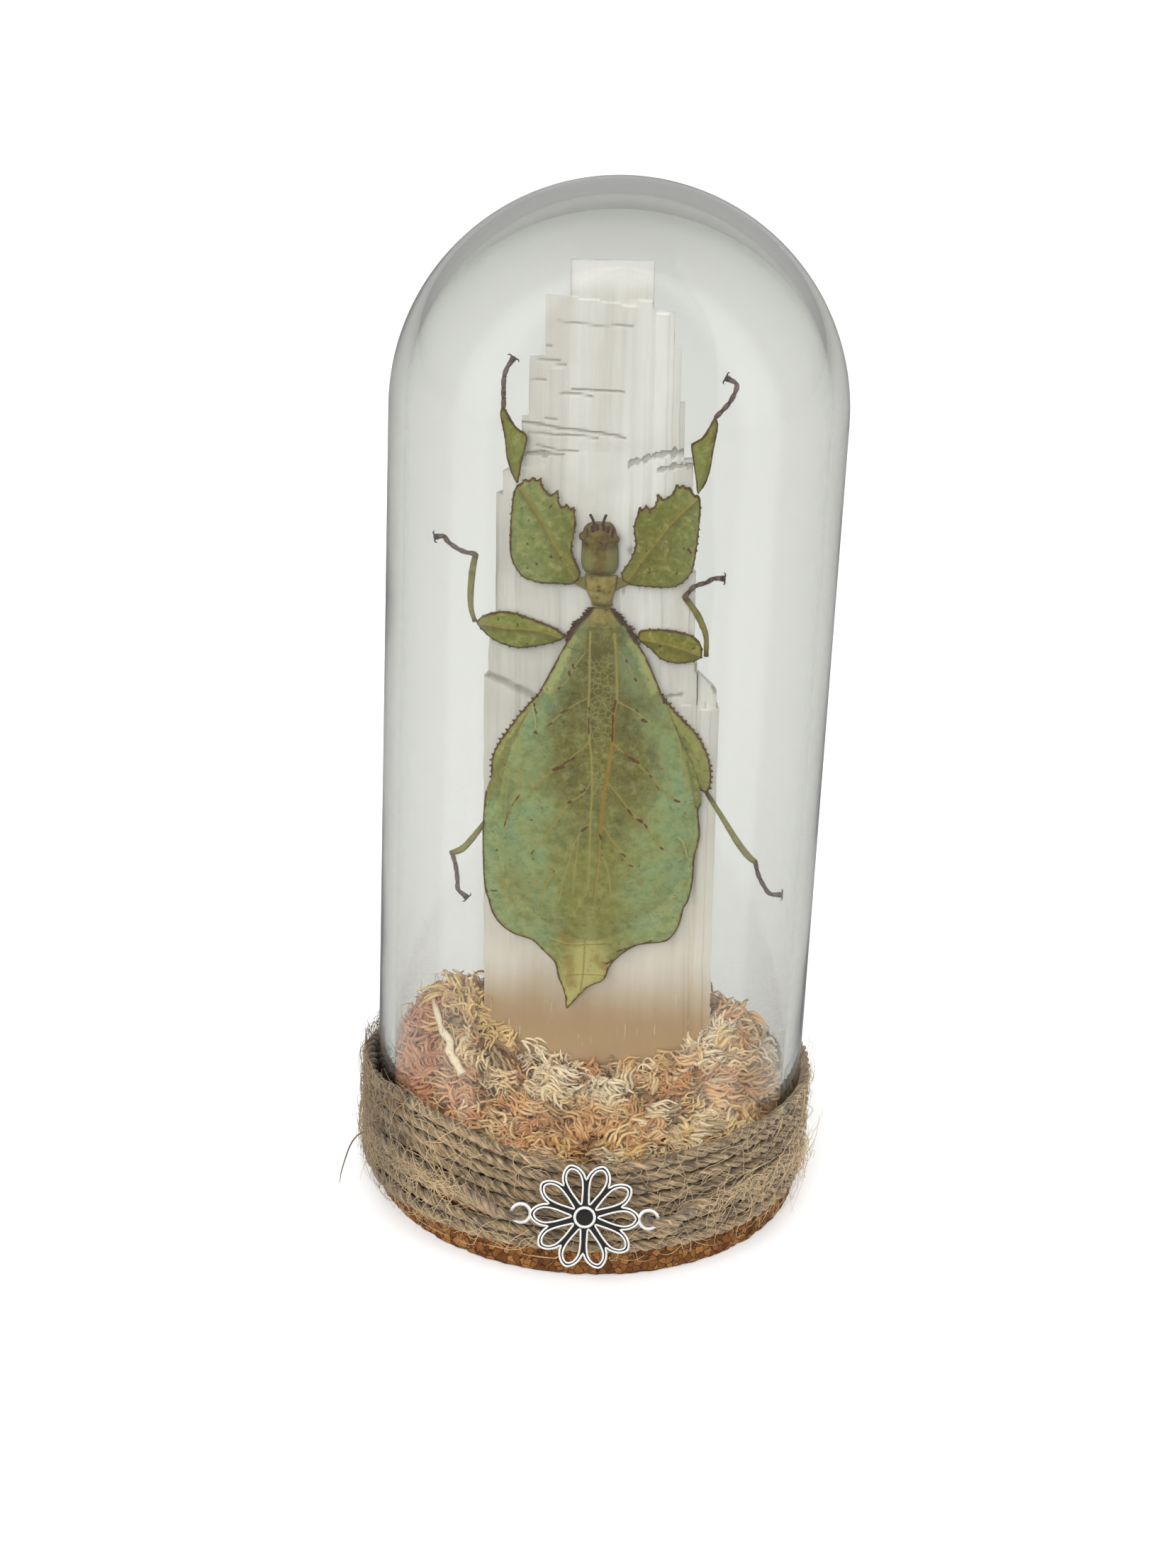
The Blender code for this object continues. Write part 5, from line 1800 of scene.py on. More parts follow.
@dataclass
class Twine:
    """Three-ply jute wound round the foot of the glass, with two strands that hold the charm."""

    winding_radius: float = 48.75
    turns: int = 8
    # Points along one turn.
    steps: int = 330
    # How much thicker the twine is at the left.
    swollen: float = 0.28
    # Heights every 45 degrees, from the right by the back and the left to the front.
    bottoms: tuple[float, ...] = (5.0, 3.2, 3.0, 2.7, 4.6, 5.5, 6.5, 5.7)
    tops: tuple[float, ...] = (28.7, 23.1, 22.4, 22.1, 28.0, 33.4, 28.4, 30.9)
    ply_radius: float = 0.6
    ply_offset: float = 0.72
    # Depth of a strand as a share of its height, where it is pressed on the glass.
    pressed: float = 0.8
    pitch: float = 9.0
    plies: int = 3
    ply_sides: int = 7
    tie_radius: float = 52.65
    tie_laid: tuple[Triple, ...] = ((64, 1.3, 0.45), (55, 0.8, 0.85), (46, 0.3, 1), (37, -0.3, 1), (29, -0.7, 1))
    # From the loop's middle: (outward, forward, up, share).
    tie_threaded: tuple[tuple[float, float, float, float], ...] = (
        (5.6, -0.9, -0.5, 1), (4, 0.5, 0.1, 0.85), (2.5, 1.8, 0.3, 0.72), (1, 1.3, 0.1, 0.66), (0, 0, 0, 0.66),
        (-0.8, -1.3, 0, 0.66), (-2.2, -2.3, 0, 0.6),
    )
    loop_offset: float = 13.5
    # The two strands are this much thicker than the wound twine.
    tie_thickness: float = 1.12
    hairs: int = 1500
    lying_hairs: int = 1300
    # Share of the loose fibres that the right keeps, share of them on the two strands, and the longest.
    right_share: float = 0.14
    tie_hair_share: float = 0.1
    longest_hair: float = 16.0
    # A stray end at the far left.
    stray: tuple[Triple, ...] = (
        (-49.6, -12, 11.8), (-51.3, -13, 11), (-52.6, -14, 9.1), (-53.6, -15, 6.1), (-54.4, -16.3, 3),
        (-54.6, -16, 0.6),
    )

    @staticmethod
    def around_glass(heights: Sequence[float], turn: float) -> float:
        """Height at a turn about the axis, eased between heights that are evenly spaced round it.

        Args:
            heights: The heights.
            turn: The turn from the right, anticlockwise from above.

        Returns:
            The height there.
        """
        place = turn / (2 * math.pi) * len(heights) % len(heights)
        first = int(place) % len(heights)
        ease = (1 - math.cos(math.pi * (place - first))) / 2
        return heights[first] + (heights[(first + 1) % len(heights)] - heights[first]) * ease

    def winding_path(self) -> tuple[np.ndarray, np.ndarray]:
        """The middle line of the wound twine, from the bottom up, and its thickness, which is greater at the left.

        Returns:
            The points and their thicknesses.
        """
        count = self.turns * self.steps
        points, shares = [], []
        for i in range(count + 1):
            turn = math.pi / 2 + 2 * math.pi * self.turns * i / count
            bottom = self.around_glass(self.bottoms, turn)
            height = bottom + (self.around_glass(self.tops, turn) - bottom) * i / count
            leftness = max(0.0, -math.cos(turn + 0.35))
            stir = noise.noise(Vector((math.cos(turn) * 2.2, math.sin(turn) * 2.2, i / count * 9)))
            sway = noise.noise(Vector((math.cos(turn) * 4.5 + 5, math.sin(turn) * 4.5, i / count * 14)))
            height += stir * (0.3 + 1.9 * leftness)
            share = 1 + self.swollen * leftness
            radius = self.winding_radius + 1.2 * (share - 1) + abs(sway) * (0.2 + 0.7 * leftness)
            points.append((radius * math.cos(turn), radius * math.sin(turn), height))
            shares.append(share)
        return np.array(points), np.array(shares)

    def tie_path(self, side: int) -> tuple[np.ndarray, np.ndarray]:
        """Middle line and share of the full radius of the strand at one side.

        Args:
            side: -1 for the left and 1 for the right.

        Returns:
            Points and shares.
        """
        middle_x, middle_y, middle_z = CharmFlower.middle
        rows = []
        for degrees, rise, share in self.tie_laid:
            turn = math.radians(degrees)
            x, y = side * self.tie_radius * math.sin(turn), -self.tie_radius * math.cos(turn)
            rows.append((x, y, middle_z + rise, share))
        for out, forward, rise, share in self.tie_threaded:
            rows.append((middle_x + side * (self.loop_offset + out), middle_y - forward, middle_z + rise, share))
        table = np.array(rows)
        path = smooth_path(table[:, :3], 12)
        shares = smooth_path(np.column_stack([table[:, 3], table[:, 3]]), 12)[:, 0]
        return path, shares

    def strand(self, path: np.ndarray, shares: np.ndarray, loose: float, start_turn: float = 0.0) -> MeshMaker:
        """The plies that follow a path.

        Args:
            path: The middle line.
            shares: Share of the full thickness at each point.
            loose: How unevenly the plies lie, in millimetres.
            start_turn: Turn of the first ply at the start.

        Returns:
            The plies.
        """
        maker = MeshMaker()
        along = np.concatenate([[0.0], np.cumsum(np.linalg.norm(np.diff(path, axis=0), axis=1))])
        tangent = unit(np.gradient(path, axis=0))
        outward_way = unit(path * (1, 1, 0))
        outward_way = unit(outward_way - tangent * (outward_way * tangent).sum(axis=1, keepdims=True))
        across = np.cross(tangent, outward_way)
        sides = self.ply_sides
        for ply in range(self.plies):
            turn = start_turn + 2 * math.pi * (along / self.pitch + ply / self.plies)
            offset = self.ply_offset * shares * (1 + noise_at(along * 0.22, ply * 7.0, start_turn) * loose)
            centre = path + outward_way * (offset * self.pressed * np.cos(turn))[:, None]
            centre += across * (offset * np.sin(turn))[:, None]
            lumps = 0.3 * noise_at(along * 0.5, ply * 3.0, 2.0 + start_turn)
            points, faces = tube(centre, self.ply_radius * shares * (1 + lumps), sides)
            ring_turn = np.tile(np.arange(sides) / sides * 2 * math.pi, len(path))
            ring_along = np.repeat(along, sides)
            ridges = noise_at(ring_along * 0.3, np.cos(ring_turn) * 2.0, np.sin(ring_turn) * 2.0 + ply * 9)
            centres = np.repeat(centre, sides, axis=0)
            points = centres + (points - centres) * (1 + 0.3 * ridges)[:, None]
            twist = ring_turn - np.repeat(turn, sides) * 0.6
            out = np.hypot(*points[:, :2].T) - np.repeat(np.hypot(*path[:, :2].T), sides)
            # deep marks where plies meet their neighbours, for painted shade in the gaps.
            maker.add(points, faces, along=ring_along, turn=np.cos(twist) * 1.5 + np.sin(twist), ply=ply * 3.7,
                      deep=np.clip(0.8 - np.abs(out) / 0.85, 0, 1))
        return maker

    def fibre(self, maker: MeshMaker, path: np.ndarray, radius: float, straw: float = 0.0, pale: float = 1.0) -> None:
        """Adds one loose fibre.

        Args:
            maker: What to add it to.
            path: Its points.
            radius: Its radius.
            straw: 1 for orange-brown straw.
            pale: 1 for a pale fibre.
        """
        shares = np.linspace(0, 1, len(path))
        points, faces = tube(path, np.interp(shares, (0, 0.6, 1), (1, 0.85, 0.4)) * radius, 3)
        maker.add(points, faces, along=np.repeat(shares * 6, 3), turn=0.4, ply=radius * 90, straw=straw,
                  pale=pale * (1 - straw), deep=0.7 * (1 - pale))

    def fuzz(self, count: int, seed: int, lying: bool) -> MeshMaker:
        """Curled loose fibres over the twine, more of them at the left.

        Args:
            count: How many.
            seed: Seed of their places.
            lying: Whether they lie close and mostly along the twine.

        Returns:
            The fibres.
        """
        dice = np.random.default_rng(seed)
        maker = MeshMaker()
        steps = 6
        shares = np.linspace(0, 1, steps + 1)
        made = 0
        while made < count:
            turn = dice.uniform(-math.pi, math.pi)
            leftness = max(0.0, -math.cos(turn + 0.5))
            if dice.random() > self.right_share + (1 - self.right_share) * leftness**1.2:
                continue
            made += 1
            low, high = self.around_glass(self.bottoms, turn), self.around_glass(self.tops, turn)
            height = dice.uniform(low - 0.8, high + 0.8)
            out = self.winding_radius + 1.15 + 0.9 * leftness
            if dice.random() < self.tie_hair_share:
                turn = -math.pi / 2 + (1 if dice.random() < 0.5 else -1) * math.radians(dice.uniform(28, 66))
                height, out = CharmFlower.middle[2] + dice.uniform(-1.8, 2.4), self.tie_radius + 1.3
            length = min(float(dice.gamma(3.0, 2.0) + 2.5), self.longest_hair)
            heading = math.pi * (dice.random() < 0.5) + (dice.normal(0.2, 0.6) if lying else dice.uniform(-1.6, 1.6))
            way = heading + dice.normal(0, 1.2) * shares + 0.6 * np.sin(5 * shares + dice.uniform(0, 6))
            around = turn + np.concatenate([[0], np.cumsum(np.cos(way[:-1]))]) * length / steps / out
            rise = height + np.concatenate([[0], np.cumsum(np.sin(way[:-1]))]) * length / steps
            rise = np.clip(rise, low - 1.2, high + 1.6)
            lift = out + (0.35 if lying else 1.3) * dice.random() * np.sin(shares * dice.uniform(1.6, 3.0))
            path = np.column_stack([lift * np.cos(around), lift * np.sin(around), rise])
            self.fibre(maker, path, dice.uniform(0.04, 0.09), float(self.is_straw(path[0]) and dice.random() < 0.6))
        return maker

    @staticmethod
    def is_straw(point: np.ndarray) -> bool:
        """Whether a place is in one of the patches of orange-brown straw."""
        turn = math.degrees(math.atan2(point[0], -point[1]))
        return (-60 < turn < -42 and 24 < point[2] < 31) or (abs(turn) < 14 and 17 < point[2] < 25)

    def build(self) -> None:
        material = JuteFinish().make()
        declare(self.strand(*self.winding_path(), 0.35).piece("wound_twine", material, 80), "jute", "jute_winding")
        for side, name in ((-1, "left"), (1, "right")):
            path, shares = self.tie_path(side)
            maker = self.strand(path, shares * self.tie_thickness, 0.3, 1.0 + side)
            declare(maker.piece(f"twine_tie_{name}", material, 80), "jute", f"charm_tie_{name}")
        fuzzes = (("twine_fibres", self.hairs, False), ("twine_fibres_front", self.lying_hairs, True))
        for name, count, lying in fuzzes:
            maker = self.fuzz(count, SEED + 3 + lying, lying)
            if not lying:
                self.fibre(maker, smooth_path(self.stray, 4), 0.2, pale=0.0)
            declare(maker.piece(name, material), "jute", "jute_winding")


# Charm


@dataclass
class CharmFlower:
    """Flower connector: open petals with bright double rims over a black groove, a cup and two loops."""

    # The cup's middle on the front of the twine, and how far the flower leans back.
    middle: Triple = (1.15, -54.6, 19.2)
    lean: float = math.radians(15)
    petals: int = 10
    # Half of the lowest petal's edge and of its hole: (distance from the middle, half width).
    edge: tuple[Pair, ...] = ((7.8, 2.53), (8.9, 2.45), (10.2, 1.95), (11.2, 1.1))
    tip: float = 11.7
    hole: tuple[Pair, ...] = ((4.4, 0.65), (6.3, 1.25), (8.2, 1.6), (9.5, 1.35), (10.3, 0.8))
    hole_ends: Pair = (2.9, 10.7)
    plate_half: float = 0.32
    bead: float = 0.23
    bead_sides: int = 8
    cup_radius: float = 2.3
    # The cup's inside and rim, from its middle out: (radius, height); its outside and underside, inwards.
    cup_inside: tuple[Pair, ...] = ((0.0, 0.36), (0.5, 0.36), (1.0, 0.36), (1.5, 0.36), (1.85, 0.42), (1.95, 0.9))
    cup_outside: tuple[Pair, ...] = ((2.2, 1.0), (2.32, 0.8), (2.32, -0.36), (0.0, -0.36))
    loop_offset: float = 13.5
    loop_radius: float = 2.0
    wire: float = 0.4

    def ring(self, maker: MeshMaker, path: np.ndarray, radius: float, height: float, low: float = 0.0) -> None:
        """Adds a closed round bead along a flat path.

        Args:
            maker: What to add it to.
            path: (x, y) points in the charm's own plane.
            radius: The bead's radius.
            height: Height of its middle over that plane.
            low: 1 where it is blackened.
        """
        count, sides = len(path), self.bead_sides
        side = unit(np.roll(path, -1, axis=0) - np.roll(path, 1, axis=0))[:, ::-1] * (1, -1)
        turns = 2 * math.pi * np.arange(sides) / sides
        flat = path[:, None] + side[:, None] * (radius * np.cos(turns))[None, :, None]
        rise = np.broadcast_to(height + radius * np.sin(turns), (count, sides))
        points = np.dstack([flat, rise]).reshape(-1, 3)
        maker.add(points, quads(count, sides, round_again=True), low=low)

    def turned(self, points: np.ndarray, petal: int) -> np.ndarray:
        """Flat points turned to one petal's place.

        Args:
            points: The points, for the lowest petal.
            petal: Which petal.

        Returns:
            The turned points.
        """
        turn = 2 * math.pi * petal / self.petals
        cosine, sine = math.cos(turn), math.sin(turn)
        return points @ np.array([[cosine, sine], [-sine, cosine]])

    def plate(self, maker: MeshMaker, outline: np.ndarray, holes: list[np.ndarray]) -> None:
        """Adds the blackened plate between the petals' outline and their holes.

        Args:
            maker: What to add it to.
            outline: The outline.
            holes: The holes' outlines.
        """
        points, faces, loops = filled([outline, *holes], 0.6)
        middles = np.array([points[list(face)].mean(axis=0) for face in faces])
        open_part = np.any([inside(middles, path) for path in holes], axis=0)
        faces = [face for face, opened in zip(faces, open_part) if not opened]
        count = len(points)
        level = np.full(count, self.plate_half)
        both = np.vstack([np.column_stack([points, level]), np.column_stack([points, -level])])
        under = [tuple(count + i for i in face[::-1]) for face in faces]
        rims = [(a, b, count + b, count + a) for loop in loops for a, b in zip(loop, [*loop[1:], loop[0]])]
        maker.add(both, faces + under + rims, low=1.0)

    def cup(self, maker: MeshMaker) -> None:
        """Adds the cup, whose floor is rough and black.

        Args:
            maker: What to add it to.
        """
        points, faces = revolved([*self.cup_inside, *self.cup_outside], 40)
        reach = np.hypot(points[:, 0], points[:, 1])
        floor = (reach < 1.7) & (points[:, 2] > 0)
        points[floor, 2] += 0.22 * noise_at(*(points[floor, :2] * 2.4).T, 1.0)
        maker.add(points, faces, low=np.where((reach < 1.9) & (points[:, 2] > 0), 1.0, 0.0))

    def build(self) -> None:
        maker = MeshMaker()
        inner, outer = self.hole_ends
        hole = np.array([(inner, 0.0), *((x, -y) for x, y in self.hole), (outer, 0.0), *reversed(self.hole)])
        hole_path = spaced(smooth_path(hole, 10, True), 0.28, True)
        lobe = np.array([*((x, -y) for x, y in self.edge), (self.tip, 0.0), *reversed(self.edge)])
        lobe_path = spaced(smooth_path(lobe, 8), 0.3)[:-1]
        outline = np.vstack([self.turned(lobe_path, petal) for petal in range(self.petals)])
        holes = [self.turned(hole_path, petal) for petal in range(self.petals)]
        self.plate(maker, outline, holes)
        for path in holes:
            inset = path + unit(path - path.mean(axis=0)) * (self.bead * 0.4)
            self.ring(maker, inset, self.bead * 0.9, self.plate_half + 0.08)
        side = unit(np.roll(outline, -1, axis=0) - np.roll(outline, 1, axis=0))[:, ::-1] * (-1, 1)
        self.ring(maker, outline + side * self.bead * 0.6, self.bead, self.plate_half + 0.02)
        turns = 2 * math.pi * np.arange(48) / 48
        circle = np.column_stack([np.cos(turns), np.sin(turns)])
        self.ring(maker, circle * (self.cup_radius - 0.2), 0.3, 0.85)
        self.cup(maker)
        for way in (-1, 1):
            self.ring(maker, circle * self.loop_radius + (way * self.loop_offset, 0.0), self.wire, 0.0)
        piece = maker.piece("flower_connector", SilverFinish().make(), 50)
        tilt = Matrix.Rotation(math.pi / 2 - self.lean, 4, "X")
        piece.data.transform(Matrix.Translation(Vector(self.middle) * MM) @ tilt)
        outward(piece.data)
        declare(piece, "antique_silver", "flower_charm")


# Insect


LEG_DEPTH = -9.9
UNDER_DEPTH = -8.8
# How far a segment reaches into the joint at its end.
KNEE = 0.9


class Side(Enum):
    """Sides of the insect as seen from the front."""

    LEFT = -1
    RIGHT = 1

    @property
    def word(self) -> str:
        """The side's name in the names of pieces and nodes."""
        return self.name.lower()


def row_value(rows: np.ndarray, column: int, height: np.ndarray) -> np.ndarray:
    """A column of rows that run from high to low, at heights."""
    order = np.argsort(rows[:, 0])
    return np.interp(height, rows[order, 0], rows[order, column])


def bell(value: float, middle: float, half: float) -> float:
    """1 at a middle value, falling to nothing on both sides of it."""
    return math.exp(-(((value - middle) / half) ** 2))


def anticlockwise(outline: np.ndarray) -> np.ndarray:
    """A closed outline with its points in anticlockwise order."""
    area = np.sum(outline[:, 0] * np.roll(outline[:, 1], -1) - np.roll(outline[:, 0], -1) * outline[:, 1])
    return outline if area > 0 else outline[::-1]


def thorned(corners: Sequence[Pair], step: float, teeth: float, depth: float, seed: float) -> np.ndarray:
    """An outline with small thorns on it.

    Args:
        corners: The outline's corners.
        step: Distance between the new points.
        teeth: Distance from thorn to thorn.
        depth: Height of a thorn.
        seed: Seed of their unevenness.

    Returns:
        Closely spaced points, anticlockwise.
    """
    path = spaced(smooth_path(anticlockwise(np.asarray(corners, float)), 6, True), step, True)
    side = unit(np.roll(path, -1, axis=0) - np.roll(path, 1, axis=0))[:, ::-1] * (1, -1)
    dice = random.Random(int(seed * 100))
    result = path.copy()
    for i in range(0, len(path), max(3, round(teeth / step))):
        result[i] += side[i] * depth * dice.uniform(0.4, 1.3)
    return result


@dataclass
class Trunk:
    """Sizes of the insect's body and how its domed back runs."""

    back: float = -9.5
    edge_thickness: float = 0.6
    power: float = 0.75
    # (height, left, right) from the top down.
    thorax_rows: tuple[Triple, ...] = (
        (139.9, -4, 0.9), (138.4, -5.1, 2.2), (136, -7, 4.1), (133.8, -8.3, 5.6), (131.2, -8.7, 6.4),
    )
    abdomen_rows: tuple[Triple, ...] = (
        (130.8, -7.6, 5.6), (127, -9.6, 7.4), (121, -12.6, 10.6), (114, -17, 14.6), (107, -20.8, 18.2),
        (101, -23, 20.6), (97, -24.4, 21.4), (94.4, -24.7, 20.9), (89, -24.9, 21.5), (84, -24.8, 20.7),
        (78, -24.5, 20.6), (73.4, -24, 19.9), (71.4, -23.3, 19), (68, -22.3, 18.4), (65, -20.2, 17.2),
        (63, -17.2, 15.2), (61.9, -13.6, 9.6), (59.6, -11.2, 6.3), (56.6, -8.4, 3.8), (53, -7.5, 2.5),
        (51, -6.6, -0.8), (48.4, -5.8, -3), (45.7, -5.5, -5),
    )
    # (height, thickness in the middle).
    heights: tuple[Pair, ...] = ((140, 2.6), (134, 3.1), (124, 2.9), (90, 2.4), (75, 2), (62, 1.4), (45, 0.7))

    def front(self, x: np.ndarray, z: np.ndarray) -> np.ndarray:
        """Depth of the insect's back over places that face the viewer.

        Args:
            x: Places across.
            z: Heights.

        Returns:
            Depths.
        """
        rows = np.array(self.thorax_rows + self.abdomen_rows)
        left, right = row_value(rows, 1, z), row_value(rows, 2, z)
        across = np.clip(np.abs(2 * (x - left) / (right - left) - 1), 0, 1)
        thickness = row_value(np.array(self.heights), 1, z)
        return self.back - self.edge_thickness - (thickness - self.edge_thickness) * (1 - across**2) ** self.power


@dataclass
class Segment:
    """A segment of one pair of legs, with its points at each side."""

    name: str
    node: str
    finish: str
    depth: float
    left: Sequence[Pair]
    right: Sequence[Pair]

    def points(self, side: Side) -> Sequence[Pair]:
        """The points at one side."""
        return self.left if side is Side.LEFT else self.right

    def make(self, name: str, side: Side, material: Material, dice: random.Random) -> bpy.types.Object:
        """Makes the piece at one side, which each kind of segment does in its own way."""
        raise NotImplementedError

    def build(self, side: Side, finishes: dict[str, Material], dice: random.Random) -> None:
        """Args:
            side: The side.
            finishes: The insect's finishes by name.
            dice: Source of the random numbers.
        """
        piece = self.make(f"{self.name}_{side.word}", side, finishes[self.finish], dice)
        slot = {"foot_shell": "insect_feet", "shank_shell": "insect_shank"}.get(self.finish, "insect_leaf")
        declare(piece, slot, f"{self.node}_{side.word}")


@dataclass
class LeafSegment(Segment):
    """A flat, leaf-like segment with a thick rib, thorns along its edge and, on some, brown spots."""

    left_rib: Sequence[Pair]
    right_rib: Sequence[Pair]
    # Distance between the points of the edge, distance between thorns, and their height.
    edge: Triple
    edge_seed: float
    seed: float
    thickness: float = 0.8
    spots: int = 0
    left_spots: Pair = (0, 0)
    right_spots: Pair = (0, 0)
    spots_up: Pair = (0, 0)

    def specks(self, dice: random.Random, across: Pair) -> list[Blot]:
        """Small brown blots at random places, for x from the least to the most of across.

        Args:
            dice: Random numbers.
            across: The least and the most x.

        Returns:
            The blots.
        """
        blots = []
        for _ in range(self.spots):
            x, z = dice.uniform(*across), dice.uniform(*self.spots_up)
            blots.append((x, z, x + dice.uniform(-0.8, 0.8), z + dice.uniform(-0.8, 0.8), dice.uniform(0.1, 0.24)))
        return blots

    def make(self, name: str, side: Side, material: Material, dice: random.Random) -> bpy.types.Object:
        """Makes the plate at one side.

        Args:
            name: The piece's name.
            side: The side.
            material: Its finish.
            dice: Source of the random numbers.

        Returns:
            The new piece.
        """
        rib, across = (self.left_rib, self.left_spots) if side is Side.LEFT else (self.right_rib, self.right_spots)
        rib_path = smooth_path(rib, 8)
        blots = {}
        if self.spots:
            blots = {"spot": self.specks(dice, across),
                     "rust": [(*start, *end, 1) for start, end in zip(rib, rib[1:])]}

        def front(x: np.ndarray, z: np.ndarray, edge: np.ndarray) -> np.ndarray:
            """Depth of its face, thin at the edge and swollen along the rib.

            Args:
                x: Places across.
                z: Their heights.
                edge: How far each is from the edge.

            Returns:
                The depths.
            """
            swell = 0.55 * np.exp(-((gaps_to_path(np.column_stack([x, z]), rib_path) / 0.9) ** 2))
            thin = np.clip(edge / 0.8, 0, 1) ** 0.5
            return (self.depth - self.thickness * (0.12 + 0.3 * thin) - swell * thin
                    - 0.14 * noise_at(x * 0.35, z * 0.35, self.seed) * thin)

        def back(x: np.ndarray, _: np.ndarray) -> np.ndarray:
            """Depth of its flat back."""
            return np.full(len(x), self.depth + self.thickness * 0.42)

        outline = thorned(self.points(side), *self.edge, side.value + self.edge_seed)
        return Plate(outline, front, back, 0.5, [(0.6, 0.3, rib)], blots).make(name, material)


@dataclass
class RodSegment(Segment):
    """A thin segment, dark at its ends, which reach into the joints."""

    radii: tuple[float, ...]

    def make(self, name: str, side: Side, material: Material, dice: random.Random) -> bpy.types.Object:
        """Makes the rod at one side.

        Args:
            name: The piece's name.
            side: The side.
            material: Its finish.
            dice: Not used.

        Returns:
            The new piece.
        """
        points = self.points(side)
        table = np.array([(x, self.depth, z, radius) for (x, z), radius in zip(points, self.radii)])
        for end, before in ((0, 1), (-1, -2)):
            table[end, :3] += unit(table[end, :3] - table[before, :3]) * KNEE
        fine = smooth_path(table, 8)
        wobble = 1 + 0.12 * noise_at(np.arange(len(fine)) * 0.6, points[0][0], 3.0)
        dark = np.maximum(np.linspace(1, 0, len(fine)) ** 8, np.linspace(0, 1, len(fine)) ** 8)
        shape, faces = tube(fine[:, :3], fine[:, 3] * wobble, 12, 0.85)
        return MeshMaker().add(shape, faces, dark=np.repeat(dark, 12)).piece(name, material, 70)


@dataclass
class FootSegment(Segment):
    """A foot of five joints with spurs, a pad and two claws."""

    joints: float = 4.6

    def make(self, name: str, side: Side, material: Material, dice: random.Random) -> bpy.types.Object:
        """Makes the foot at one side.

        Args:
            name: The piece's name.
            side: The side.
            material: Its finish.
            dice: Not used.

        Returns:
            The new piece.
        """
        line = np.array([(x, self.depth, z) for x, z in self.points(side)])
        line[0] += unit(line[0] - line[1]) * KNEE
        path = spaced(smooth_path(line, 12), 0.16)
        swell = np.abs(np.sin(math.pi * np.linspace(0, 1, len(path)) * self.joints)) ** 0.7
        radii = 0.34 + 0.2 * swell
        radii[0] = 0.2
        maker = MeshMaker().add(*tube(path, radii, 9), dark=np.repeat(1 - swell, 9) * 0.8)
        end, way = path[-1], unit(path[-1] - path[-4])
        across = unit(np.cross(way, np.array([0.0, 1.0, 0.0])))
        maker.add(*tube([end - way * 0.3, end + way * 0.35, end + way], [0.45, 0.68, 0.4], 9), dark=0.9)
        for aside in (-1, 1):
            claw = smooth_path([end + way * 0.2, end + way * 0.8 + across * aside * 0.55,
                                end + way * 0.9 + across * aside * 1.05, end + way * 0.55 + across * aside * 1.35], 4)
            maker.add(*tube(claw, np.linspace(0.26, 0.08, len(claw)), 7), dark=0.9)
        for i in range(1, 5):
            at = path[min(len(path) - 1, round(len(path) * i / self.joints))]
            for aside in (-1, 1):
                spur = [at, at + across * aside * 0.4 + way * 0.12, at + across * aside * 0.55 + way * 0.35]
                maker.add(*tube(spur, [0.16, 0.12, 0.04], 6), dark=0.7)
        return maker.piece(name, material, 70)


@dataclass
class Abdomen:
    """The broad leaf-shaped abdomen."""

    veins: tuple[Vein, ...] = (
        (0.9, 0.1, ((-1.9, 72), (-1.9, 66.7), (-2, 62.7), (-2, 58.1), (-2.1, 54.6), (-2.5, 50))),
        (0.5, 0.3, ((-5, 54.1), (-1, 54.4), (2.5, 54.2))), (0.5, 0.6, ((-9.6, 62.6), (-5, 61.6), (3, 62.4))),
        (0.6, 0.9, ((18, 84.1), (17.1, 81.8), (15.5, 78), (13.1, 74.2))),
        (0.5, 0.7, ((-20.6, 84), (-20, 80.8), (-18, 77.4), (-12.6, 70.6))),
    )
    blots: dict[str, tuple[Blot, ...]] = field(default_factory=lambda: {
        "spot": (
            (-23.9, 73.2, -20.4, 73.8, 0.2), (-24.4, 73, -23.4, 73.2, 0.5), (17.6, 72.3, 19.6, 72, 0.22),
            (-0.5, 57.8, 3.9, 57.5, 0.22), (3.2, 57.2, 4, 57.8, 0.5), (20, 95.8, 21.6, 95.2, 0.3),
            (-20.4, 61.6, -13, 61.8, 0.35), (-9.6, 57.6, -8.4, 56.4, 0.5), (5, 60.2, 13, 63.4, 0.35),
            (-7.4, 51, -6.6, 49, 0.3), (-5.8, 48.6, -5.6, 46, 0.3), (-19.2, 79.8, -18.6, 77.6, 0.2),
            (-18.2, 78.4, -17.8, 76.8, 0.18), (-22.6, 83.6, -21.6, 83.4, 0.18), (3.8, 67.7, 4.3, 67.8, 0.3),
        ),
        "rust": ((-6.5, 66.6, -6, 62.8, 2), (-5.4, 58, -4.6, 52, 1.6), (0.6, 58.4, 2.6, 56, 1.2)),
        "pale": ((-2.6, 60, -1.6, 53, 1.4),),
        "shade": ((6.4, 60.4, 3.6, 58.6, 0.9),),
    })

    def build(self, trunk: Trunk, material: Material) -> None:
        """Args:
            trunk: The body that it belongs to.
            material: Its finish.
        """
        rows = trunk.abdomen_rows
        corners = [(right, z) for z, _, right in reversed(rows)] + [(left, z) for z, left, _ in rows]

        def front(x: np.ndarray, z: np.ndarray, edge: np.ndarray) -> np.ndarray:
            """Depth of its face."""
            return trunk.front(x, z) - 0.16 * noise_at(x * 0.16, z * 0.16, 8.0) * np.clip(edge / 2, 0, 1)

        def back(x: np.ndarray, _: np.ndarray) -> np.ndarray:
            """Depth of its flat back."""
            return np.full(len(x), trunk.back)

        plate = Plate(thorned(corners, 0.3, 2.4, 0.1, 5), front, back, 0.6, self.veins, self.blots, plain=((97, 125),))
        declare(plate.make("leaf_abdomen", material), "insect_leaf", "abdomen")


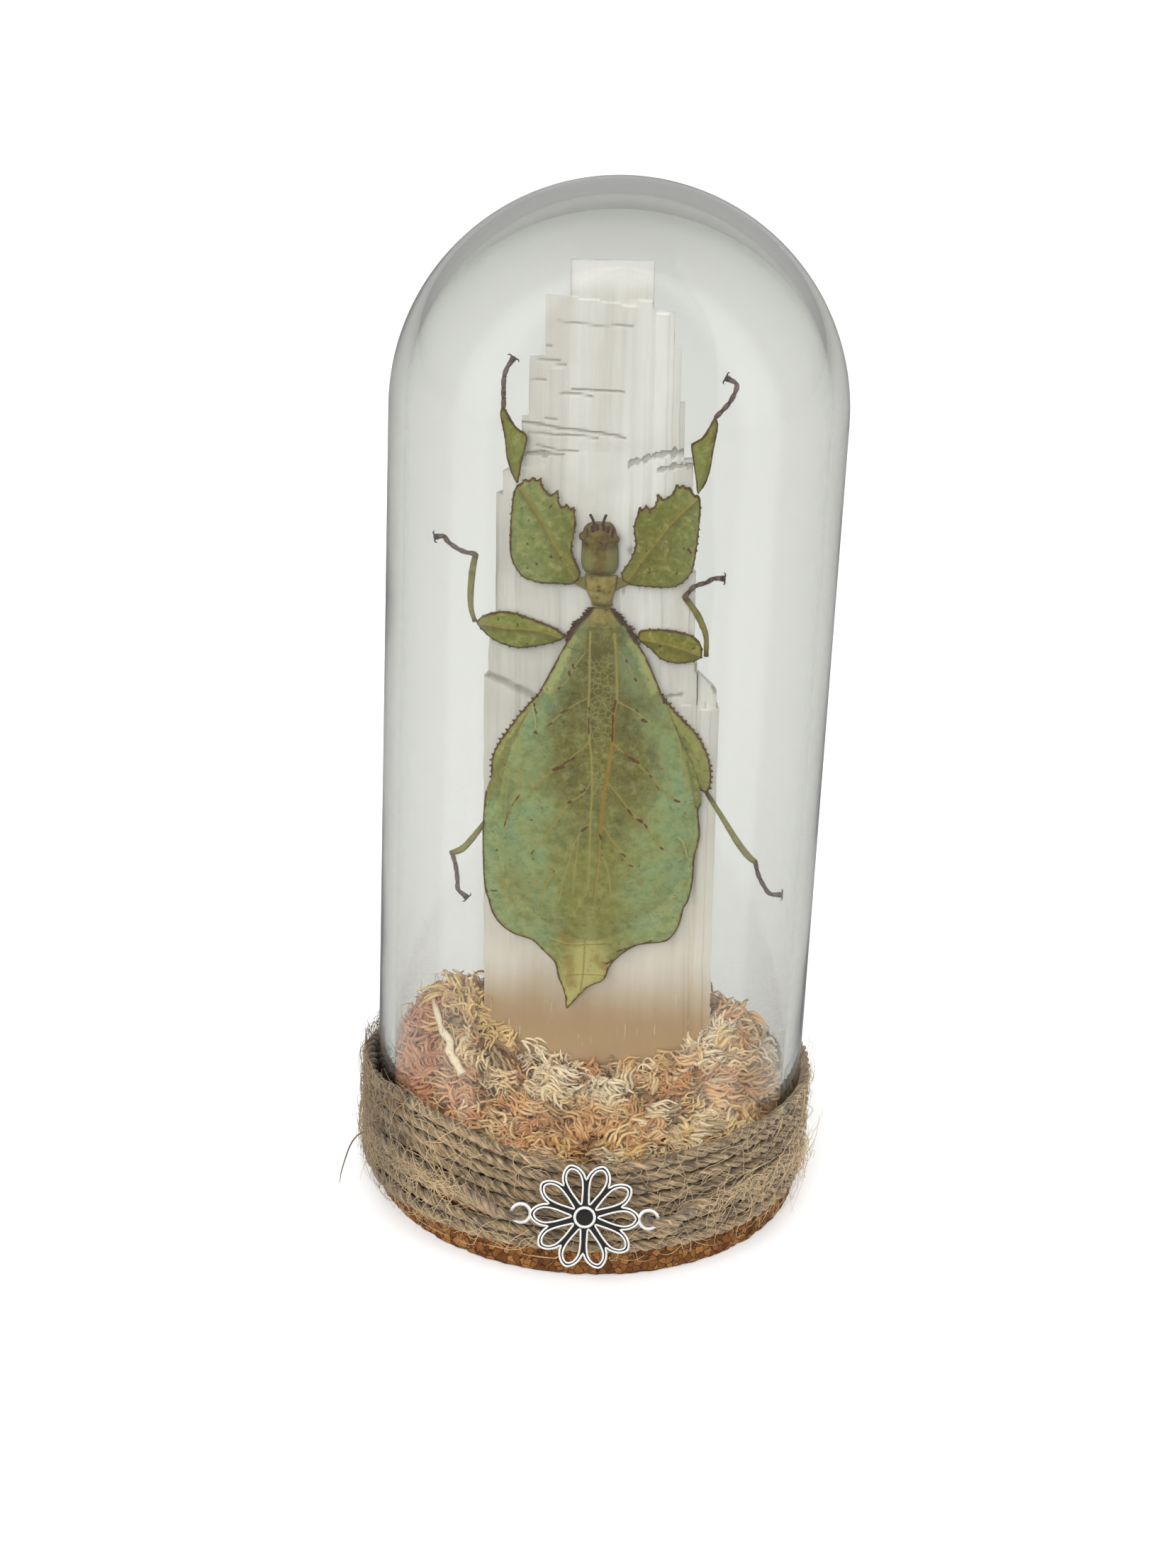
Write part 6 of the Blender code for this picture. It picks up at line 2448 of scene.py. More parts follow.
@dataclass
class Wing:
    """A leathery forewing with its veins, thin where it lies on the abdomen."""

    side: Side
    # (x, z) from the shoulder down to the tip.
    outer: tuple[Pair, ...]
    veins: tuple[Vein, ...]
    blots: dict[str, tuple[Blot, ...]]
    # A strip that has curled off the edge, and its radius.
    curl: tuple[Pair, ...]
    curl_radius: float
    # (height, x) of the line where the two wings meet.
    seam: tuple[Pair, ...] = ((62.0, -1.4), (85.0, 0.1), (110.0, -0.7), (137.0, -1.2))
    seam_gap: float = 0.02
    lift: float = 0.5
    thickness: float = 0.4
    thinnest: float = 0.1

    def build(self, trunk: Trunk, material: Material) -> None:
        """Args:
            trunk: The body that it lies on.
            material: Its finish.
        """
        outer = smooth_path(self.outer, 6)
        heights = np.linspace(outer[-1, 1], outer[0, 1], 150)
        seam = np.array(self.seam)
        inner = np.column_stack([np.interp(heights, *seam.T) + self.side.value * self.seam_gap, heights])
        outline = anticlockwise(spaced(np.vstack([outer, inner]), 0.3, True))

        def back(x: np.ndarray, z: np.ndarray) -> np.ndarray:
            """Depth of its back, which lies closest at the outer edge."""
            in_from_edge = np.clip(gaps_to_path(np.column_stack([x, z]), outer) / 4, 0, 1)
            return trunk.front(x, z) - self.lift * (0.2 + 0.8 * in_from_edge)

        def front(x: np.ndarray, z: np.ndarray, edge: np.ndarray) -> np.ndarray:
            """Depth of its face."""
            quilt = 0.2 * noise_at(x * 0.22, z * 0.22, 12.0 + self.side.value) * np.clip(edge / 2, 0, 1)
            return back(x, z) - self.thinnest - (self.thickness - self.thinnest) * np.clip(edge / 3, 0, 1) - quilt

        plate = Plate(outline, front, back, 0.55, self.veins, self.blots, plain=((0, 119), (135.4, 150)),
                      plain_edge=inner)
        wing = plate.make(f"leathery_wing_{self.side.word}", material)
        flat = smooth_path(self.curl, 6)
        path = np.column_stack([flat[:, 0], trunk.front(*flat.T) - 0.75, flat[:, 1]])
        radii = np.linspace(self.curl_radius, self.curl_radius * 0.6, len(path))
        strip = MeshMaker().add(*tube(path, radii, 8), edge=INNER, vein=FAR, warm=0.0, spot=0.0, rust=0.2, shade=0.0,
                                pale=1.0, net=0.0)
        join(wing, strip.mesh("curled_strip"))
        declare(wing, "insect_leaf", f"forewing_{self.side.word}")


@dataclass
class Shell:
    """A domed body part that is flat behind."""

    # (height, left, right) from the top down.
    rows: Sequence[Triple]
    back: float
    height: float
    # Added thickness at (share across from -1 to 1, height).
    relief: Callable[[float, float], float]
    columns: int = 28
    power: float = 0.6
    edge: float = 0.5
    # Its sides are green under this height.
    green_below: float = 0.0
    # Share of the half width from which its edge is dark.
    rim_from: float = 0.93

    def add_to(self, maker: MeshMaker) -> None:
        """Adds it to a maker.

        Args:
            maker: The maker.
        """
        fine, columns = smooth_path(self.rows, 6), self.columns
        across = np.sin(np.linspace(-1, 1, columns) * math.pi / 2)
        ahead, behind = [], []
        for z, left, right in fine:
            end = min(1.0, 0.45 + 0.55 * min(abs(z - fine[0, 0]), abs(z - fine[-1, 0])) / 1.6)
            for share in across:
                x = (left + right) / 2 + (right - left) / 2 * share
                thickness = self.edge + (self.height - self.edge) * end * (1 - share**2) ** self.power
                ahead.append((x, self.back - max(0.2, thickness + self.relief(share, z)), z))
                behind.append((x, self.back, z))
        count, last = len(ahead), len(fine) - 1
        faces = []
        for i in range(last):
            for j in range(columns - 1):
                a, b = i * columns + j, (i + 1) * columns + j
                faces += [(a, a + 1, b + 1, b), (count + b, count + b + 1, count + a + 1, count + a)]
        rim = list(range(columns)) + [i * columns + columns - 1 for i in range(1, last + 1)]
        rim += [last * columns + j for j in range(columns - 2, -1, -1)] + [i * columns for i in range(last - 1, 0, -1)]
        faces += [(first, count + first, count + second, second) for first, second in zip(rim, rim[1:] + rim[:1])]
        shares = np.tile(np.abs(across), last + 1)
        dark = np.clip((shares - self.rim_from) / (1 - self.rim_from), 0, 1)
        low = np.clip(self.green_below - np.array(ahead)[:, 2], 0, 1)
        flank = np.clip((shares - 0.25) / 0.3, 0, 1) * low
        maker.add(np.array(ahead + behind), faces, dark=np.tile(dark, 2), flank=np.tile(flank, 2))


LEGS = (
    LeafSegment(
        "fore_thigh", "fore_femur", "thigh_leaf", LEG_DEPTH,
        left=(
            (-20, 165.6), (-20.7, 163.9), (-20.9, 161.3), (-21.1, 157), (-21.1, 153.3), (-20.9, 150.9), (-20.1, 148.5),
            (-18.2, 145.9), (-16.2, 145.2), (-14.1, 144.7), (-10.4, 144.8), (-8, 144.9), (-6.3, 147), (-7.2, 149.5),
            (-8.2, 151.9), (-8.1, 154.6), (-7.6, 157.8), (-7.9, 159.8), (-8.1, 161.7), (-8.8, 161.2), (-9.6, 162.1),
            (-10.6, 161.6), (-11.3, 162.7), (-11.6, 165.1), (-12.8, 164), (-13.9, 164.7), (-14.8, 166.1),
            (-15.1, 167.5), (-16, 167), (-16.8, 167.7), (-17.5, 166.9), (-18.3, 167.2), (-19, 166.4),
        ),
        right=(
            (2.1, 147.4), (3.8, 150.7), (4.7, 154.1), (4.3, 156.9), (4.3, 158.8), (4.8, 160.6), (5.1, 162.3),
            (5.8, 161.9), (6.6, 162.7), (7.5, 162), (8.5, 163.3), (8.8, 165.4), (9.9, 164.3), (11.6, 165.4),
            (12.5, 167.6), (13.2, 167.1), (13.9, 167.6), (14.5, 166.9), (15.3, 167.1), (16.2, 165.6), (17.3, 165.2),
            (17.7, 162.4), (17.6, 158.8), (17.5, 155.7), (17.2, 152.1), (16.7, 149.1), (15.2, 146.7), (13.5, 145.5),
            (11.3, 145.1), (8, 145.1), (4.2, 145.4),
        ),
        left_rib=((-7.2, 145.8), (-11, 152), (-15.4, 159.6), (-19.4, 165.6)),
        right_rib=((3.4, 146.2), (7.4, 152.6), (12.0, 159.4), (16.8, 164.8)),
        edge=(0.26, 1.5, 0.22), edge_seed=3, seed=2.0,
        spots=26, left_spots=(-19, -9), right_spots=(6, 16), spots_up=(147, 163),
    ),
    LeafSegment(
        "fore_shank", "fore_tibia", "shank_leaf", LEG_DEPTH - 0.1,
        left=(
            (-23.6, 181.6), (-23.8, 180.1), (-22.8, 175.4), (-22.2, 171), (-20.6, 167.2), (-19.9, 166.3), (-19.5, 168),
            (-19.2, 170.3), (-18.4, 174.1), (-18.2, 175.4), (-18.7, 176.6), (-20.5, 177.8), (-21.9, 180),
            (-22.9, 181.6),
        ),
        right=(
            (17.1, 166.1), (18.4, 168.2), (19.2, 171), (19.6, 175), (20.2, 179.8), (19.8, 181.6), (19.2, 181.6),
            (18.4, 179.8), (17, 177.4), (15.2, 176.2), (15, 175.4), (15.6, 172.4), (16.4, 168.4), (16.7, 166.3),
        ),
        left_rib=((-20, 166.8), (-21, 172), (-22.6, 178), (-23.2, 181.2)),
        right_rib=((17.0, 166.6), (17.9, 171.4), (18.7, 177.0), (19.5, 181.2)),
        edge=(0.25, 1.4, 0.1), edge_seed=7, seed=3.0,
    ),
    FootSegment(
        "fore_foot", "fore_tarsus", "foot_shell", LEG_DEPTH,
        ((-23.2, 182.5), (-23.3, 187.4), (-22.8, 189.8), (-21.8, 191.6)),
        ((20, 182.4), (22.1, 185), (23.3, 187.8), (23.2, 189.2), (21.9, 189.9)),
    ),
    LeafSegment(
        "mid_thigh", "mid_femur", "mid_thigh_leaf", LEG_DEPTH,
        left=(
            (-9.2, 133.5), (-11.8, 135.2), (-17.2, 137.1), (-19.5, 137.8), (-22.4, 138), (-25.2, 137.3),
            (-26.9, 136.1), (-27.3, 135), (-24.7, 132.3), (-21.9, 130.8), (-18.3, 130.1), (-13.6, 131), (-9.9, 132.3),
        ),
        right=(
            (6.2, 134.2), (7.2, 135.4), (12.6, 135.7), (17.4, 134.7), (19.2, 133), (19.7, 131.2), (19.4, 129.8),
            (17, 128.7), (14.1, 128.4), (11.2, 129.2), (8.7, 131.5), (6.8, 132.8),
        ),
        left_rib=((-9.8, 133), (-15, 134.4), (-21, 134.6), (-26.6, 135.4)),
        right_rib=((6.8, 133.6), (10.6, 133.0), (15.0, 132.0), (19.2, 130.6)),
        edge=(0.26, 1.7, 0.3), edge_seed=11, seed=4.0,
        spots=10, left_spots=(-25, -12), right_spots=(8, 18), spots_up=(131, 137),
    ),
    RodSegment(
        "mid_shank", "mid_tibia", "shank_shell", LEG_DEPTH,
        ((-28, 136.4), (-28.6, 138.4), (-28.8, 142.1), (-28.5, 147.1), (-28.1, 149.6)),
        ((20.5, 131.2), (20.3, 134.6), (19.3, 137.4), (17.8, 140.2), (16, 142.5)),
        (0.5, 0.55, 0.68, 0.7, 0.6),
    ),
    FootSegment(
        "mid_foot", "mid_tarsus", "foot_shell", LEG_DEPTH,
        ((-28.6, 150.6), (-30.8, 151), (-33.6, 152.8), (-34.4, 154), (-35.6, 153.9)),
        ((15.7, 143.6), (17.3, 145.6), (19.6, 146.6), (21.2, 147.6), (22.6, 147.7)),
    ),
    LeafSegment(
        "hind_thigh", "hind_femur", "hind_thigh_leaf", UNDER_DEPTH,
        left=(
            (-5.5, 128.6), (-10, 124.4), (-14.6, 118.9), (-17.2, 115.6), (-19.3, 112.4), (-22, 108), (-23.4, 104.3),
            (-23.5, 100), (-23.1, 95.8), (-22.4, 93.4), (-21.4, 93.2), (-20.4, 97), (-19.6, 103), (-17.5, 109.6),
            (-13, 116.6), (-8, 122.6), (-4.6, 126.6),
        ),
        right=(
            (3, 128.6), (8, 124.6), (12.4, 119.9), (14.6, 117.2), (17.3, 114.5), (20.4, 110.9), (22.6, 106.1),
            (23.2, 102), (22.9, 99.2), (21.9, 98.6), (20.2, 100.4), (17.6, 106), (15, 111), (11, 116.4), (6, 122.6),
            (2.2, 126.6),
        ),
        left_rib=((-7, 126), (-14, 117.6), (-20, 107), (-22.4, 97)),
        right_rib=((5.0, 126.0), (12.6, 117.4), (19.6, 107.6), (22.4, 100.6)),
        edge=(0.26, 1.2, 0.5), edge_seed=17, seed=6.0, thickness=0.7,
    ),
    RodSegment(
        "hind_shank", "hind_tibia", "shank_shell", UNDER_DEPTH,
        ((-22.5, 92.3), (-25.1, 88.1), (-27.9, 83.9), (-29.6, 82.1), (-31, 81.5)),
        ((22.9, 97.8), (25.4, 94), (29.5, 87.5), (32.2, 84), (33.2, 83.2)),
        (0.45, 0.55, 0.72, 0.75, 0.55),
    ),
    FootSegment(
        "hind_foot", "hind_tarsus", "foot_shell", UNDER_DEPTH,
        ((-31.1, 80.3), (-30.5, 78), (-30.1, 75), (-29.9, 72.6), (-28.5, 71.2)),
        ((33.9, 82.2), (34.6, 79.6), (36.3, 76.4), (37.4, 75.2), (39, 75.1)),
    ),
)

WINGS = (
    Wing(
        Side.LEFT,
        outer=(
            (-5.6, 136.6), (-7.6, 134), (-9.6, 130), (-12.3, 124), (-14.7, 118.7), (-17.2, 113), (-19.4, 107),
            (-20.8, 101), (-21.5, 95), (-21.6, 89), (-20.8, 83), (-19, 77), (-16, 72), (-11.8, 68), (-7.2, 65),
            (-3.6, 63.2),
        ),
        veins=(
            (1, 0, ((-3.7, 135.5), (-3.6, 130.2), (-3.4, 123.8), (-3.4, 118.5), (-3.2, 114.7), (-2.9, 111.4),
                (-2.4, 107.7), (-2, 102.2), (-1.9, 97.8), (-1.9, 92.2), (-1.8, 84), (-1.7, 76))),
            (0.9, 0.5, ((-2.9, 111.4), (-3.9, 109.5), (-6.1, 107.5), (-7.7, 105.4), (-9.2, 104.3), (-11.2, 102.8),
                (-13.3, 100.5), (-15, 98.2))),
            (0.8, 0.3, ((-2.1, 101.9), (-3.2, 99.6), (-4.7, 97.9), (-6.6, 96.4), (-8.3, 93.5), (-9.5, 91.2),
                (-10.9, 88.9), (-12.6, 86.3), (-14.2, 83.8))),
            (0.75, 0.1, ((-1.9, 92.2), (-3, 90.5), (-4.3, 88.7), (-5.4, 86.1), (-6.1, 82.4), (-6.8, 79.6),
                (-7.4, 76.7), (-7.9, 72.4))),
            (0.7, 0.1, ((-6.2, 81.6), (-7.8, 80.4), (-9.1, 79.2), (-10.4, 77.4), (-11.4, 74.5), (-11.5, 71.3))),
            (0.6, 0.3, ((-4.5, 131), (-5.4, 129.6), (-6.6, 127.7), (-7.4, 125.7), (-8.2, 124.1), (-9.9, 122.2))),
            (0.6, 0.3, ((-3.5, 120.9), (-6.3, 119.1), (-8.3, 117.4), (-9.6, 116.2), (-11.8, 113.8))),
            (0.7, 0, ((-2.2, 74.7), (-3.7, 71.8), (-4.6, 69))), (0.6, 0, ((-4.2, 88.8), (-4.8, 80), (-5, 74))),
            (0.7, 0.1, ((-16.4, 115.6), (-17.9, 109), (-18.8, 105.6), (-19.6, 101.2), (-20.1, 96.7), (-20.3, 88.4))),
            (0.7, 0.9, ((-17.3, 97.2), (-18.2, 95.8), (-19.6, 92.3), (-20.3, 89.2))),
        ),
        blots={
            "spot": (
                (-10.2, 103.9, -8.2, 104.8, 0.55), (-8.2, 105.3, -6, 107, 0.28), (-4.1, 99, -3.3, 99.6, 0.35),
                (-6.7, 96.4, -6.2, 96.6, 0.3), (-14.2, 83.8, -13.7, 84.6, 0.3), (-3.6, 89.9, -2.6, 91, 0.4),
                (-7.1, 127.8, -6.8, 127.2, 0.35), (-7.7, 126.1, -7.5, 125.3, 0.38), (-10.1, 122, -9.5, 122.5, 0.35),
                (-9.1, 116.9, -7.6, 117.9, 0.35), (-11.8, 113.8, -10.9, 114.6, 0.25), (-10.7, 113, -10.3, 112.8, 0.35),
                (-3.3, 118.8, -3.1, 112.6, 0.22), (-14.9, 117.9, -14.2, 116, 0.3), (-14.5, 115, -14.2, 112.3, 0.25),
                (-14.6, 111.9, -13.8, 111.8, 0.4), (-17.3, 97.2, -18.6, 94.8, 0.2), (-19.4, 93, -20.2, 89.4, 0.2),
                (-9.3, 80.6, -9.2, 79.2, 0.16), (-14.6, 91.7, -14.2, 91.6, 0.3), (-13.6, 96.2, -13.2, 95.8, 0.2),
                (-14.4, 119.9, -13.4, 121, 0.4),
            ),
            "shade": (
                (-8.4, 134, -7.4, 131, 1.6), (-8.6, 121.5, -6.6, 119.6, 2.4), (-11.6, 118, -9.8, 115.4, 1.8),
                (-4.2, 90, -3.6, 87.4, 1.8), (-9.2, 88, -7.4, 86.6, 1.2), (-2.6, 130, -2.4, 112, 0.7),
                (-2.8, 101, -2.8, 94, 0.7), (-19.2, 100, -20, 92, 1.2), (-5.6, 104, -7, 99, 1.2),
            ),
            "pale": ((-7.4, 133.4, -12.2, 121.6, 1.5),),
            "net": ((-2.2, 129, -1.8, 112, 1.6), (-1.2, 112, -1.2, 98, 0.9)),
        },
        curl=((-15.3, 118), (-14.9, 116.4), (-14.4, 114.4), (-14.3, 112.7)), curl_radius=0.3,
    ),
    Wing(
        Side.RIGHT,
        outer=(
            (3.2, 136.6), (5.2, 134), (7.9, 130), (10.7, 124), (12.9, 118.7), (15.3, 113), (17.4, 107), (19, 101),
            (20, 95), (19.9, 89), (18.8, 83), (16.6, 77), (13.2, 72), (9, 68), (4.6, 65), (1, 63.2),
        ),
        veins=(
            (1.3, 0.25, ((1.4, 135.3), (1.9, 130.5), (2.2, 126.3), (2.4, 122.5), (2.4, 120.4), (1.9, 117.7))),
            (1.7, 1, ((1.9, 117.7), (1.8, 114.4), (1.9, 110.9), (1.6, 107.9), (1.2, 102.9), (0.6, 97.9), (0.4, 93.5),
                (0.3, 88.4))),
            (1.1, 0.6, ((0.3, 88.4), (0.2, 85.1), (0.1, 81.1), (-0.1, 77.1), (-0.5, 73.7))),
            (0.9, 0.6, ((2.2, 110.7), (3.9, 109.1), (6, 107.6), (8.6, 105), (10.2, 103.4), (11.8, 101.7), (13.4, 99.7),
                (15, 98.4), (16.5, 97.6))),
            (0.9, 0.5, ((1.3, 101.6), (3.1, 99.4), (4.7, 97.3), (6.3, 95.2), (7.4, 93.8), (8.7, 92.8), (9.9, 91.5),
                (11.1, 89.6), (12.5, 87.7), (13.5, 86.2))),
            (0.8, 0.3, ((0.9, 91), (2.8, 88), (4.2, 86.4), (5.2, 84.9), (6.3, 83.1), (7.4, 81.8), (8.5, 79.6),
                (9.7, 77.7))),
            (0.6, 0.3, ((2.4, 131.4), (3.2, 130.6), (4.1, 129.3), (4.6, 128.3), (5.4, 126.7), (6.1, 124.9))),
            (0.6, 0.2, ((2.5, 120.3), (3.9, 119.7), (5.5, 118.7), (7, 117.7), (9.1, 115.9), (11.2, 114.4))),
            (0.6, 0, ((0.9, 84), (2.4, 80), (3.2, 74))), (0.5, 0, ((12, 112), (13.4, 104), (14.6, 99))),
            (0.8, 0, ((14.1, 118.3), (15.2, 114.1), (16, 110.8), (16.9, 106.5), (17.9, 103.3), (18.6, 100))),
        ),
        blots={
            "spot": (
                (5.6, 107.8, 7.6, 106.3, 0.5), (4.4, 108.8, 5.4, 108, 0.25), (10, 103.6, 10.6, 103.2, 0.28),
                (11.6, 101, 12.1, 100.2, 0.28), (15.6, 97.9, 16.5, 97.5, 0.32), (6, 95.3, 6.7, 94.2, 0.4),
                (8, 93.2, 9, 92.7, 0.45), (9.7, 92, 10.1, 91.2, 0.3), (13.1, 86.9, 13.9, 86.1, 0.35),
                (5.1, 84.9, 5.7, 84.4, 0.3), (6.8, 82.2, 7.8, 81.8, 0.3), (3.9, 129.7, 4.3, 128.9, 0.22),
                (5.9, 125.5, 6.3, 124.9, 0.3), (8, 116.2, 8.9, 115.8, 0.5), (6.6, 118.5, 7, 118.1, 0.3),
                (2.2, 120.4, 1.9, 118, 0.4), (1.8, 117.4, 1.9, 111.2, 0.3), (0.2, 89.2, 0.5, 88, 0.3),
                (12, 122.6, 13.4, 121.6, 0.4), (11, 121.4, 12.2, 121, 0.25), (13.6, 120.4, 14.4, 118.8, 0.35),
                (3.6, 67.8, 4.1, 67.7, 0.3), (12.6, 105.2, 12.9, 105, 0.25),
            ),
            "shade": (
                (7.4, 119.8, 9.4, 117.6, 2), (6.4, 114.6, 6, 111.6, 2.2), (4.2, 93.6, 3.6, 90, 1.9),
                (6.4, 103.4, 5, 101.4, 1.4), (1, 89.6, -0.4, 86, 1.3), (0.9, 130, 0.9, 112, 0.7),
                (4, 118, 4.4, 113, 1.2), (9.8, 109, 11, 106, 1),
            ),
            "pale": ((5.6, 133.2, 10.2, 122.6, 1.5),),
            "net": ((0.2, 130, 0.6, 112, 1.5), (0, 112, -0.4, 98, 0.9)),
        },
        curl=((16.6, 89), (17.8, 88.2), (18.6, 86.1), (19.1, 84.2), (20.1, 83.7)), curl_radius=0.38,
    ),
)


@dataclass
class Insect:
    """A grown female leaf insect, dried with its legs spread."""

    trunk: Trunk = field(default_factory=Trunk)
    segments: tuple[Segment, ...] = LEGS
    wings: tuple[Wing, ...] = WINGS
    specimen_back: float = -8.4
    head_rows: tuple[Triple, ...] = (
        (158.3, -4.3, -0.7), (157.4, -5.6, 0.2), (155.8, -6.2, 0.8), (152, -6.3, 1.3), (149, -6.2, 1.4),
        (147.4, -5.4, 0.8),
    )
    # (x, z) of each eye.
    eyes: tuple[Pair, ...] = ((-6, 155.7), (0.5, 155.4))
    # (x, z, how far it leans, length, radius).
    mouthparts: tuple[tuple[float, ...], ...] = (
        (-3.9, 157.6, -0.25, 1.6, 0.55), (-1.3, 157.6, 0.3, 1.5, 0.5), (-3.1, 158, -0.1, 1.1, 0.45),
        (-2, 158, 0.15, 1.1, 0.45), (-4.9, 156.9, -0.35, 1.5, 0.32), (-0.4, 157, 0.4, 1.4, 0.32),
    )
    feelers: tuple[tuple[str, tuple[Pair, ...]], ...] = (
        ("left", ((-3.7, 158.2), (-4.2, 159.5), (-4.8, 160.6))),
        ("right", ((-2.2, 158.2), (-1.9, 159.5), (-1.5, 160.7))),
    )
    shield_rows: tuple[Triple, ...] = (
        (146.9, -5.4, 1.4), (145.2, -5.3, 1.3), (143.4, -4.9, 1), (141.2, -3.9, 0.5), (140.3, -3.8, 0.7),
    )
    # Tip, upper and lower corner of each.
    hips: tuple[tuple[Pair, ...], ...] = (
        ((-8, 145.3), (-4, 147), (-3.6, 142.4)), ((4.3, 145.8), (-0.4, 147), (-0.2, 142.4)),
    )
    thorax_rows: tuple[Triple, ...] = (
        (139.9, -3.4, 0.4), (138.4, -4.7, 1.8), (136, -7, 4.1), (133.8, -8.3, 5.6), (131.2, -8.7, 6.4),
    )
    thorns: int = 15

    @staticmethod
    def finishes() -> dict[str, Material]:
        """Makes the insect's finishes, by name.

        Returns:
            The materials.
        """
        thigh, mid, hind, shank = paint(118, 120, 46), paint(122, 122, 36), paint(170, 170, 92), paint(140, 144, 66)
        freckle = paint(140, 124, 54)
        kinds = (
            LeafFinish("wing_leaf", paint(116, 112, 48), paint(142, 142, 70), paint(150, 168, 108), tail=True,
                       narrow=3.2, pale=paint(176, 182, 116), vein=paint(168, 158, 86)),
            LeafFinish("belly_leaf", paint(144, 144, 76), paint(152, 154, 86), paint(158, 174, 116), tail=True,
                       narrow=2.0, strip=paint(128, 126, 62)),
            LeafFinish("thigh_leaf", thigh, thigh, paint(138, 150, 88), (8.0, 19.0), 1.5, 6.0, 0.4, rust=freckle),
            LeafFinish("mid_thigh_leaf", mid, mid, paint(130, 138, 62), (14.0, 24.0), 6.0, 6.0, 0.3, rust=freckle),
            LeafFinish("hind_thigh_leaf", hind, hind, paint(154, 156, 88), vein_share=0.25),
            LeafFinish("shank_leaf", shank, shank, paint(136, 144, 70), vein_share=0.3),
            ShellFinish("head_shell", paint(102, 86, 32), paint(134, 119, 54), paint(74, 38, 26)),
            ShellFinish("chest_shell", paint(140, 124, 62), paint(168, 152, 88), paint(70, 44, 26)),
            ShellFinish("shank_shell", paint(126, 122, 56), paint(148, 140, 76), paint(84, 72, 36)),
            ShellFinish("foot_shell", paint(92, 74, 62), paint(124, 104, 88), paint(52, 38, 32), 1.4, 0.6),
        )
        return {kind.name: kind.make() for kind in kinds}

    @staticmethod
    def head_relief(share: float, z: float) -> float:
        """Added thickness of the head: a groove down its middle, a brow, a fold and lumps.

        Args:
            share: Place across, from -1 to 1.
            z: Height.

        Returns:
            The thickness.
        """
        groove = -0.35 * bell(share, 0, 0.06) * (1 if z < 156 else 0)
        lumps = 0.28 * noise.noise(Vector((share * 3, z * 0.8, 4)))
        return groove + 0.3 * bell(z, 155.2, 0.5) + lumps - 0.25 * bell(z, 151.6, 0.35)

    @staticmethod
    def shield_relief(share: float, z: float) -> float:
        """Added thickness of the shield: raised rims, a line down its middle, a fold and a lip.

        Args:
            share: Place across, from -1 to 1.
            z: Height.

        Returns:
            The thickness.
        """
        rims, line = 0.35 * bell(abs(share), 0.82, 0.1), -0.3 * bell(share, 0, 0.07)
        fold, lip = -0.3 * bell(z, 143.9, 0.3) * (abs(share) < 0.7), 0.25 * bell(z, 141.3, 0.35)
        return rims + line + fold + lip + 0.12 * noise.noise(Vector((share * 4, z, 1)))

    @staticmethod
    def thorax_relief(share: float, z: float) -> float:
        """Added thickness of the thorax: two keels, a line between them and lumps."""
        lumps = 0.2 * noise.noise(Vector((share * 3, z * 0.7, 7)))
        return 0.35 * bell(abs(share), 0.28, 0.08) - 0.15 * bell(share, 0, 0.06) + lumps

    def head(self, finishes: dict[str, Material]) -> None:
        """Makes the head with its eyes, mouthparts and feelers.

        Args:
            finishes: The insect's finishes.
        """
        back = self.specimen_back
        maker = MeshMaker()
        Shell(self.head_rows, back, 4.2, self.head_relief, green_below=153.6).add_to(maker)
        for x, z in self.eyes:
            ball, faces = revolved([(0.95 * math.sin(t), 0.95 * math.cos(t)) for t in np.linspace(0, math.pi, 11)], 18)
            maker.add(ball + (x, back - 2.1, z), faces, dark=0.45, flank=0.0)
        for x, z, way, length, radius in self.mouthparts:
            path = smooth_path([(x, back - 2.8, z - 1.0), (x + way, back - 3.0, z),
                                (x + way * 1.3, back - 2.5, z + length * 0.45)], 5)
            maker.add(*tube(path, np.linspace(radius, radius * 0.5, len(path)), 9), dark=1.0, flank=0.0)
        declare(maker.piece("head_capsule", finishes["head_shell"], closed=True), "insect_body", "head")
        for side, line in self.feelers:
            path = smooth_path([(x, back - 2.4, z) for x, z in line], 10)
            beads = 0.24 + 0.07 * np.abs(np.sin(np.linspace(0, math.pi * 6, len(path))))
            horn = MeshMaker().add(*tube(path, beads, 9), dark=0.7)
            declare(horn.piece(f"feeler_{side}", finishes["foot_shell"]), "insect_feet", f"antenna_{side}")

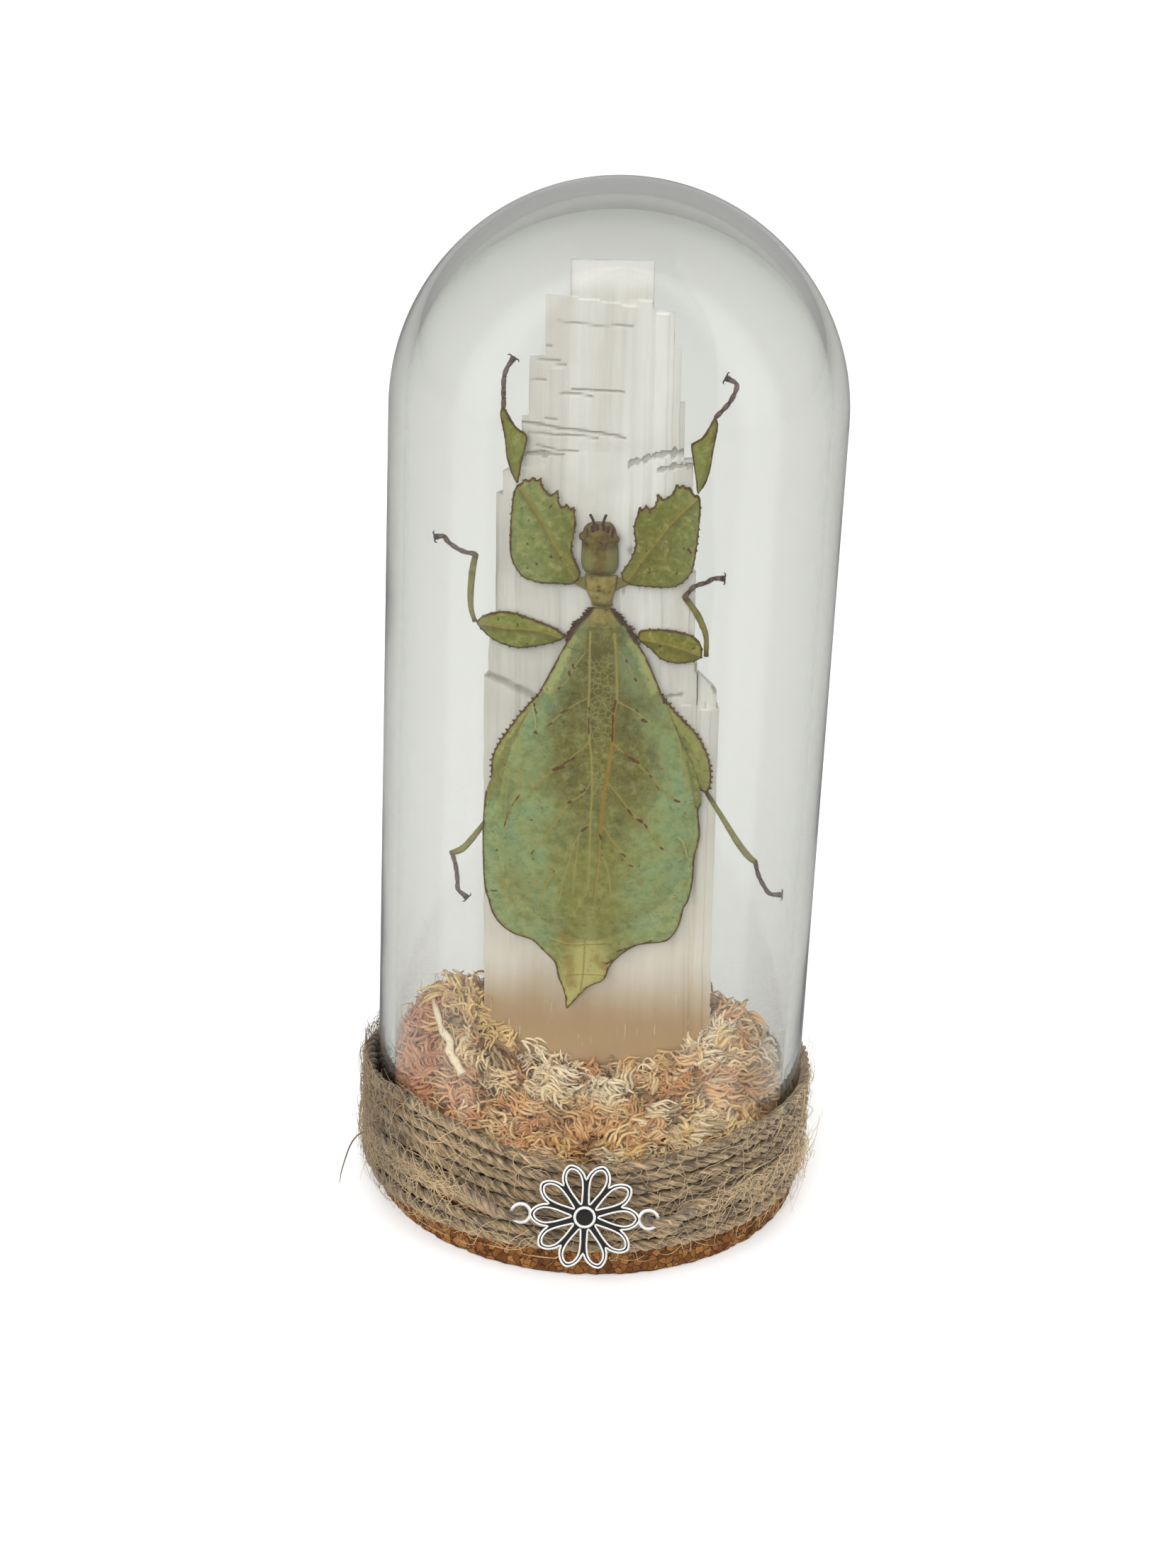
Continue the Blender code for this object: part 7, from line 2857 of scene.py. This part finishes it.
    def shield(self, material: Material) -> None:
        """Makes the shield behind the head and the front hips.

        Args:
            material: Its finish.
        """
        maker = MeshMaker()
        Shell(self.shield_rows, self.specimen_back - 0.4, 3.2, self.shield_relief).add_to(maker)
        for corners in self.hips:
            tip, upper, lower = (np.array((x, UNDER_DEPTH, z)) for x, z in corners)
            path = smooth_path([(upper + lower) / 2, (upper + lower + tip) / 3, tip], 6)
            maker.add(*tube(path, np.linspace(2.3, 0.55, len(path)), 12, 0.3), dark=0.3, flank=0.5)
        declare(maker.piece("neck_shield", material, closed=True), "insect_body", "prothorax")

    def thorax(self, material: Material) -> None:
        """Makes the thorax with its thorny edges.

        Args:
            material: Its finish.
        """
        rows, back = self.thorax_rows, self.trunk.back
        maker = MeshMaker()
        Shell(rows, back, 3.0, self.thorax_relief, 40, green_below=138.6, rim_from=0.66).add_to(maker)
        dice = random.Random(SEED + 9)
        for side, column in ((-1, 1), (1, 2)):
            for i in range(self.thorns):
                z = 139.6 - i * 0.52
                edge = float(row_value(np.array(rows), column, np.array(z)))
                base = np.array([edge - side * 0.15, back - 0.4, z])
                way = (side * dice.uniform(0.5, 1.3), -dice.uniform(0.1, 0.4), dice.uniform(-0.1, 0.4))
                tip = base + np.array(way)
                maker.add(*tube([base, (base + tip) / 2, tip], [0.42, 0.32, 0.08], 6), dark=1.0, flank=0.0)
        declare(maker.piece("thorax_shell", material, closed=True), "insect_body", "thorax")

    def build(self) -> None:
        """Makes and declares every piece of the insect."""
        finishes = self.finishes()
        self.head(finishes)
        self.shield(finishes["chest_shell"])
        self.thorax(finishes["chest_shell"])
        Abdomen().build(self.trunk, finishes["belly_leaf"])
        for wing in self.wings:
            wing.build(self.trunk, finishes["wing_leaf"])
        dice = random.Random(SEED + 5)
        for side in Side:
            for segment in self.segments:
                segment.build(side, finishes, dice)


def main() -> None:
    """Builds the room and every piece in order."""
    logging.basicConfig(level=logging.INFO, format="%(name)s: %(message)s")
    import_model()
    for part in (Studio(), CorkBase(), GlassDome(), Crystal(), MossBed(), Twine(), CharmFlower(), Insect()):
        part.build()
        log.info("%s done", type(part).__name__)


if __name__ == "__main__":
    main()
